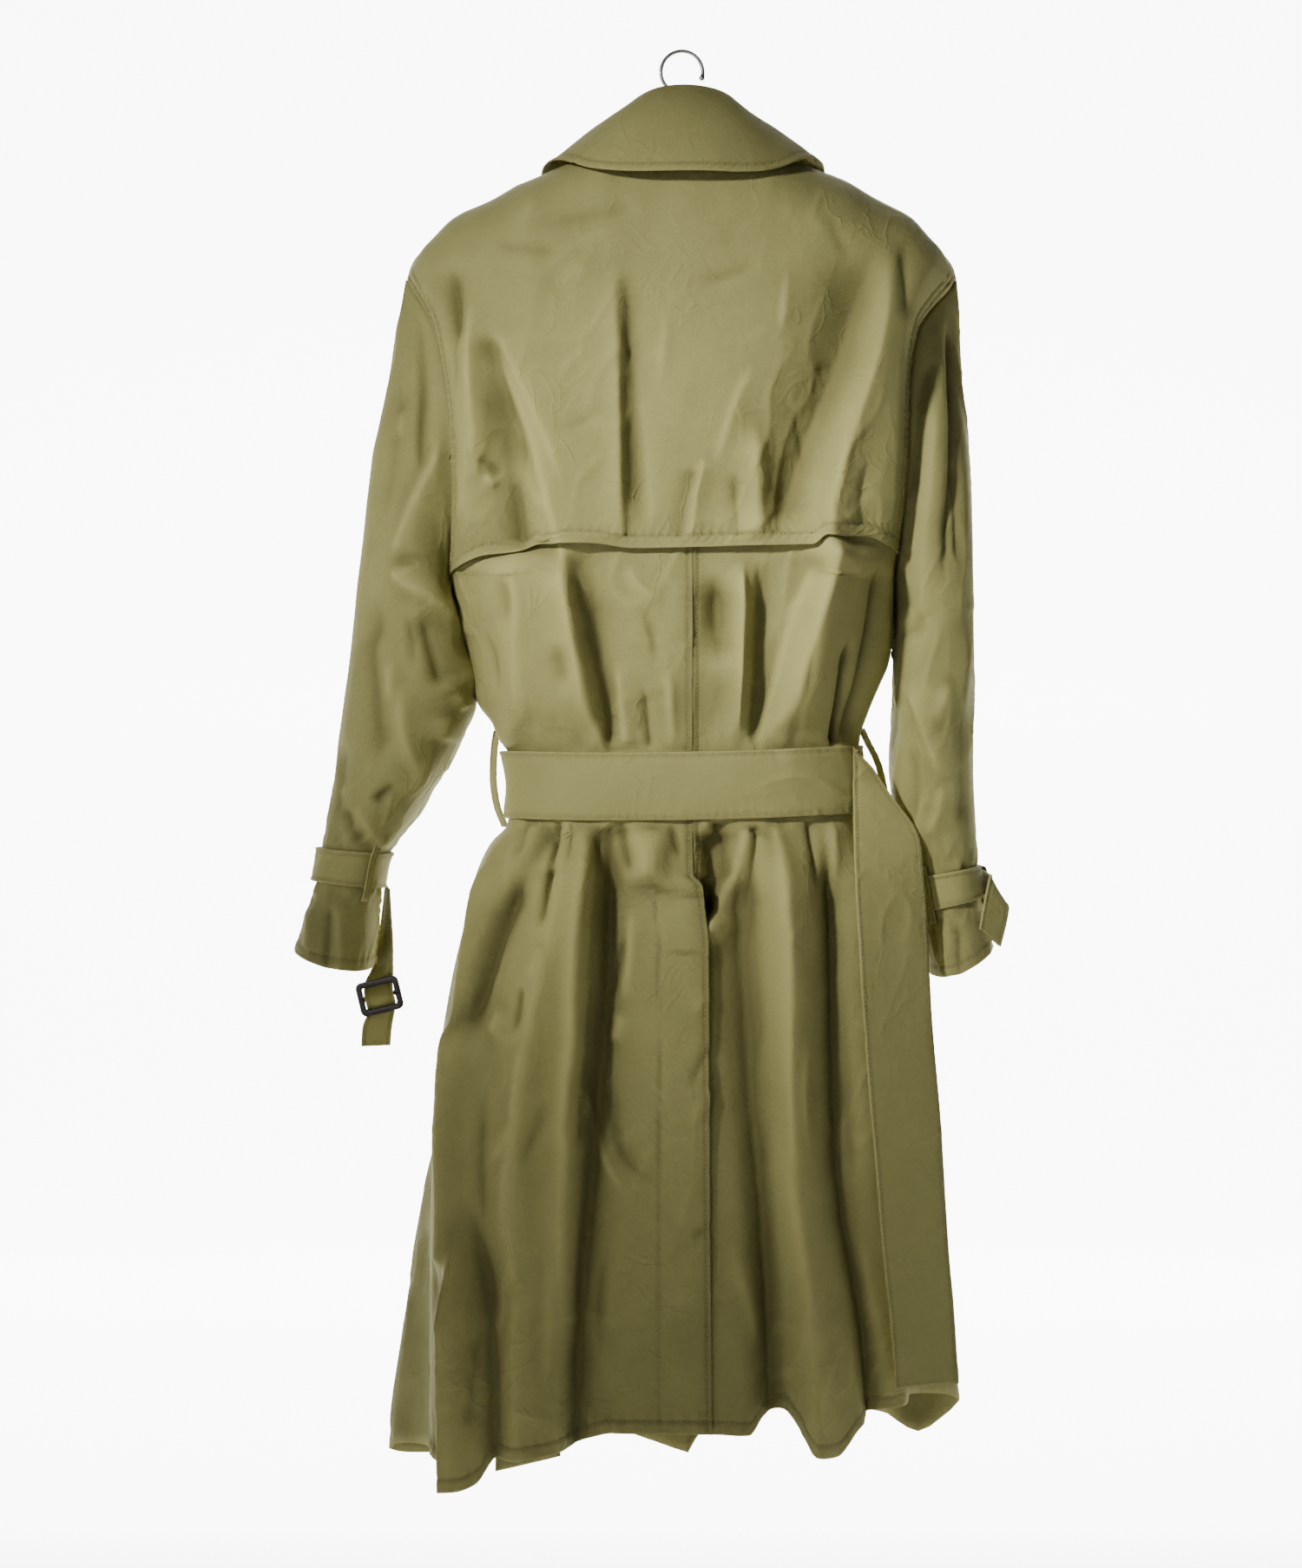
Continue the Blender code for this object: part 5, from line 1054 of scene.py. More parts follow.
@dataclass
class BodyForm:
    """The coat's body as one closed surface, from which every panel is read."""

    shoulder_tip: tuple[float, float] = (231.0, -190.0)
    shoulder_roll: float = 55.0
    squareness: float = 2.6
    coarse_fold: float = 11.0
    finest_fold: float = 3.0
    fold_power: float = 1.3
    finest_crease: float = 1.5
    crease_power: float = 1.4
    crispness: float = 1.15
    belt_room: float = 1.1
    belt_depth: float = 9.0
    front_lap: float = 12.0

    def ways(self, count: int) -> Grid:
        """Shares of the way from the centre to the side, spaced evenly along the body's section."""
        turn = np.linspace(0, math.pi / 2, 400)
        out = np.sin(turn) ** (2 / self.squareness)
        deep = np.cos(turn) ** (2 / self.squareness)
        run = np.concatenate([[0], np.cumsum(np.hypot(200 * np.diff(out), 95 * np.diff(deep)))])
        return np.interp(np.linspace(0, 1, count + 1), run / run[-1], out)

    def ways_at(self, shares: Grid) -> Grid:
        """The ways at shares of the run from the middle to the side."""
        return np.interp(shares, np.linspace(0, 1, 401), self.ways(400))

    def point(self, face: Face, side: Side, way: Grid, level: Grid) -> Grid:
        """The body's outer surface without its folds.

        Args:
            face: back or front.
            side: the wearer's left or right.
            way: 0 at the centre seam to 1 at the side seam or the armhole.
            level: 0 at the shoulder line over 1 at the armpit to 2 at the hem.

        Returns:
            The points.
        """
        word, sign = side.word, side.value
        way, level = np.broadcast_arrays(np.asarray(way, float), np.asarray(level, float))
        high = np.clip(level, 0, 1)
        tip_x, tip_z = self.shoulder_tip
        at_top = way * tip_x
        top = along(SHOULDER_LINE["across"], SHOULDER_LINE["height"], at_top)
        upper_z = top + (ARMPIT - top) * high
        end_z = tip_z + (ARMPIT - tip_z) * high
        upper_x = along(ARMHOLES["height"], ARMHOLES[word], end_z)
        upper_y = along(ARMHOLES["height"], ARMHOLES["depth"], end_z)
        if face is Face.BACK:
            hem_x = way * BACK_HEM["across"][0] if sign > 0 else way * BACK_HEM["across"][-1]
            hem = along(BACK_HEM["across"], BACK_HEM["height"], hem_x)
        else:
            hem = along(FRONT_HEM["way"], FRONT_HEM[word], way)
        z = np.where(level <= 1, upper_z, ARMPIT + (hem - ARMPIT) * (level - 1))
        edge_x = np.where(level <= 1, upper_x, along(SIDE_SEAMS["height"], SIDE_SEAMS[word], z))
        behind = np.where(level <= 1, 0, along(SIDE_SEAMS["height"], SIDE_SEAMS[word + "_back"], z))
        outwards = 1 if face is Face.BACK else -1
        edge_y = np.where(level <= 1, outwards * upper_y, behind)
        deep = outwards * along(DEPTHS["height"], DEPTHS[face.value], z)
        round_off = (1 - np.clip(way, 0, 1) ** self.squareness) ** (1 / self.squareness)
        y = edge_y + (deep - edge_y) * round_off
        top_y = along(SHOULDER_LINE["across"], SHOULDER_LINE["depth"], at_top)
        if face is Face.FRONT:
            top_y = np.minimum(top_y, 0)
        fall = np.clip((top - z) / self.shoulder_roll, 0, 1)
        y = top_y + (y - top_y) * np.sqrt(1 - (1 - fall) ** 2)
        x = CENTRE_X + (sign * edge_x - CENTRE_X) * way
        if face is Face.FRONT:
            swell = along(FRONT_SWELL["height"], FRONT_SWELL[word], z)
            x = x + sign * swell * np.sin(math.pi * np.clip(way, 0, 1) ** SWELL_POWER)
        return np.stack([x, y, z], axis=-1)

    def level(self, face: Face, side: Side, way: Grid, height: float) -> Grid:
        """The level at which the body reaches a height below the armpits."""
        hem = self.point(face, side, way, np.full(np.shape(way), 2.0))[..., 2]
        return 1 + (ARMPIT - height) / (ARMPIT - hem)

    def patch(self, face: Face, side: Side, ways: Grid, levels: Grid, extra: tuple[Stroke, ...] = (),
              finest: float | None = None) -> tuple[Grid, Grid, Grid]:
        """A patch of the body with its folds, which fade at the belt and at the seams.

        Args:
            face: back or front.
            side: the wearer's left or right.
            ways: shares of the way to the side.
            levels: levels down the body.
            extra: fine creases beside the main folds.
            finest: the sharpest flank of the main folds.

        Returns:
            Points, normals and how far the folds raise each point.
        """
        ways, levels = np.broadcast_arrays(np.asarray(ways, float), np.asarray(levels, float))
        nudge, out = 0.004, 1.0 if face is Face.BACK else -1.0
        base = self.point(face, side, ways, levels)
        down = self.point(face, side, ways, np.clip(levels + nudge, 0, 2))
        down = down - self.point(face, side, ways, np.clip(levels - nudge, 0, 2))
        across = self.point(face, side, np.clip(ways + nudge, 0, 1), levels)
        across = across - self.point(face, side, np.clip(ways - nudge, 0, 1), levels)
        normals = unit(np.cross(down, across))
        normals = np.where(normals[..., 1:2] * out < 0, -normals, normals)
        sideways = unit(np.stack([side.value * ways**6, out * (1 - ways**6), 0 * ways], axis=-1))
        near_side = ramp(ways, 0.93, 1.0)[..., None]
        normals = unit(normals * (1 - near_side) + sideways * near_side)
        near_top = ramp(levels, 0.10, 0.0)[..., None]
        normals = unit(normals * (1 - near_top) + np.array([0, 0, 1.0]) * near_top)
        x, z = base[..., 0], base[..., 2]
        folds = FOLDS if face is Face.BACK else FRONT_FOLDS
        if finest is None:
            fine = stroke_height(x, z, extra, self.finest_crease, self.crease_power)
            height = stroke_height(x, z, folds, self.finest_fold, self.fold_power) + self.crispness * fine
        else:
            height = stroke_height(x, z, folds, finest)
        height = FOLD_STRENGTH * height * ramp(ways, 1.0, 0.94)
        off_belt = np.clip(np.abs(z - BELT_MIDDLE) - BELT_HEIGHT / 2, 0, None)
        if finest is None:
            room = self.belt_room + 0.35 * off_belt + 0.004 * off_belt**2
            sunk = np.maximum(height, -self.belt_depth - 0.3 * off_belt)
            height = np.where(height > 0, room * np.tanh(height / room), sunk)
        else:
            height = height * ramp(off_belt, 2, 34)
        return base + normals * height[..., None], normals, height

    def front(self, side: Side, ways: Grid, levels: Grid, extra: tuple[Stroke, ...] = (),
              finest: float | None = None) -> tuple[Grid, Grid, Grid]:
        """A front, whose first column follows its inner edge and whose right one lies outside the left one.

        Args:
            side: the wearer's left or right.
            ways: shares of the way from the inner edge to the side.
            levels: levels down the body.
            extra: fine creases beside the main folds.
            finest: the sharpest flank of the main folds.

        Returns:
            Points, normals and how far the folds raise each point.
        """
        ways, levels = np.broadcast_arrays(np.asarray(ways, float), np.asarray(levels, float))
        other = Side(-side.value)
        ones = np.ones_like(ways)
        own_wide = self.point(Face.FRONT, side, ones, levels)[..., 0] - CENTRE_X
        other_wide = self.point(Face.FRONT, other, ones, levels)[..., 0] - CENTRE_X
        heights = self.point(Face.FRONT, side, 0.2 * ones, levels)[..., 2]
        edge = along(FRONT_EDGE["height"], FRONT_EDGE[side.word], heights) * side.value - CENTRE_X
        start = edge / own_wide
        bent = start + (1 - start) * ways
        mine = self.patch(Face.FRONT, side, np.clip(bent, 0, 1), levels, extra, finest)
        past = np.clip(-bent * np.abs(own_wide / other_wide), 0, 1)
        beyond = self.patch(Face.FRONT, other, past, levels, extra, finest)
        at_home = bent >= 0
        points = np.where(at_home[..., None], mine[0], beyond[0])
        normals = np.where(at_home[..., None], mine[1], beyond[1])
        if side is Side.RIGHT:
            points[..., 1] -= self.front_lap * ramp(np.abs(points[..., 0] - CENTRE_X), 130, 92)
        return points, normals, np.where(at_home, mine[2], beyond[2])

    def cloud(self, side: Side) -> list[tuple[Grid, Grid]]:
        """Closely spaced points and normals of one half, for the back and the front."""
        ways, levels = np.linspace(0, 1, 60), np.linspace(0, 1.5, 150)[:, None]
        patches = (self.patch(Face.BACK, side, ways, levels, finest=self.coarse_fold),
                   self.front(side, ways, levels, finest=self.coarse_fold))
        return [(patch[0].reshape(-1, 3), patch[1].reshape(-1, 3)) for patch in patches]


def cleared(points: Grid, clouds: list[tuple[Grid, Grid]], rests: Sequence[float]) -> Grid:
    """Moves out the points that lie less than their rest above the body.

    Args:
        points: the grid.
        clouds: points and normals of the body's parts.
        rests: the least height above each part.

    Returns:
        The grid, clear of the body.
    """
    flat = points.reshape(-1, 3)
    places = np.concatenate([cloud[0] for cloud in clouds])
    normals = np.concatenate([cloud[1] for cloud in clouds])
    rest = np.concatenate([np.full(len(cloud[0]), value) for cloud, value in zip(clouds, rests)])
    gaps = ((flat[:, None, :] - places[None]) ** 2).sum(-1)
    nearest = gaps.argmin(axis=1)
    height = ((flat - places[nearest]) * normals[nearest]).sum(-1)
    short = np.clip(rest[nearest] - height, 0, None)
    return (flat + normals[nearest] * short[:, None]).reshape(points.shape)


# ---------------------------------------------------------------- finishes


def link(tree: Tree, source: Socket, target: Socket) -> None:
    """Joins two sockets."""
    tree.links.new(source, target)


def math_node(tree: Tree, kind: str, *inputs: Socket | float) -> Socket:
    """Adds a Math node.

    Args:
        tree: the tree it stands in.
        kind: its operation.
        inputs: numbers or sockets, in order.

    Returns:
        The node's output.
    """
    node = tree.nodes.new("ShaderNodeMath")
    node.operation = kind
    for socket, value in zip(node.inputs, inputs):
        if isinstance(value, Socket):
            link(tree, value, socket)
        else:
            socket.default_value = value
    return node.outputs[0]


def multiplied(tree: Tree, first: Socket | float, second: Socket | float) -> Socket:
    """The product of two values."""
    return math_node(tree, "MULTIPLY", first, second)


def object_place(tree: Tree) -> Socket:
    """Each point's place in the coordinates of its piece."""
    return tree.nodes.new("ShaderNodeTexCoord").outputs["Object"]


def cloth_value(tree: Tree, name: str) -> Socket:
    """One of the values that a shell keeps at each point."""
    node = tree.nodes.new("ShaderNodeAttribute")
    node.attribute_name = name
    return node.outputs["Fac"]


def noise(tree: Tree, where: Socket, scale: float, detail: float = 3.0) -> Socket:
    """Adds a Noise Texture and gives its value."""
    node = tree.nodes.new("ShaderNodeTexNoise")
    node.inputs["Scale"].default_value = scale
    node.inputs["Detail"].default_value = detail
    node.inputs["Roughness"].default_value = 0.55
    link(tree, where, node.inputs["Vector"])
    return node.outputs["Fac"]


def mapped(tree: Tree, value: Socket, start: float, end: float, low: float = 0.0,
           high: float = 1.0) -> Socket:
    """Adds a clamped Map Range from (start, end) to (low, high)."""
    node = tree.nodes.new("ShaderNodeMapRange")
    for name, number in (("From Min", start), ("From Max", end), ("To Min", low), ("To Max", high)):
        node.inputs[name].default_value = number
    link(tree, value, node.inputs["Value"])
    return node.outputs["Result"]


def tinted(tree: Tree, mask: Socket, first: Socket | tuple[float, ...],
           second: Socket | tuple[float, ...], blend: str = "MIX") -> Socket:
    """Adds a colour Mix node from first to second by the mask."""
    node = tree.nodes.new("ShaderNodeMix")
    node.data_type, node.blend_type = "RGBA", blend
    link(tree, mask, node.inputs["Factor"])
    for socket, value in zip((node.inputs[6], node.inputs[7]), (first, second)):
        if isinstance(value, Socket):
            link(tree, value, socket)
        else:
            socket.default_value = (*value[:3], 1.0)
    return node.outputs[2]


def start_group(name: str, inputs: dict[str, tuple[str, float | tuple[float, ...]]],
                outputs: dict[str, str]) -> Tree:
    """Starts a shader node group.

    Args:
        name: its name.
        inputs: socket type and default value by name.
        outputs: socket type by name.

    Returns:
        The group, with its input and output nodes called in and out.
    """
    group = bpy.data.node_groups.new(name, "ShaderNodeTree")
    for key, (kind, value) in inputs.items():
        group.interface.new_socket(name=key, in_out="INPUT", socket_type=kind).default_value = value
    for key, kind in outputs.items():
        group.interface.new_socket(name=key, in_out="OUTPUT", socket_type=kind)
    group.nodes.new("NodeGroupInput").name = "in"
    group.nodes.new("NodeGroupOutput").name = "out"
    return group


def gabardine_weave() -> Tree:
    """The steep twill lines of gabardine with uneven yarns, as a height from 0 to 1."""
    inputs = {"Line pitch": ("NodeSocketFloat", 0.0009), "Unevenness": ("NodeSocketFloat", 0.5)}
    group = start_group("gabardine_weave", inputs, {"Height": "NodeSocketFloat"})
    given, result = group.nodes["in"], group.nodes["out"]
    cloth = group.nodes.new("ShaderNodeUVMap")
    cloth.uv_map = "cloth"
    apart = group.nodes.new("ShaderNodeSeparateXYZ")
    link(group, cloth.outputs[0], apart.inputs[0])
    slant = math_node(group, "MULTIPLY_ADD", apart.outputs["X"], 2.0, apart.outputs["Y"])
    turns = math_node(group, "DIVIDE", multiplied(group, slant, math.tau / 2.24), given.outputs["Line pitch"])
    line = math_node(group, "MULTIPLY_ADD", math_node(group, "SINE", turns), 0.5, 0.5)
    yarn = noise(group, cloth.outputs[0], 620.0, 4.0)
    uneven = multiplied(group, yarn, given.outputs["Unevenness"])
    link(group, math_node(group, "ADD", multiplied(group, line, 0.45), uneven), result.inputs["Height"])
    return group


def cloth_tone_painted_light() -> Tree:
    """The cloth's colour: mottled dye, paler stitched edges, painted highlight on ridges, painted shade in
    troughs.
    """
    inputs = {
        "Colour": ("NodeSocketColor", (0.3, 0.27, 0.13, 1)),
        "Mottle": ("NodeSocketFloat", 0.2),
        # painted shade: how strongly troughs are darkened
        "Painted trough shade": ("NodeSocketFloat", 0.3),
        # painted highlight on ridges and crests, and the paling of worn edges
        "Paling": ("NodeSocketFloat", 0.3),
        # painted shade: how strongly creases are darkened
        "Painted crease shade": ("NodeSocketFloat", 0.36),
    }
    group = start_group("cloth_tone_painted_light", inputs, {"Colour": "NodeSocketColor", "Mask": "NodeSocketFloat"})
    given, result = group.nodes["in"], group.nodes["out"]
    where = object_place(group)
    patch = mapped(group, noise(group, where, 9.0, 4.0), 0.3, 0.7)
    fleck = mapped(group, noise(group, where, 420.0, 3.0), 0.3, 0.7)
    cloudy = math_node(group, "ADD", multiplied(group, patch, 0.6), multiplied(group, fleck, 0.4))
    shade = multiplied(group, math_node(group, "SUBTRACT", 1.0, cloudy), given.outputs["Mottle"])
    colour = tinted(group, shade, given.outputs["Colour"], (0.05, 0.042, 0.012))
    relief, hollow = cloth_value(group, "relief"), cloth_value(group, "hollow")
    rubbed = mapped(group, noise(group, where, 160.0), 0.35, 0.6, 0.4, 1.0)
    steps = (
        # painted shade: darker where the relief sinks into a trough
        (mapped(group, relief, 0.05, -1.1), given.outputs["Painted trough shade"], (0.03, 0.023, 0.004)),
        # painted highlight: paler where the relief stands up in a ridge
        (mapped(group, relief, 0.1, 1.6), given.outputs["Paling"], (0.46, 0.41, 0.145)),
        # painted shade: darker in creases that sink below their smoothed neighbourhood
        (mapped(group, hollow, 0.1, 3.2), given.outputs["Painted crease shade"], (0.035, 0.03, 0.006)),
        # painted highlight: paler on crests that stand above their smoothed neighbourhood
        (mapped(group, hollow, -0.1, -3.2), given.outputs["Paling"], (0.50, 0.46, 0.18)),
        (multiplied(group, cloth_value(group, "worn"), rubbed), given.outputs["Paling"], (0.52, 0.465, 0.18)),
        (cloth_value(group, "seam"), 0.3, (0.03, 0.024, 0.006)),
    )
    for mask, share, tint in steps:
        colour = tinted(group, multiplied(group, mask, share), colour, tint)
    link(group, colour, result.inputs["Colour"])
    link(group, cloudy, result.inputs["Mask"])
    return group


def fine_creases() -> Tree:
    """Fine creases left by wear, as a height from 0 to 1."""
    group = start_group("fine_creases", {"Scale": ("NodeSocketFloat", 26.0)}, {"Height": "NodeSocketFloat"})
    given, result = group.nodes["in"], group.nodes["out"]
    where = object_place(group)
    node = group.nodes.new("ShaderNodeTexNoise")
    for name, value in (("Detail", 2.5), ("Roughness", 0.5), ("Distortion", 0.9)):
        node.inputs[name].default_value = value
    link(group, where, node.inputs["Vector"])
    link(group, given.outputs["Scale"], node.inputs["Scale"])
    away = math_node(group, "ABSOLUTE", math_node(group, "SUBTRACT", node.outputs["Fac"], 0.5))
    crease = math_node(group, "POWER", mapped(group, away, 0.07, 0.0), 2.0)
    area = mapped(group, noise(group, where, 12.0, 2.0), 0.42, 0.6)
    lumps = multiplied(group, noise(group, where, 85.0, 3.0), 0.9)
    height = math_node(group, "MULTIPLY_ADD", multiplied(group, crease, 0.55), area, lumps)
    link(group, height, result.inputs["Height"])
    return group


def scuffs() -> Tree:
    """Fine scratches and dull patches of a hard surface, as a mask from 0 to 1."""
    group = start_group("scuffs", {"Scale": ("NodeSocketFloat", 300.0)}, {"Mask": "NodeSocketFloat"})
    given, result = group.nodes["in"], group.nodes["out"]
    where = object_place(group)
    node = group.nodes.new("ShaderNodeTexNoise")
    node.inputs["Detail"].default_value = 5.0
    link(group, where, node.inputs["Vector"])
    link(group, given.outputs["Scale"], node.inputs["Scale"])
    link(group, mapped(group, node.outputs["Fac"], 0.35, 0.7), result.inputs["Mask"])
    return group


def place_group(tree: Tree, group: Tree, values: dict[str, object]) -> bpy.types.Node:
    """Places a node group with its own values."""
    node = tree.nodes.new("ShaderNodeGroup")
    node.node_tree = group
    for name, value in values.items():
        node.inputs[name].default_value = value
    return node


def start_material(name: str) -> tuple[Finish, Tree, bpy.types.Node]:
    """Starts a material and gives it, its tree and its shader."""
    made = bpy.data.materials.new(name)
    made.use_nodes = True
    return made, made.node_tree, made.node_tree.nodes["Principled BSDF"]


def add_bump(tree: Tree, shader: bpy.types.Node, height: Socket, strength: float, distance: float) -> None:
    """Feeds a height to the shader's normal."""
    bump = tree.nodes.new("ShaderNodeBump")
    bump.inputs["Strength"].default_value = strength
    bump.inputs["Distance"].default_value = distance
    link(tree, height, bump.inputs["Height"])
    link(tree, bump.outputs["Normal"], shader.inputs["Normal"])


@dataclass(frozen=True)
class ClothFinish:
    """Washed cotton gabardine."""

    name: str
    colour: Triple = (0.345, 0.322, 0.120)
    mottle: float = 0.26
    # painted shade: how strongly troughs are darkened
    trough_painted_shade: float = 0.35
    # painted highlight on ridges and crests, and the paling of worn edges
    paling: float = 0.30
    roughness: float = 0.78
    weave_share: float = 0.3
    bump: float = 0.9
    crease_height: float = 0.0009
    gloss: float = 0.1

    def build(self, tone: Tree, weave: Tree, creases: Tree) -> Finish:
        """Makes the material.

        Args:
            tone: the group for the cloth's colour.
            weave: the group for its weave.
            creases: the group for its fine creases.

        Returns:
            The material.
        """
        made, tree, shader = start_material(self.name)
        colour = place_group(tree, tone, {
            "Colour": (*self.colour, 1), "Mottle": self.mottle,
            "Painted trough shade": self.trough_painted_shade, "Paling": self.paling,
        })
        link(tree, colour.outputs["Colour"], shader.inputs["Base Color"])
        rough = mapped(tree, colour.outputs["Mask"], 0, 1, self.roughness + 0.08, self.roughness - 0.06)
        link(tree, rough, shader.inputs["Roughness"])
        twill = place_group(tree, weave, {}).outputs["Height"]
        creased = place_group(tree, creases, {}).outputs["Height"]
        height = math_node(tree, "MULTIPLY_ADD", twill, self.weave_share, creased)
        add_bump(tree, shader, height, self.bump, self.crease_height)
        shader.inputs["Specular IOR Level"].default_value = self.gloss
        return made


@dataclass(frozen=True)
class ThreadFinish:
    """Twisted cotton sewing thread."""

    name: str = "sewing_thread"
    colour: Triple = (0.40, 0.37, 0.15)

    def build(self) -> Finish:
        """Makes the material."""
        made, tree, shader = start_material(self.name)
        twist = noise(tree, object_place(tree), 900.0)
        dark = tuple(0.5 * part for part in self.colour)
        link(tree, tinted(tree, twist, self.colour, dark), shader.inputs["Base Color"])
        shader.inputs["Roughness"].default_value = 0.7
        return made


@dataclass(frozen=True)
class HardFinish:
    """A moulded or metal surface with light scuffs."""

    name: str
    colour: Triple
    scuffed: Triple
    roughness: float
    metallic: float = 0.0
    scale: float = 300.0

    def build(self, marks: Tree) -> Finish:
        """Makes the material with the scuffs group."""
        made, tree, shader = start_material(self.name)
        mask = place_group(tree, marks, {"Scale": self.scale}).outputs["Mask"]
        link(tree, tinted(tree, mask, self.colour, self.scuffed), shader.inputs["Base Color"])
        rough = mapped(tree, mask, 0, 1, self.roughness, self.roughness + 0.18)
        link(tree, rough, shader.inputs["Roughness"])
        shader.inputs["Metallic"].default_value = self.metallic
        add_bump(tree, shader, mask, 0.15, 0.0002)
        return made


@dataclass(frozen=True)
class WoodFinish:
    """Waxed beech, its grain along x."""

    name: str = "waxed_beech"
    pale: Triple = (0.50, 0.33, 0.17)
    dark: Triple = (0.33, 0.19, 0.09)

    def build(self) -> Finish:
        """Makes the material."""
        made, tree, shader = start_material(self.name)
        stretch = tree.nodes.new("ShaderNodeMapping")
        stretch.inputs["Scale"].default_value = (0.08, 1.0, 1.0)
        link(tree, object_place(tree), stretch.inputs["Vector"])
        grain = mapped(tree, noise(tree, stretch.outputs[0], 260.0, 6.0), 0.35, 0.7)
        link(tree, tinted(tree, grain, self.pale, self.dark), shader.inputs["Base Color"])
        shader.inputs["Roughness"].default_value = 0.42
        add_bump(tree, shader, grain, 0.2, 0.0003)
        return made


@dataclass
class Wardrobe:
    """Every finish of the coat, made once."""

    cloth: Finish = field(init=False)
    belting: Finish = field(init=False)
    # a darker copy of the cloth: painted shade for the collar stand under the fall
    inside: Finish = field(init=False)
    thread: Finish = field(init=False)
    horn: Finish = field(init=False)
    wood: Finish = field(init=False)
    wire: Finish = field(init=False)

    def __post_init__(self) -> None:
        """Builds the node groups and the materials."""
        groups, marks = (cloth_tone_painted_light(), gabardine_weave(), fine_creases()), scuffs()
        self.cloth = ClothFinish("washed_gabardine").build(*groups)
        belting = ClothFinish("belt_gabardine", mottle=0.16, trough_painted_shade=0.3, crease_height=0.0007)
        self.belting = belting.build(*groups)
        # a darker copy of the cloth: painted shade for the collar stand under the fall
        self.inside = ClothFinish("gabardine_painted_shade", colour=(0.25, 0.22, 0.10), mottle=0.1).build(*groups)
        self.thread = ThreadFinish().build()
        self.horn = HardFinish("dark_horn", (0.012, 0.009, 0.007), (0.035, 0.026, 0.02), 0.3).build(marks)
        self.wood = WoodFinish().build()
        wire = HardFinish("hanger_wire", (0.55, 0.55, 0.56), (0.42, 0.42, 0.43), 0.24, 1.0, 500.0)
        self.wire = wire.build(marks)


# ---------------------------------------------------------------- the coat's panels


def dress(shell: Shell, finish: Finish) -> bpy.types.Object:
    """Builds a piece of cloth in place of the CAD node of the same name.

    Args:
        shell: the piece.
        finish: its material.

    Returns:
        The object.
    """
    piece = shell.build(finish)
    wide, long, area = shell.cut()
    wide = max(wide, 0.01)
    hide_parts(shell.name)
    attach(piece, BODY)
    LOG.info("%s: %.2f x %.2f m of cloth, %.3f square metres", shell.name, wide, long, area)
    return piece


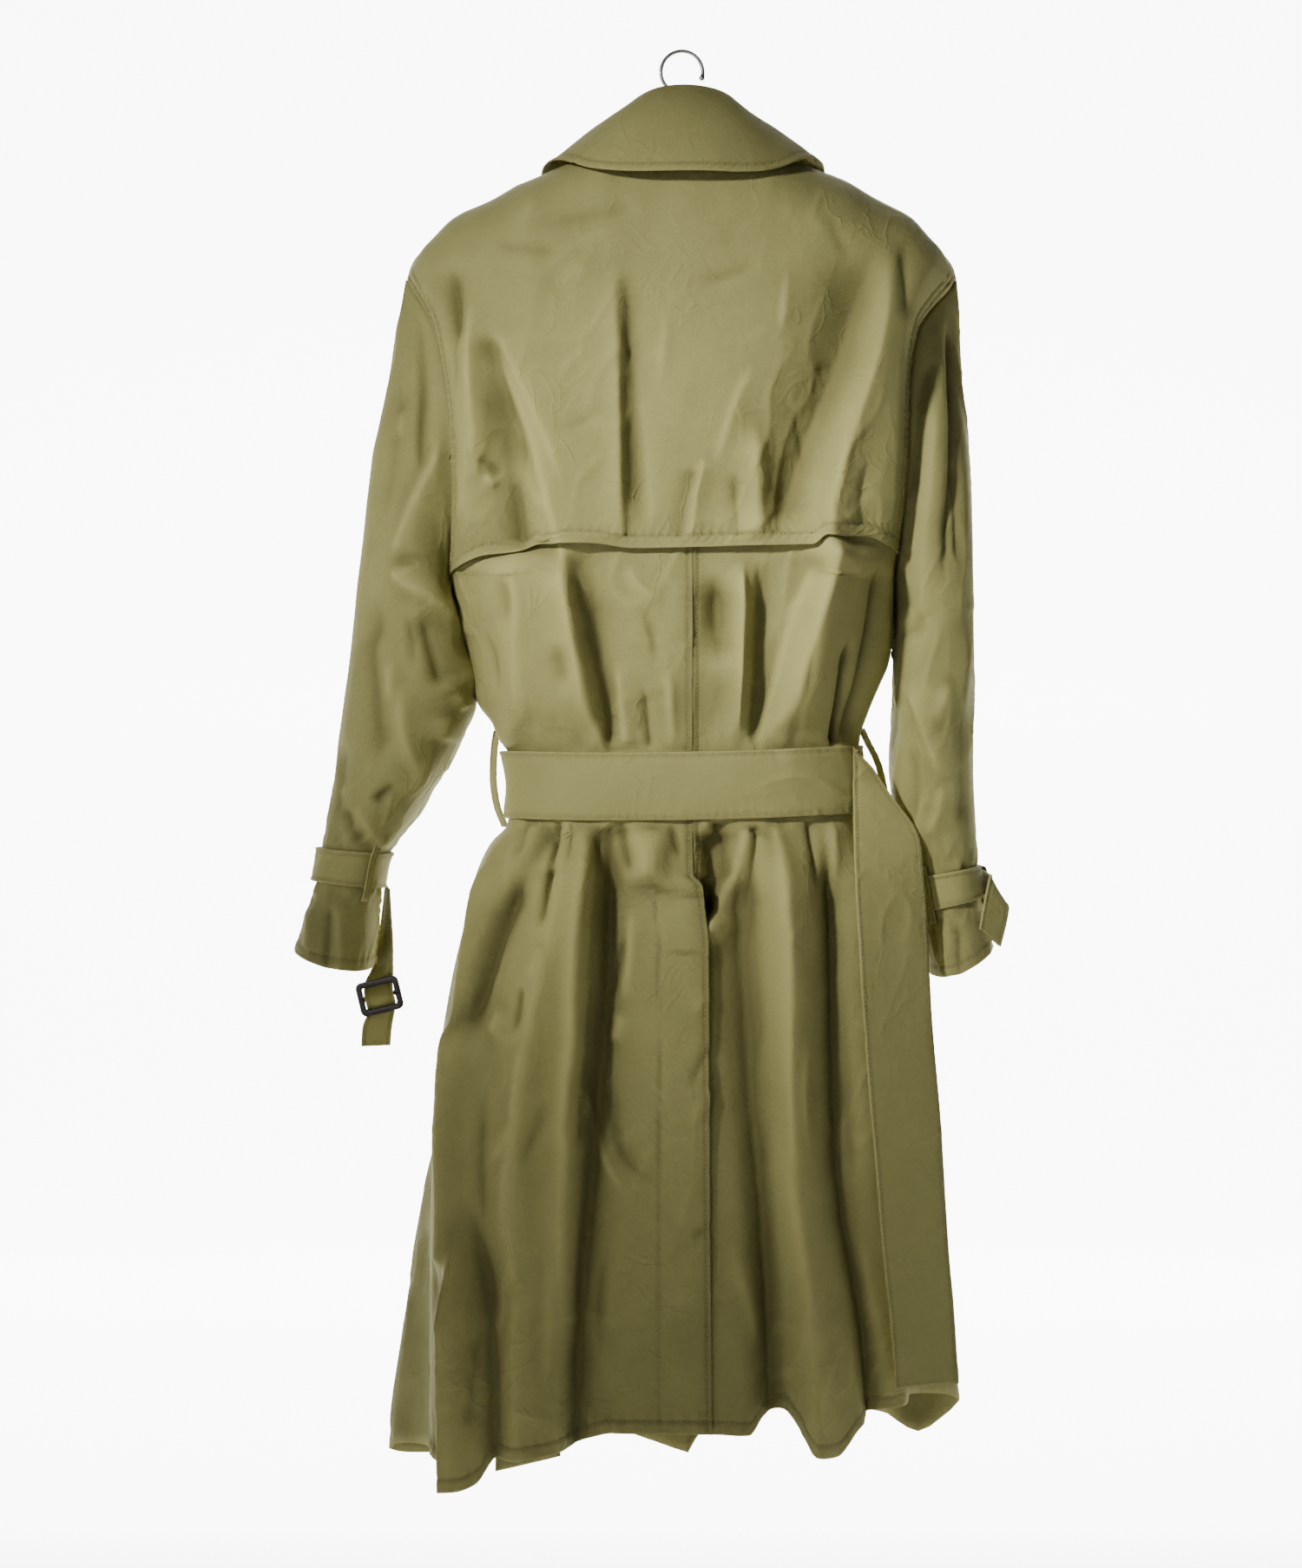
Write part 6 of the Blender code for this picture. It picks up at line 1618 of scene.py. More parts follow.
@dataclass
class BackPanels:
    """The two halves of the back. Below the centre seam the left one laps over the right one: the vent."""

    form: BodyForm
    cells: tuple[float, float] = (4.0, 1.95)
    length: float = 1060.0
    seam_gap: float = 0.2
    seam_row: float = 3.6
    hem: float = 10.0
    facing: float = 41.0
    box_rows: tuple[float, float] = (-703.5, -750.5)
    shells: dict[Side, Shell] = field(default_factory=dict)

    def shape(self) -> "BackPanels":
        """Lays out both panels with their folds, crumpling, seam and hem."""
        rows, cols = int(self.length / self.cells[0]), int(HALF_BACK / self.cells[1])
        below = 1 + graded(int(rows * LOWER_ROWS), end=1.5)[1:]
        levels = np.concatenate([np.linspace(0, 1, int(rows * UPPER_ROWS)), below])[:, None]
        ways = self.form.ways_at(graded(cols, start=2.5, end=0.6))
        for side in Side:
            points, normals, relief = self.form.patch(Face.BACK, side, ways, levels, BACK_CREASES)
            column = "overlap" if side is Side.LEFT else "underlap"
            edge = along(VENT_EDGES["height"], VENT_EDGES[column], points[..., 2])
            points[..., 0] += (edge - CENTRE_X + side.value * self.seam_gap) * ramp(ways, 0.3, 0.0)
            if side is Side.RIGHT:
                step = VENT_STEP * ramp(points[..., 2], -650, -672)
                points[..., 1] -= step * ramp(points[..., 0], -50, -28)
            normals = grid_normals(points, normals)
            shell = Shell(f"back_{side.word}", points, normals, relief)
            calm = ramp(np.abs(points[..., 2] - BELT_MIDDLE), 24, 40) * ramp(ways, 1, 0.97)
            shell.raised(crumple(points, 11 + side.value, 0.8) * calm)
            shell.raised(1.6 * self.gathers(points, side))
            shell.raised(hem_relief(points, Edge.FIRST, self.seam_row, 31 + side.value, pucker=0.55))
            shell.seams.append(bell(edge_distance(points, Edge.FIRST) - self.seam_row, SEAM_WIDTH))
            if side is Side.LEFT:
                self.face_vent(shell)
            shell.hemmed(Edge.BOTTOM, self.hem, 41 + side.value, pucker=0.9, pitch=11.0)
            self.shells[side] = shell
        return self

    def face_vent(self, shell: Shell) -> None:
        """Gives the overlap the relief of its stitched facing and of the box sewn at its top."""
        away, height = edge_distance(shell.points, Edge.FIRST), shell.points[..., 2]
        below = ramp(height, -700, -706)
        shell.raised(hem_relief(shell.points, Edge.FIRST, self.facing, 35, pucker=0.8, pitch=11.0) * below)
        shell.seams.append(bell(away - self.facing, SEAM_WIDTH) * below)
        inside = ramp(away, self.facing, self.facing - 3)
        for level in self.box_rows:
            row = bell(height - level - 0.13 * (away - 20), 1.5) * inside
            shell.raised(-0.9 * row)
            shell.seams.append(row)

    def gathers(self, points: Grid, side: Side) -> Grid:
        """The short uneven gathers above and below the belt."""
        off = np.abs(points[..., 2] - BELT_MIDDLE)
        reach = ramp(off, 24, 34) * ramp(off, 110, 36)
        line = np.stack([points[..., 0] + 0.12 * points[..., 2], 0.25 * points[..., 2]], axis=-1)
        wide, narrow = soft_noise(line, 15.0, 51 + side.value), soft_noise(line, 8.0, 55 + side.value)
        return reach * (wide + 0.5 * narrow)

    def dress(self, wardrobe: Wardrobe) -> None:
        """Builds the panels."""
        for shell in self.shells.values():
            dress(shell, wardrobe.cloth)

    def stitch(self) -> list[Stitching]:
        """The rows beside the centre seam, at the hems and at the top of the vent."""
        sewn = Stitching("back_stitches")
        for side, shell in self.shells.items():
            sewn.sew(shell.line(Edge.FIRST, self.seam_row), 0.3, 1.0 if side is Side.LEFT else 0.56)
            sewn.sew(shell.line(Edge.BOTTOM, self.hem))
        overlap = self.shells[Side.LEFT]
        sewn.sew(overlap.line(Edge.FIRST, self.facing), 0.545, 0.985)
        for row in (((23.0, -706.5), (-13.5, -700.7)), ((19.5, -753.0), (-17.5, -748.5))):
            sewn.sew(overlap.trace(row))
        return [sewn]


@dataclass
class StormFlap:
    """The flap over the shoulders: sewn in at the top and the armholes, free along its lower edge."""

    form: BodyForm
    cells: tuple[float, float] = (3.2, 1.85)
    length: float = 320.0
    lift: tuple[float, float] = (4.6, 7.6)
    side_lift: float = 1.3
    width_share: float = 0.997
    top_level: float = 0.012
    hem: float = 10.0
    armhole_rows: tuple[float, float] = (2.4, 8.5)
    shell: Shell | None = None

    def edge_levels(self, side: Side, ways: Grid) -> Grid:
        """The level at which each column reaches the flap's free edge."""
        level = np.full(len(ways), 0.94)
        for _ in range(8):
            place = self.form.point(Face.BACK, side, ways, level)
            target = along(FLAP_EDGE["across"], FLAP_EDGE["height"], place[..., 0])
            level = level + (place[..., 2] - target) / 300
        return level

    def shape(self) -> "StormFlap":
        """Lays out the flap on the back."""
        shares = graded(int(HALF_BACK / self.cells[1]), end=2.5, reach=0.05)
        ways = self.form.ways_at(shares) * self.width_share
        rows = graded(int(self.length / self.cells[0]), end=2.5)[:, None]
        halves = []
        for side in Side:
            edge = self.edge_levels(side, ways)
            levels = self.top_level + (edge - self.top_level) * rows
            points, normals, relief = self.form.patch(Face.BACK, side, ways, levels, BACK_CREASES)
            aside = ramp(ways, 0.75, ways[-1])[None, :, None]
            leaning = unit(normals * (1 - 0.6 * aside) + np.array([0, 1.0, 0.3]) * 0.6 * aside)
            lift = self.lift[0] + (self.lift[1] - self.lift[0]) * ramp(rows, 0.6, 1.0)
            lift = self.side_lift + (lift - self.side_lift) * ramp(ways, 0.995, 0.93)
            halves.append((points + leaning * lift[..., None], normals, relief))
        joined = [np.concatenate([halves[0][k][:, :0:-1], halves[1][k]], axis=1) for k in range(3)]
        shell = Shell("storm_flap", *joined)
        shell.normals = grid_normals(shell.points, shell.normals)
        waves = soft_noise(shell.points[..., :1], 30.0, 61) * ramp(rows, 0.7, 1.0)
        shell.raised(crumple(shell.points, 63, 0.8) + 1.2 * waves)
        shell.hemmed(Edge.BOTTOM, self.hem, 65, pucker=0.95, pitch=7.5)
        near, far = self.armhole_rows
        for edge, seed in ((Edge.FIRST, 67), (Edge.LAST, 69)):
            shell.hemmed(edge, far, seed, pucker=1.2, pitch=7.0)
            shell.hemmed(edge, near, seed + 1, pucker=0.3)
        self.shell = shell
        return self

    def dress(self, wardrobe: Wardrobe) -> None:
        """Builds the flap."""
        dress(self.shell, wardrobe.cloth)

    def stitch(self) -> list[Stitching]:
        """One row above the flap's edge and two beside each armhole."""
        sewn = Stitching("flap_stitches").sew(self.shell.line(Edge.BOTTOM, self.hem))
        for edge in (Edge.FIRST, Edge.LAST):
            for inset in self.armhole_rows:
                sewn.sew(self.shell.line(edge, inset), 0.04, 1.0)
        return [sewn]


@dataclass
class FrontPanels:
    """The two fronts, whose inner edges start as the lapels' roll lines; the right one laps over."""

    form: BodyForm
    cells: tuple[float, float] = (7.2, 3.8)
    length: float = 1090.0
    width: float = 290.0
    edge_row: float = 7.0
    hem: float = 10.0
    shells: dict[Side, Shell] = field(default_factory=dict)

    def shape(self) -> "FrontPanels":
        """Lays out both fronts."""
        rows, cols = int(self.length / self.cells[0]), int(self.width / self.cells[1])
        below = 1 + np.linspace(0, 1, int(rows * LOWER_ROWS))[1:]
        levels = np.concatenate([np.linspace(0, 1, int(rows * UPPER_ROWS)), below])[:, None]
        for side in Side:
            points, normals, relief = self.form.front(side, self.form.ways(cols), levels, FRONT_CREASES)
            shell = Shell(f"front_{side.word}", points, grid_normals(points, normals), relief)
            calm = ramp(np.abs(points[..., 2] - BELT_MIDDLE), 28, 60)
            shell.raised(crumple(points, 71 + side.value, 0.8) * calm)
            shell.hemmed(Edge.FIRST, self.edge_row, 75 + side.value, pucker=0.3)
            shell.hemmed(Edge.BOTTOM, self.hem, 77 + side.value, pucker=0.8, pitch=11.0)
            self.shells[side] = shell
        return self

    def places(self, side: Side, across: Grid, height: Grid) -> tuple[Grid, Grid]:
        """The points and normals of a front nearest to places given as (across, height)."""
        ways, levels = np.linspace(0, 1, 80), np.linspace(0.02, 1.6, 200)[:, None]
        points, normals, _ = self.form.front(side, ways, levels, finest=self.form.coarse_fold)
        points, normals = points.reshape(-1, 3), normals.reshape(-1, 3)
        across, height = np.ravel(across), np.ravel(height)
        nearest = np.hypot(points[:, 0] - across[:, None], points[:, 2] - height[:, None]).argmin(axis=1)
        return points[nearest], normals[nearest]

    def lapels(self) -> list[Shell]:
        """Each lapel, turned back over its own front from the roll line to the outer edge."""
        made = []
        rows, cols = np.linspace(0, 1, LAPEL_ROWS + 1), np.linspace(0, 1, LAPEL_COLUMNS + 1)
        for side in Side:
            roll_z = along(LAPEL["way"], LAPEL["roll_height"], rows)
            roll_x = along(FRONT_EDGE["height"], FRONT_EDGE[side.word], roll_z)
            outer_x = along(LAPEL["way"], LAPEL["outer_x"], rows)
            outer_z = along(LAPEL["way"], LAPEL["outer_z"], rows)
            across = roll_x[:, None] + (outer_x - roll_x)[:, None] * cols + LAPEL_ROLL
            height = roll_z[:, None] + (outer_z - roll_z)[:, None] * cols
            points = self.places(side, side.value * across, height)[0].reshape(*across.shape, 3)
            points[..., 0], points[..., 2] = side.value * across, height
            points[..., 1] -= LAPEL_LIFT + LAPEL_BULGE * np.sin(math.pi * cols)
            points = cleared(smoothed(points, 2), self.form.cloud(side)[1:], [3.7])
            points = refined(points, 90, 50)
            shell = Shell(f"lapel_{side.word}", points, grid_normals(points, np.array([0, -1.0, 0])))
            shell.raised(0.5 * crumple(points, 81 + side.value))
            made.append(shell.hemmed(Edge.LAST, 6.5, 83 + side.value, pucker=0.3))
        return made

    def dress(self, wardrobe: Wardrobe) -> None:
        """Builds the fronts and their lapels."""
        for shell in (*self.shells.values(), *self.lapels()):
            dress(shell, wardrobe.cloth)

    def stitch(self) -> list[Stitching]:
        """The rows along the front edges and the hems."""
        sewn = Stitching("front_stitches")
        for shell in self.shells.values():
            sewn.sew(shell.line(Edge.FIRST, self.edge_row), 0.34, 1.0)
            sewn.sew(shell.line(Edge.BOTTOM, self.hem))
        return [sewn]


@dataclass
class Collar:
    """The stand rises from the neck, and the fall hangs outside it from the fold to its free edge."""

    form: BodyForm
    hem: float = 7.0
    fineness: tuple[int, int] = (48, 190)
    rests: tuple[float, float] = (8.6, 4.6)
    stand_gap: float = 2.8
    stand_drop: float = 1.0
    stand_fineness: int = 20
    fall: Shell | None = None
    stand: Shell | None = None

    def lines(self) -> list[Grid]:
        """The fold, the free edge and the foot, from the left front end round the back to the right one."""
        way = np.linspace(-1, 1, 2 * COLLAR_SECTIONS + 1)
        mirror = -np.sign(way)
        found = []
        for part in ("fold", "edge", "foot"):
            x, y, z = (along(COLLAR["way"], COLLAR[f"{part}_{axis}"], np.abs(way)) for axis in "xyz")
            found.append(np.stack([x * mirror + COLLAR_SHIFT[part] * (1 - np.abs(way)), y, z], axis=-1))
        return found

    def shape(self) -> "Collar":
        """Lays out the stand and the fall."""
        fold, edge, foot = self.lines()
        rows = np.linspace(0, 1, FALL_ROWS + 1)[:, None, None]
        outwards = unit(np.cross(np.gradient(fold, axis=0), edge - fold))
        outwards = np.where(outwards[:, 2:] < 0, -outwards, outwards)
        fall = fold + (edge - fold) * rows + outwards * FALL_BULGE * np.sin(math.pi * rows**0.6)
        clouds = self.form.cloud(Side.LEFT) + self.form.cloud(Side.RIGHT)
        rests = self.rests * 2
        for _ in range(2):
            fall = smoothed(cleared(fall, clouds, rests), 1)
        fall = refined(cleared(fall, clouds, rests), *self.fineness)
        facing = refined_rows(outwards, self.fineness[1])
        shell = Shell("collar_fall", fall, grid_normals(fall, np.broadcast_to(facing, fall.shape)))
        rows_fine = np.linspace(0, 1, self.fineness[0])[:, None]
        waves = 1.5 * soft_noise(fall[..., :1], 30.0, 91) * ramp(rows_fine, 0.5, 1.0)
        shell.raised(0.7 * crumple(fall, 93) + waves)
        shell.hemmed(Edge.BOTTOM, self.hem, 95, pucker=0.8, pitch=7.5)
        for end, seed in ((Edge.FIRST, 97), (Edge.LAST, 99)):
            shell.hemmed(end, self.hem, seed, pucker=0.3)
        self.fall = shell
        rows = np.linspace(0, 1, STAND_ROWS + 1)[:, None, None]
        down = unit(refined_rows(edge - fold, self.fineness[1]))
        top = fall[0] - shell.normals[0] * self.stand_gap + down * self.stand_drop
        base = refined_rows(foot + np.array([0, 0, STAND_FOOT]), self.fineness[1])
        stand = base + (top - base) * rows
        across = unit(np.cross(np.gradient(base, axis=0), top - base))
        inward = (across * base * np.array([1.0, 1.0, 0])).sum(-1, keepdims=True) < 0
        across = np.where(inward, -across, across)
        stand = refined_rows(stand, self.stand_fineness)
        self.stand = Shell("collar_stand", stand, np.broadcast_to(across, stand.shape).copy())
        return self

    def dress(self, wardrobe: Wardrobe) -> None:
        """Builds both."""
        dress(self.fall, wardrobe.cloth)
        # the stand gets the darker copy of the cloth, as painted shade under the fall
        dress(self.stand, wardrobe.inside)

    def stitch(self) -> list[Stitching]:
        """One row inside the fall's free edge."""
        return [Stitching("collar_stitches").sew(self.fall.line(Edge.BOTTOM, self.hem), 0.02, 0.98)]


@dataclass
class Sleeve:
    """One sleeve with its cuff strap, its strap loop and its slider."""

    form: BodyForm
    side: Side
    table: Table
    creases: tuple[Stroke, ...]
    loop_turn: float
    slack: float
    cells: tuple[int, int] = (165, 160)
    roundness: float = 0.9
    crispness: float = 1.45
    armhole_ease: float = 0.9
    hem: float = 8.0
    strap_rings: tuple[float, float] = (9.4, 11.1)
    strap_middle: float = 10.2
    strap_lift: float = 3.6
    cuff_depth: float = 46.0
    loop_width: float = 9.0
    shell: Shell | None = None
    strap: Shell | None = None

    def point(self, turns: Grid, rings: Grid) -> Grid:
        """The sleeve's surface without its folds.

        Args:
            turns: angles that run outer, back, inner, front.
            rings: rows of the table, from 1.

        Returns:
            The points.
        """
        count = np.arange(1, len(self.table["outer_x"]) + 1)
        turns, rings = np.broadcast_arrays(np.asarray(turns, float), np.asarray(rings, float))
        at = {name: along(count, values, rings) for name, values in self.table.items()}
        cosine, sine = np.cos(turns), np.sin(turns)
        swing = np.sign(cosine) * np.abs(cosine) ** self.roundness
        deep = np.sign(sine) * np.abs(sine) ** self.roundness
        x = (at["outer_x"] + at["inner_x"]) / 2 + (at["outer_x"] - at["inner_x"]) / 2 * swing
        z = (at["outer_z"] + at["inner_z"]) / 2 + (at["outer_z"] - at["inner_z"]) / 2 * swing
        z = z - HEM_SAG * np.clip(sine, 0, 1) * ramp(rings, count[-3], count[-1])
        y = at["half_depth"] * deep - at["forward"]
        return np.stack([self.side.value * x, y, z], axis=-1)

    def armhole(self, count: int) -> tuple[Grid, Grid]:
        """The armhole, down the back and up the front, with the share of the run at each point."""
        levels = np.linspace(0, 1, count)
        back = self.form.patch(Face.BACK, self.side, np.ones(count), levels)[0]
        front = self.form.patch(Face.FRONT, self.side, np.ones(count), levels)[0]
        ring = np.concatenate([back, front[-2::-1]])
        run = run_along(ring)
        share = np.linspace(0, 1, self.cells[1] + 1)
        return read_line(share * run[-1], run, ring), share

    def shape(self) -> "Sleeve":
        """Lays out the sleeve from its armhole to its cuff."""
        ring, share = self.armhole(160)
        turns = math.tau * share
        last = len(self.table["outer_x"])
        lower = self.point(turns, np.arange(1, last + 1)[:, None])
        first = ring + unit(lower[0] - ring) * 0.3 + np.array([self.side.value * self.armhole_ease, 0, 0])
        points = np.concatenate([[first], lower])
        for _ in range(2):
            points[1:4] = (points[0:3] + 2 * points[1:4] + points[2:5]) / 4
        points = refined_rows(points, self.cells[0])
        middle = points[:, :-1].mean(axis=1, keepdims=True)
        outwards = grid_normals(points, points - middle, ring=True)
        shell = Shell(f"sleeve_{self.side.word}", points, outwards, ring=True)
        way = np.linspace(0, 1, self.cells[0])[:, None]
        sine = np.sin(turns)
        behind, before = ramp(sine, -0.15, 0.35), ramp(sine, 0.15, -0.35)
        x, z = points[..., 0], points[..., 2]
        height = self.crispness * stroke_height(x, z, self.creases, 1.9, 1.6) * behind
        height = height + 0.8 * stroke_height(x - self.side.value * 9, z + 26, self.creases, 3.5) * before
        off_strap = np.minimum(np.abs(way * last - self.strap_middle), 9)
        height = height * ramp(way, 0.0, 0.06) * ramp(off_strap, 0.7, 1.6)
        crumpled = crumple(points, 101 + self.side.value, 0.9) * ramp(way, 0, 0.05)
        shell.raised(height + crumpled * ramp(off_strap, 0.6, 1.5))
        pinch = soft_noise(np.stack([14 * turns + 0 * x, 0.3 * z], axis=-1), 2.6, 103 + self.side.value)
        shell.raised(1.3 * pinch * ramp(off_strap, 0.75, 1.0) * ramp(off_strap, 2.4, 1.1))
        shell.closed().hemmed(Edge.BOTTOM, self.hem, 105 + self.side.value, pucker=0.5, pitch=10.0)
        wave = np.sin(z / 1.6 + 3 * soft_noise(points[..., 2:], 18.0, 107))
        seam = -0.9 * bell(turns - math.pi, 0.03) + 0.7 * wave * bell(turns - math.pi, 0.12)
        shell.raised(seam * ramp(way, 0, 0.05))
        shell.closed()
        inner = (shell.points[0, :-1].mean(axis=0) - shell.points[0]) * np.array([0, 1.0, 1.0])
        shell.tucked(unit(inner) * 2.5 - np.array([self.side.value * 5.0, 0, 0]))
        self.shell = shell
        return self

    def shape_strap(self) -> Shell:
        """The strap round the wrist."""
        turns = np.linspace(0, math.tau, 121)
        rings = np.linspace(*self.strap_rings, 16)[:, None]
        points = self.point(turns, rings)
        out = unit((points - points[:, :-1].mean(axis=(0, 1))) * np.array([1.0, 1.0, 0]))
        stand_off = self.strap_lift + self.slack * ramp(np.cos(turns), 0.3, 1.0)
        points = points + out * stand_off[None, :, None]
        shell = Shell(f"cuff_strap_{self.side.word}", points, out, ring=True, thickness=1.7)
        shell.raised(0.35 * crumple(shell.points, 111 + self.side.value), out)
        shell.closed()
        for edge, seed in ((Edge.TOP, 113), (Edge.BOTTOM, 115)):
            shell.hemmed(edge, 2.6, seed + self.side.value, pucker=0.2, pitch=7.0)
        self.strap = shell.closed()
        return shell

    def shape_loop(self) -> Shell:
        """The narrow loop that holds the strap to the sleeve."""
        first, last = self.strap_rings
        rings = np.linspace(first - 0.5, last + 0.6, 25)[:, None]
        half = self.loop_width / 2 / self.cuff_depth
        points = self.point(np.linspace(self.loop_turn - half, self.loop_turn + half, 9), rings)
        middle = self.point(np.linspace(0, math.tau, 13)[:-1], rings).mean(axis=1, keepdims=True)
        out = unit((points - middle) * np.array([1.0, 1.0, 0]))
        lift = 1.7 + 5.2 * np.sin(np.linspace(0, math.pi, 25)) ** 0.5
        shell = Shell(f"cuff_loop_{self.side.word}", points + out * lift[:, None, None], out, thickness=1.2)
        for edge, seed in ((Edge.FIRST, 117), (Edge.LAST, 119)):
            shell.hemmed(edge, 1.6, seed, pucker=0.1, pitch=5.0)
        return shell

    def dress(self, wardrobe: Wardrobe) -> None:
        """Builds the sleeve, its strap and its loop."""
        dress(self.shell, wardrobe.cloth)
        dress(self.shape_strap(), wardrobe.belting)
        dress(self.shape_loop(), wardrobe.belting)

    def stitch(self) -> list[Stitching]:
        """The rows of the hem and of the strap."""
        sewn = Stitching(f"sleeve_stitches_{self.side.word}").sew(self.shell.line(Edge.BOTTOM, self.hem))
        for edge in (Edge.TOP, Edge.BOTTOM):
            sewn.sew(self.strap.line(edge, 2.4))
        return [sewn]


@dataclass
class Strip:
    """A straight-cut band of cloth that follows rows of two edge points."""

    name: str
    rows: Sequence[Sequence[float]]
    cells: tuple[int, int]
    thickness: float = 1.8
    hem: float = 2.4
    cup: float = 0.0
    crumpled: float = 0.5
    seed: int = 0
    shell: Shell | None = None

    def shape(self) -> "Strip":
        """Lays out the strip; the outer face of its first row looks back."""
        rows = np.array(self.rows, float)
        places = np.linspace(0, 1, 5)[None, :, None]
        points = refined(rows[:, None, :3] + (rows[:, None, 3:] - rows[:, None, :3]) * places, *self.cells)
        normals = unit(np.cross(np.gradient(points, axis=0), np.gradient(points, axis=1)))
        normals = normals * np.sign(normals[0, self.cells[1] // 2] @ np.array([0.1, 1.0, 0]))
        shell = Shell(self.name, points, normals, thickness=self.thickness)
        across = np.linspace(-1, 1, self.cells[1])
        bowed = self.cup * (1 - across**2) + self.crumpled * crumple(points, 131 + self.seed)
        shell.raised(bowed)
        for edge, seed in ((Edge.FIRST, 133), (Edge.LAST, 135)):
            shell.hemmed(edge, self.hem, seed + self.seed, pucker=0.16, pitch=8.0)
        self.shell = shell
        return self

    def stitch_rows(self, sewn: Stitching, end_row: bool = True) -> Stitching:
        """Sews a row inside both edges, and one across the end."""
        for edge in (Edge.FIRST, Edge.LAST):
            sewn.sew(self.shell.line(edge, self.hem))
        if end_row:
            sewn.sew(self.shell.line(Edge.BOTTOM, self.hem))
        return sewn


@dataclass
class StrapEnds:
    """The cuff straps' free ends, threaded through their sliders."""

    left: Strip = field(init=False)
    right: Strip = field(init=False)

    def threaded(self, slider: Rows) -> Rows:
        """Rows of a strap that runs behind a slider's rails and over its bar."""
        centre, across, up = (np.array(part, float) for part in slider)
        across, up = unit(across), unit(up)
        out = np.cross(across, up)
        rows = []
        for height, off, shift in THREADING:
            middle = centre + up * height + out * off
            first, last = (middle + across * (shift + half) for half in (-THREAD_HALF, THREAD_HALF))
            rows.append((*first, *last))
        return tuple(rows)

    def __post_init__(self) -> None:
        """Lays out both ends."""
        self.left = self.end("left", LEFT_STRAP_ABOVE, LEFT_SLIDER, LEFT_STRAP_BELOW, 1)
        self.right = self.end("right", RIGHT_STRAP_ABOVE, RIGHT_SLIDER, RIGHT_STRAP_BELOW, 2)

    def end(self, word: str, above: Rows, slider: Rows, below: Rows, seed: int) -> Strip:
        """One end, from its strap through the slider to its tip."""
        rows = above + self.threaded(slider) + below
        strip = Strip(f"cuff_strap_end_{word}", rows, (110, 20), hem=2.2, crumpled=0.15, seed=seed)
        return strip.shape()

    def dress(self, wardrobe: Wardrobe) -> None:
        """Builds both ends."""
        for strip in (self.left, self.right):
            dress(strip.shell, wardrobe.belting)

    def stitch(self) -> list[Stitching]:
        """The rows along both ends."""
        sewn = Stitching("strap_end_stitches")
        for strip in (self.left, self.right):
            strip.stitch_rows(sewn)
        return [sewn]


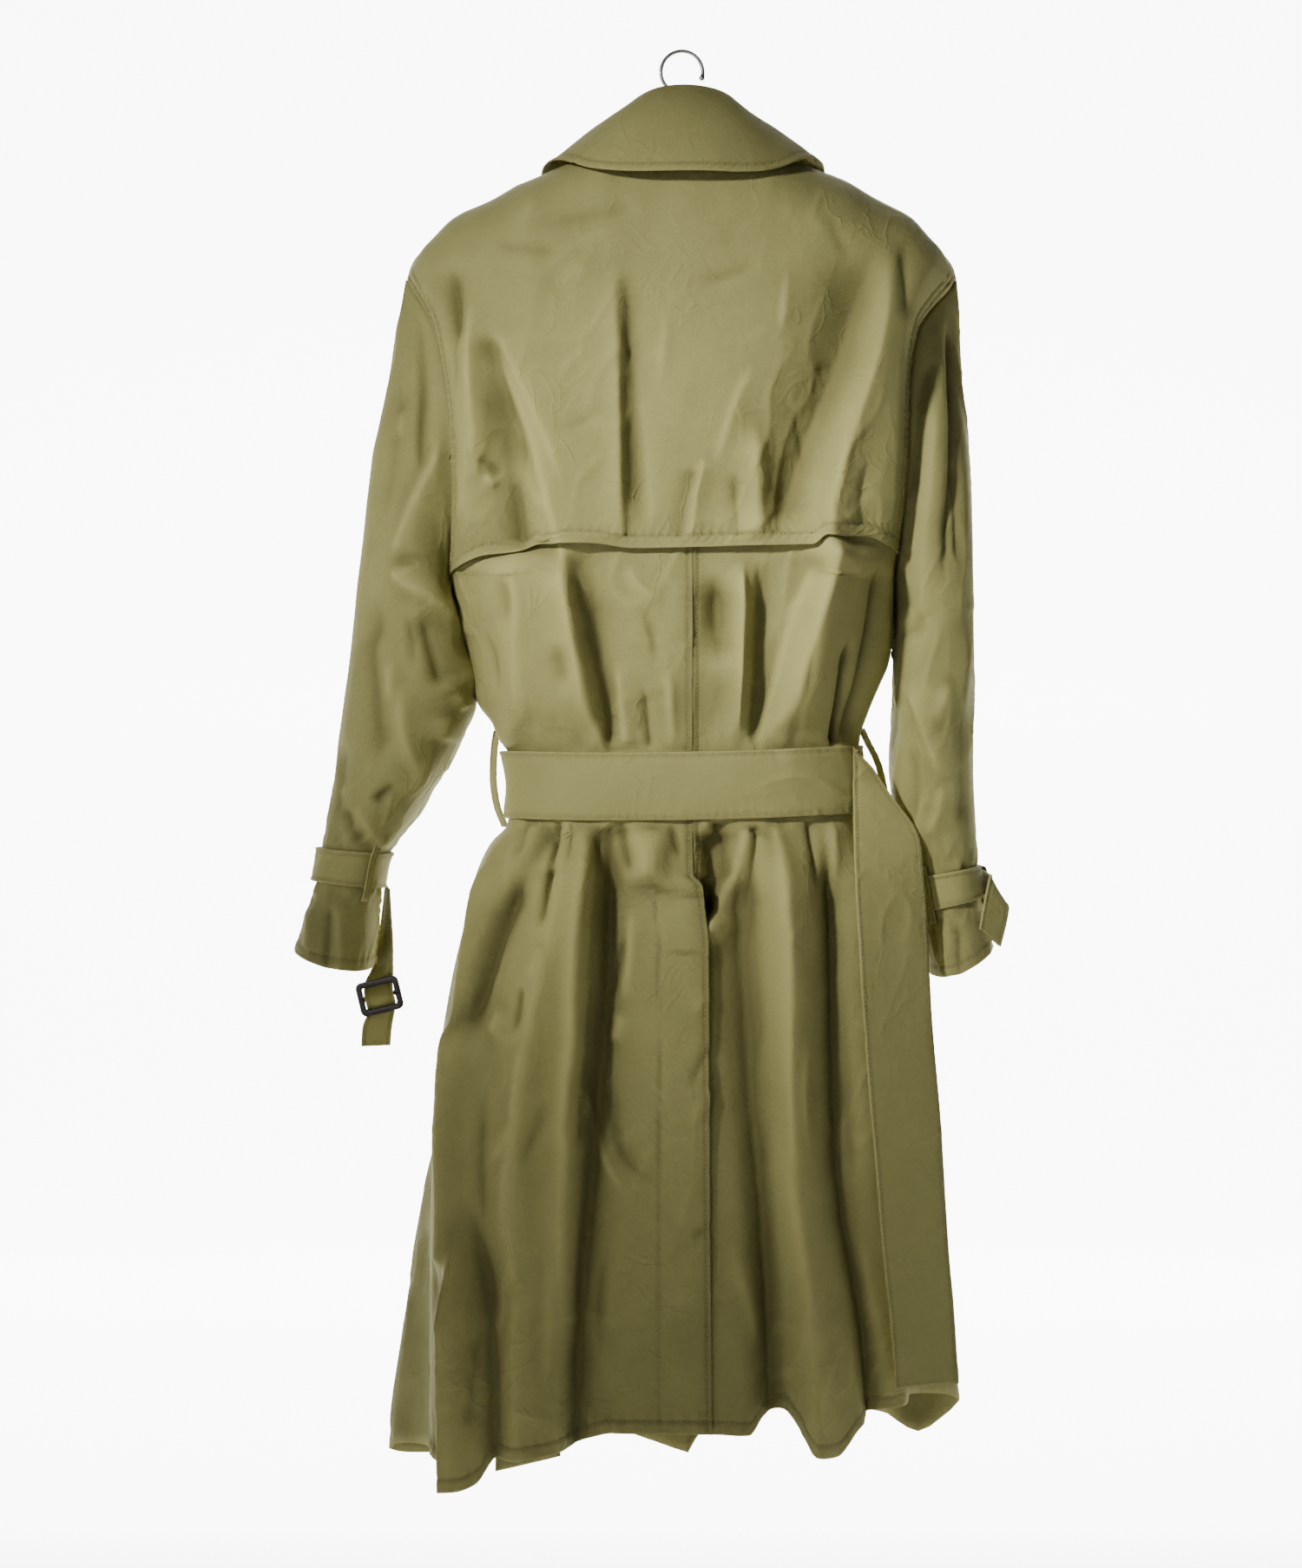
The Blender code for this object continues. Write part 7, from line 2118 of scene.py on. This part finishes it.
@dataclass
class Belt:
    """The tie belt: the stretch across the back, its two ends and the loops at the side seams."""

    form: BodyForm
    clearance: float = 4.2
    cells: tuple[int, int] = (30, 230)
    hem: float = 2.6
    loop_turn: float = 3.2
    waist: Shell | None = None
    ends: list[Strip] = field(default_factory=list)
    loops: list[Strip] = field(default_factory=list)

    def crossing(self, patch: tuple[Grid, Grid], height: float) -> tuple[Grid, Grid]:
        """Where each column of a patch crosses a height, with the normals there."""
        found = [[], []]
        for column in range(patch[0].shape[1]):
            heights = patch[0][::-1, column, 2]
            for kept, grid in zip(found, patch):
                kept.append([np.interp(height, heights, grid[::-1, column, axis]) for axis in range(3)])
        return np.array(found[0]), np.array(found[1])

    def shape(self) -> "Belt":
        """Lays out the belt, its ends and its loops."""
        levels = np.concatenate([np.linspace(0, 1, 14), 1 + np.linspace(0, 1, 40)[1:]])[:, None]
        ways, coarse = self.form.ways(18), self.form.coarse_fold
        front = self.form.front(Side.LEFT, self.form.ways(9), levels, finest=coarse)
        left = self.form.patch(Face.BACK, Side.LEFT, ways, levels, finest=coarse)
        right = self.form.patch(Face.BACK, Side.RIGHT, ways, levels, finest=coarse)
        stretches = ([grid[:, -3:-1] for grid in front[:2]], [grid[:, ::-1] for grid in left[:2]],
                     [grid[:, 1:-1] for grid in right[:2]])
        rows, facings = [], []
        for part in (0.5, 0, -0.5):
            crossings = [self.crossing(patch, BELT_MIDDLE + part * BELT_HEIGHT) for patch in stretches]
            points, normals = (np.concatenate([crossing[k] for crossing in crossings]) for k in (0, 1))
            normals = unit(normals * np.array([1.0, 1.0, 0]))
            points = points + normals * self.clearance
            droop = BELT_DROOP * (1 - (points[:, 0] / 150) ** 2)
            points[:, 2] = BELT_MIDDLE + part * BELT_HEIGHT - droop - BELT_SLOPE * points[:, 0]
            rows.append(points)
            facings.append(normals)
        points, facing = refined(np.array(rows), *self.cells), unit(refined(np.array(facings), *self.cells))
        shell = Shell("belt_waist", points, facing, thickness=2.0)
        across = np.linspace(-1, 1, self.cells[0])[:, None]
        shell.raised(1.2 * (1 - across**2) + 1.7 * crumple(points * np.array([0.5, 1, 1]), 121))
        for edge, seed in ((Edge.TOP, 123), (Edge.BOTTOM, 125)):
            shell.hemmed(edge, self.hem, seed, pucker=0.22, pitch=8.0)
        self.waist = shell
        for word, line, seed in (("right", RIGHT_BELT_END, 3), ("left", LEFT_BELT_END, 4)):
            end = Strip(f"belt_end_{word}", line, (230, 30), hem=self.hem, cup=1.0, seed=seed)
            self.ends.append(end.shape())
        half = BELT_LOOP_DEPTH / 2
        for word, line, seed in (("left", LEFT_BELT_LOOP, 5), ("right", RIGHT_BELT_LOOP, 6)):
            turned = math.copysign(self.loop_turn, line[0][0])
            rows = [(x + turned / 4, -half, z, x - turned, half, z) for x, z in line]
            loop = Strip(f"belt_loop_{word}", rows, (70, 12), 2.6, hem=1.8, crumpled=0.1, seed=seed)
            self.loops.append(loop.shape())
        return self

    def dress(self, wardrobe: Wardrobe) -> None:
        """Builds every piece of the belt."""
        dress(self.waist, wardrobe.belting)
        for strip in (*self.ends, *self.loops):
            dress(strip.shell, wardrobe.belting)

    def stitch(self) -> list[Stitching]:
        """The rows along the edges and across the ends."""
        sewn = Stitching("belt_stitches")
        for edge in (Edge.TOP, Edge.BOTTOM):
            sewn.sew(self.waist.line(edge, self.hem))
        for strip in self.ends:
            strip.stitch_rows(sewn)
        for strip in self.loops:
            strip.stitch_rows(sewn, end_row=False)
        return [sewn]


# ---------------------------------------------------------------- hard pieces


def fasten(name: str, build: bmesh.types.BMesh, finish: Finish,
           replaced: str | None = None) -> bpy.types.Object:
    """Makes a hard piece from a bmesh and fixes it to the coat.

    Args:
        name: the piece's name.
        build: its mesh in metres, in place.
        finish: its material.
        replaced: the CAD node that it stands for.

    Returns:
        The object.
    """
    bmesh.ops.recalc_face_normals(build, faces=build.faces)
    mesh = bpy.data.meshes.new(f"{name}_dressed")
    build.to_mesh(mesh)
    build.free()
    mesh.shade_smooth()
    mesh.set_sharp_from_angle(angle=math.radians(50))
    mesh.materials.append(finish)
    piece = add_object(f"{name}_dressed", mesh)
    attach(piece, BODY)
    if replaced:
        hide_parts(replaced)
    LOG.info("%s: %d faces", name, len(mesh.polygons))
    return piece


@dataclass
class Slider:
    """A four-sided strap slider: a rounded frame with two slots and a middle bar."""

    name: str
    place: Rows
    width: float = SLIDER_WIDTH
    height: float = SLIDER_HEIGHT
    thickness: float = SLIDER_THICKNESS
    rail: float = SLIDER_RAIL
    bar: float = SLIDER_BAR
    corner: float = SLIDER_CORNER
    slot_corner: float = 2.0
    rim: float = 0.8

    def dress(self, wardrobe: Wardrobe) -> None:
        """Builds the slider from a plate of cells whose slots are taken out."""
        build = bmesh.new()
        bmesh.ops.create_grid(build, x_segments=3, y_segments=5, size=0.5)
        half_w, half_h = self.width / 2, self.height / 2
        across = (-half_w, self.rail - half_w, half_w - self.rail, half_w)
        up = (-half_h, self.rail - half_h, -self.bar / 2, self.bar / 2, half_h - self.rail, half_h)
        for corner in build.verts:
            place = (across[round((corner.co.x + 0.5) * 3)], up[round((corner.co.y + 0.5) * 5)])
            corner.co = Vector((*place, -self.thickness / 2))
        slots = [face for face in build.faces
                 if abs(face.calc_center_median().x) < half_w - self.rail
                 and self.bar / 2 < abs(face.calc_center_median().y) < half_h - self.rail]
        bmesh.ops.delete(build, geom=slots, context="FACES")
        raised = bmesh.ops.extrude_face_region(build, geom=build.faces[:])["geom"]
        bmesh.ops.translate(build, vec=(0, 0, self.thickness), verts=fresh_corners(raised))
        bmesh.ops.recalc_face_normals(build, faces=build.faces)
        for radius, outer in ((self.corner, True), (self.slot_corner, False)):
            uprights = [edge for edge in build.edges
                        if self.is_upright(edge) and self.is_outer(edge) is outer]
            self.round_off(build, uprights, radius, 5)
        rims = [edge for edge in build.edges
                if len(edge.link_faces) == 2 and edge.calc_face_angle(0) > CORNER_ANGLE]
        self.round_off(build, rims, self.rim, 3)
        centre, across_way, up_way = (Vector(part) for part in self.place)
        across_way, up_way = across_way.normalized(), up_way.normalized()
        turn = Matrix((across_way, up_way, across_way.cross(up_way))).transposed().to_4x4()
        whole = Matrix.Scale(MM, 4) @ Matrix.Translation(centre) @ turn
        bmesh.ops.transform(build, matrix=whole, verts=build.verts)
        fasten(self.name, build, wardrobe.horn, self.name)

    def round_off(self, build: bmesh.types.BMesh, edges: list[bmesh.types.BMEdge], radius: float,
                  segments: int) -> None:
        """Rounds edges of the slider."""
        bmesh.ops.bevel(build, geom=edges, offset=radius, affect="EDGES", segments=segments,
                        profile=0.5, material=-1)

    def is_upright(self, edge: bmesh.types.BMEdge) -> bool:
        """Whether an edge runs through the plate's thickness and turns a corner."""
        first, second = (end.co for end in edge.verts)
        upright = (first - second).xy.length < 1e-4 and abs(first.z - second.z) > 1e-4
        return upright and edge.calc_face_angle(0) > CORNER_ANGLE

    def is_outer(self, edge: bmesh.types.BMEdge) -> bool:
        """Whether an edge stands at one of the frame's four corners."""
        middle = (edge.verts[0].co + edge.verts[1].co) / 2
        return abs(abs(middle.x) - self.width / 2) < 0.1 and abs(abs(middle.y) - self.height / 2) < 0.1


@dataclass
class FrontButtons:
    """Turned buttons with a raised rim, sewn on the right front with crossed thread."""

    fronts: FrontPanels
    profile: tuple[tuple[float, float], ...] = (
        (0.0, 2.4), (6.6, 2.4), (8.4, 3.0), (9.6, 4.1), (10.8, 4.3),
        (11.8, 3.8), (12.5, 2.6), (12.2, 1.2), (11.2, 0.2), (0.0, 0.0))
    sides: int = 36
    thread: Triple = (3.1, 0.6, 0.5)
    thread_height: float = 2.6

    def dress(self, wardrobe: Wardrobe) -> None:
        """Builds every button and its thread."""
        for number, (across, height, lift) in enumerate(BUTTONS, 1):
            (point,), (normal,) = self.fronts.places(Side.RIGHT, across, height)
            place = Matrix.Translation(Vector((point + normal * (lift + 0.6)) * MM))
            turn = Vector(normal).to_track_quat("Z", "Y").to_matrix().to_4x4()
            whole = place @ turn @ Matrix.Scale(MM, 4)
            build = bmesh.new()
            bmesh.ops.create_grid(build, x_segments=len(self.profile) - 1, y_segments=1, size=0.5)
            bmesh.ops.delete(build, geom=[end for end in build.verts if end.co.y > 0], context="VERTS")
            for end in sorted(build.verts, key=lambda vert: vert.co.x):
                x, z = self.profile[round((end.co.x + 0.5) * (len(self.profile) - 1))]
                end.co = Vector((x, 0, z))
            bmesh.ops.spin(build, geom=build.verts[:] + build.edges[:], cent=(0, 0, 0), axis=(0, 0, 1),
                           angle=math.tau, steps=self.sides, use_merge=True)
            bmesh.ops.remove_doubles(build, verts=build.verts, dist=1e-4)
            bmesh.ops.transform(build, matrix=whole, verts=build.verts)
            fasten(f"button_{number}", build, wardrobe.horn, f"button_{number}")
            thread = bmesh.new()
            for angle in (math.pi / 4, 3 * math.pi / 4):
                turned = Matrix.Translation((0, 0, self.thread_height)) @ Matrix.Rotation(angle, 4, "Z")
                bar = whole @ (turned @ Matrix.Diagonal((*self.thread, 1)))
                bmesh.ops.create_uvsphere(thread, u_segments=12, v_segments=6, radius=1.0, matrix=bar)
            fasten(f"button_thread_{number}", thread, wardrobe.thread)


@dataclass
class Hanger:
    """A round bar under the shoulders and a wire hook whose inside top is the origin."""

    reach: float = 196.0
    radius: float = 5.0
    neck_height: float = -76.0
    neck_half: float = 72.0
    neck_rise: float = 4.0
    clear: float = 5.3
    hook_inside: float = 16.0
    wire: float = 1.6
    stem: float = 8.0
    turn: float = 205.0

    def bar_path(self) -> Grid:
        """The bar's middle line, bowed up to the hook."""
        across = np.linspace(-self.reach, self.reach, 97)
        away = np.abs(across)
        under = along(SHOULDER_LINE["across"], SHOULDER_LINE["height"], away) - self.radius - self.clear
        rise = under[away.argmin()] - self.neck_height - self.neck_rise
        neck = self.neck_height + (away / self.neck_half) ** 2 * rise
        height = np.where(away < self.neck_half, neck, under)
        height = np.minimum(height, np.where(away > self.neck_half - 12, under, self.neck_height))
        for _ in range(4):
            height = np.convolve(np.pad(height, 1, mode="edge"), (0.25, 0.5, 0.25), mode="valid")
        return np.stack([across, 0 * across, height], axis=-1)

    def hook_path(self) -> Grid:
        """The wire's middle line."""
        reach = self.hook_inside + self.wire
        foot, top = self.neck_height + self.radius - 1.5, -self.hook_inside - reach - self.stem
        stem = [(0.0, 0.0, z) for z in np.linspace(foot, top, 6)]
        angles = np.radians(np.linspace(-90, self.turn, 72))
        bend = [(reach * math.cos(a), 0.0, reach * math.sin(a) - self.hook_inside) for a in angles]
        return smoothed_path(np.array(stem + bend))

    def tube(self, path: Grid, radius: Grid, around: int = 20) -> bmesh.types.BMesh:
        """A round bar along a path in the plane y = 0: a circle extruded from point to point and closed.

        Args:
            path: its middle line.
            radius: its radius at each point of the path.
            around: how many sides it has.

        Returns:
            The bmesh, in metres.
        """
        build = bmesh.new()
        runs = unit(np.gradient(path, axis=0))
        ring = bmesh.ops.create_circle(build, cap_ends=False, radius=1.0, segments=around)["verts"]
        flat = [end.co.copy() for end in ring]
        edges = build.edges[:]
        for count, (place, run, size) in enumerate(zip(path, runs, radius)):
            if count:
                found = bmesh.ops.extrude_edge_only(build, edges=edges)["geom"]
                edges = [item for item in found if isinstance(item, bmesh.types.BMEdge)]
                order = {tuple(end.co): index for index, end in enumerate(ring)}
                ring = sorted(fresh_corners(found), key=lambda end: order[tuple(end.co)])
            side = np.array([-run[2], 0.0, run[0]])
            for end, spot in zip(ring, flat):
                end.co = Vector((place + (side * spot.x + np.array([0.0, 1.0, 0.0]) * spot.y) * size) * MM)
        open_ends = [edge for edge in build.edges if len(edge.link_faces) == 1]
        bmesh.ops.holes_fill(build, edges=open_ends, sides=0)
        return build

    def dress(self, wardrobe: Wardrobe) -> None:
        """Builds the bar and the hook."""
        path = self.bar_path()
        from_end = self.reach - np.abs(path[:, 0])
        radius = self.radius * np.sqrt(np.clip(1 - (1 - np.clip(from_end / 5, 0, 1)) ** 2, 0.02, 1))
        fasten("hanger_bar", self.tube(path, radius), wardrobe.wood, "hanger_bar")
        wire = self.hook_path()
        ball = 1 + 0.55 * bell(np.arange(len(wire)) - len(wire) + 3, 1.6)
        radius = self.wire * np.where(np.arange(len(wire)) == len(wire) - 1, 0.3, ball)
        fasten("hanger_hook", self.tube(wire, radius, 16), wardrobe.wire, "hanger_hook")


def smoothed_path(path: Grid) -> Grid:
    """The path with its inner points averaged once with their neighbours."""
    path = path.copy()
    path[1:-1] = (path[:-2] + 2 * path[1:-1] + path[2:]) / 4
    return path


# ---------------------------------------------------------------- studio


@dataclass
class Studio:
    """A pale sweep of floor and wall, soft lights and the camera behind the coat."""

    floor: float = -1.46
    front: float = 6.0
    wall: float = -3.6
    width: float = 14.0
    height: float = 4.0
    curve: float = 1.0
    shares: tuple[float, float] = (0.45, 0.75)
    glow: float = 8.0
    eye: Triple = (0.0259, 2.5, -0.6139)
    lens: float = 82.27

    def sweep(self) -> None:
        """Builds the floor that curves up into a wall."""
        build = bmesh.new()
        bmesh.ops.create_grid(build, x_segments=8, y_segments=48, size=0.5)
        flat_end, curve_end = self.shares
        for spot in build.verts:
            way = spot.co.y + 0.5
            x = spot.co.x * self.width
            y, z = self.wall, self.floor
            if way < flat_end:
                y = self.front + (self.wall + self.curve - self.front) * way / flat_end
            elif way < curve_end:
                angle = (way - flat_end) / (curve_end - flat_end) * math.pi / 2
                y += self.curve * (1 - math.sin(angle))
                z += self.curve * (1 - math.cos(angle))
            else:
                z += self.curve + (way - curve_end) / (1 - curve_end) * self.height
            spot.co = Vector((x, y, z))
        bmesh.ops.recalc_face_normals(build, faces=build.faces)
        mesh = bpy.data.meshes.new("studio_sweep")
        build.to_mesh(mesh)
        build.free()
        mesh.shade_smooth()
        made, tree, shader = start_material("studio_paper")
        shader.inputs["Base Color"].default_value = (0.82, 0.82, 0.81, 1)
        shader.inputs["Roughness"].default_value = 0.95
        place = tree.nodes.new("ShaderNodeSeparateXYZ")
        link(tree, object_place(tree), place.inputs["Vector"])
        behind = mapped(tree, place.outputs["Y"], -0.15, -0.9, 0, self.glow)
        middle = mapped(tree, math_node(tree, "ABSOLUTE", place.outputs["X"], 0.0), 3.2, 2.0, 0, 1)
        shader.inputs["Emission Color"].default_value = (1, 1, 1, 1)
        link(tree, multiplied(tree, behind, middle), shader.inputs["Emission Strength"])
        mesh.materials.append(made)
        sweep = add_object("studio_sweep", mesh)

    def lamp(self, name: str, place: Triple, aim: Triple, size: float, power: float, spread: float) -> None:
        """Places one soft square lamp."""
        data = bpy.data.lights.new(name, "AREA")
        data.shape, data.size, data.energy, data.spread = "SQUARE", size, power, math.radians(spread)
        lamp = add_object(name, data)
        lamp.location = place
        lamp.rotation_euler = (Vector(aim) - Vector(place)).to_track_quat("-Z", "Y").to_euler()

    def build(self) -> None:
        """Sets up the sweep, the lamps, the sky and the camera."""
        self.sweep()
        self.lamp("key", (1.2, 1.6, 0.35), (-0.12, 0.05, -0.45), 0.2, 1.85, 29.5)
        self.lamp("fill", (0.7, 2.3, -0.5), (0.0, 0.05, -0.7), 0.4, 3.3, 120.0)
        world = bpy.data.worlds.new("studio_sky")
        world.use_nodes = True
        sky = world.node_tree.nodes["Background"]
        sky.inputs["Color"].default_value = (1.0, 0.99, 0.97, 1)
        sky.inputs["Strength"].default_value = 0.035
        bpy.context.scene.world = world
        data = bpy.data.cameras.new("camera")
        data.lens, data.sensor_width, data.sensor_fit = self.lens, 36.0, "HORIZONTAL"
        camera = add_object("camera", data)
        camera.location = self.eye
        camera.rotation_euler = (math.pi / 2, 0.0, math.pi)
        bpy.context.scene.camera = camera


# ---------------------------------------------------------------- start


def main() -> None:
    """Builds and dresses the coat piece by piece, then sets up the studio."""
    wardrobe, form = Wardrobe(), BodyForm()
    fronts = FrontPanels(form).shape()
    cloth = [
        BackPanels(form).shape(),
        StormFlap(form).shape(),
        fronts,
        Collar(form).shape(),
        Sleeve(form, Side.LEFT, LEFT_SLEEVE, LEFT_SLEEVE_CREASES, 2.25, 1.0).shape(),
        Sleeve(form, Side.RIGHT, RIGHT_SLEEVE, RIGHT_SLEEVE_CREASES, 2.3, 0.2).shape(),
        StrapEnds(),
        Belt(form).shape(),
    ]
    for part in cloth:
        part.dress(wardrobe)
        for sewn in part.stitch():
            rows = sewn.build(wardrobe.thread)
            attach(rows, BODY)
            LOG.info("%s: %d rows", sewn.name, len(sewn.rows))
    hard = [
        Slider("slider_left", LEFT_SLIDER),
        Slider("slider_right", RIGHT_SLIDER),
        FrontButtons(fronts),
        Hanger(),
    ]
    for part in hard:
        part.dress(wardrobe)
    Studio().build()


if __name__ == "__main__":
    main()
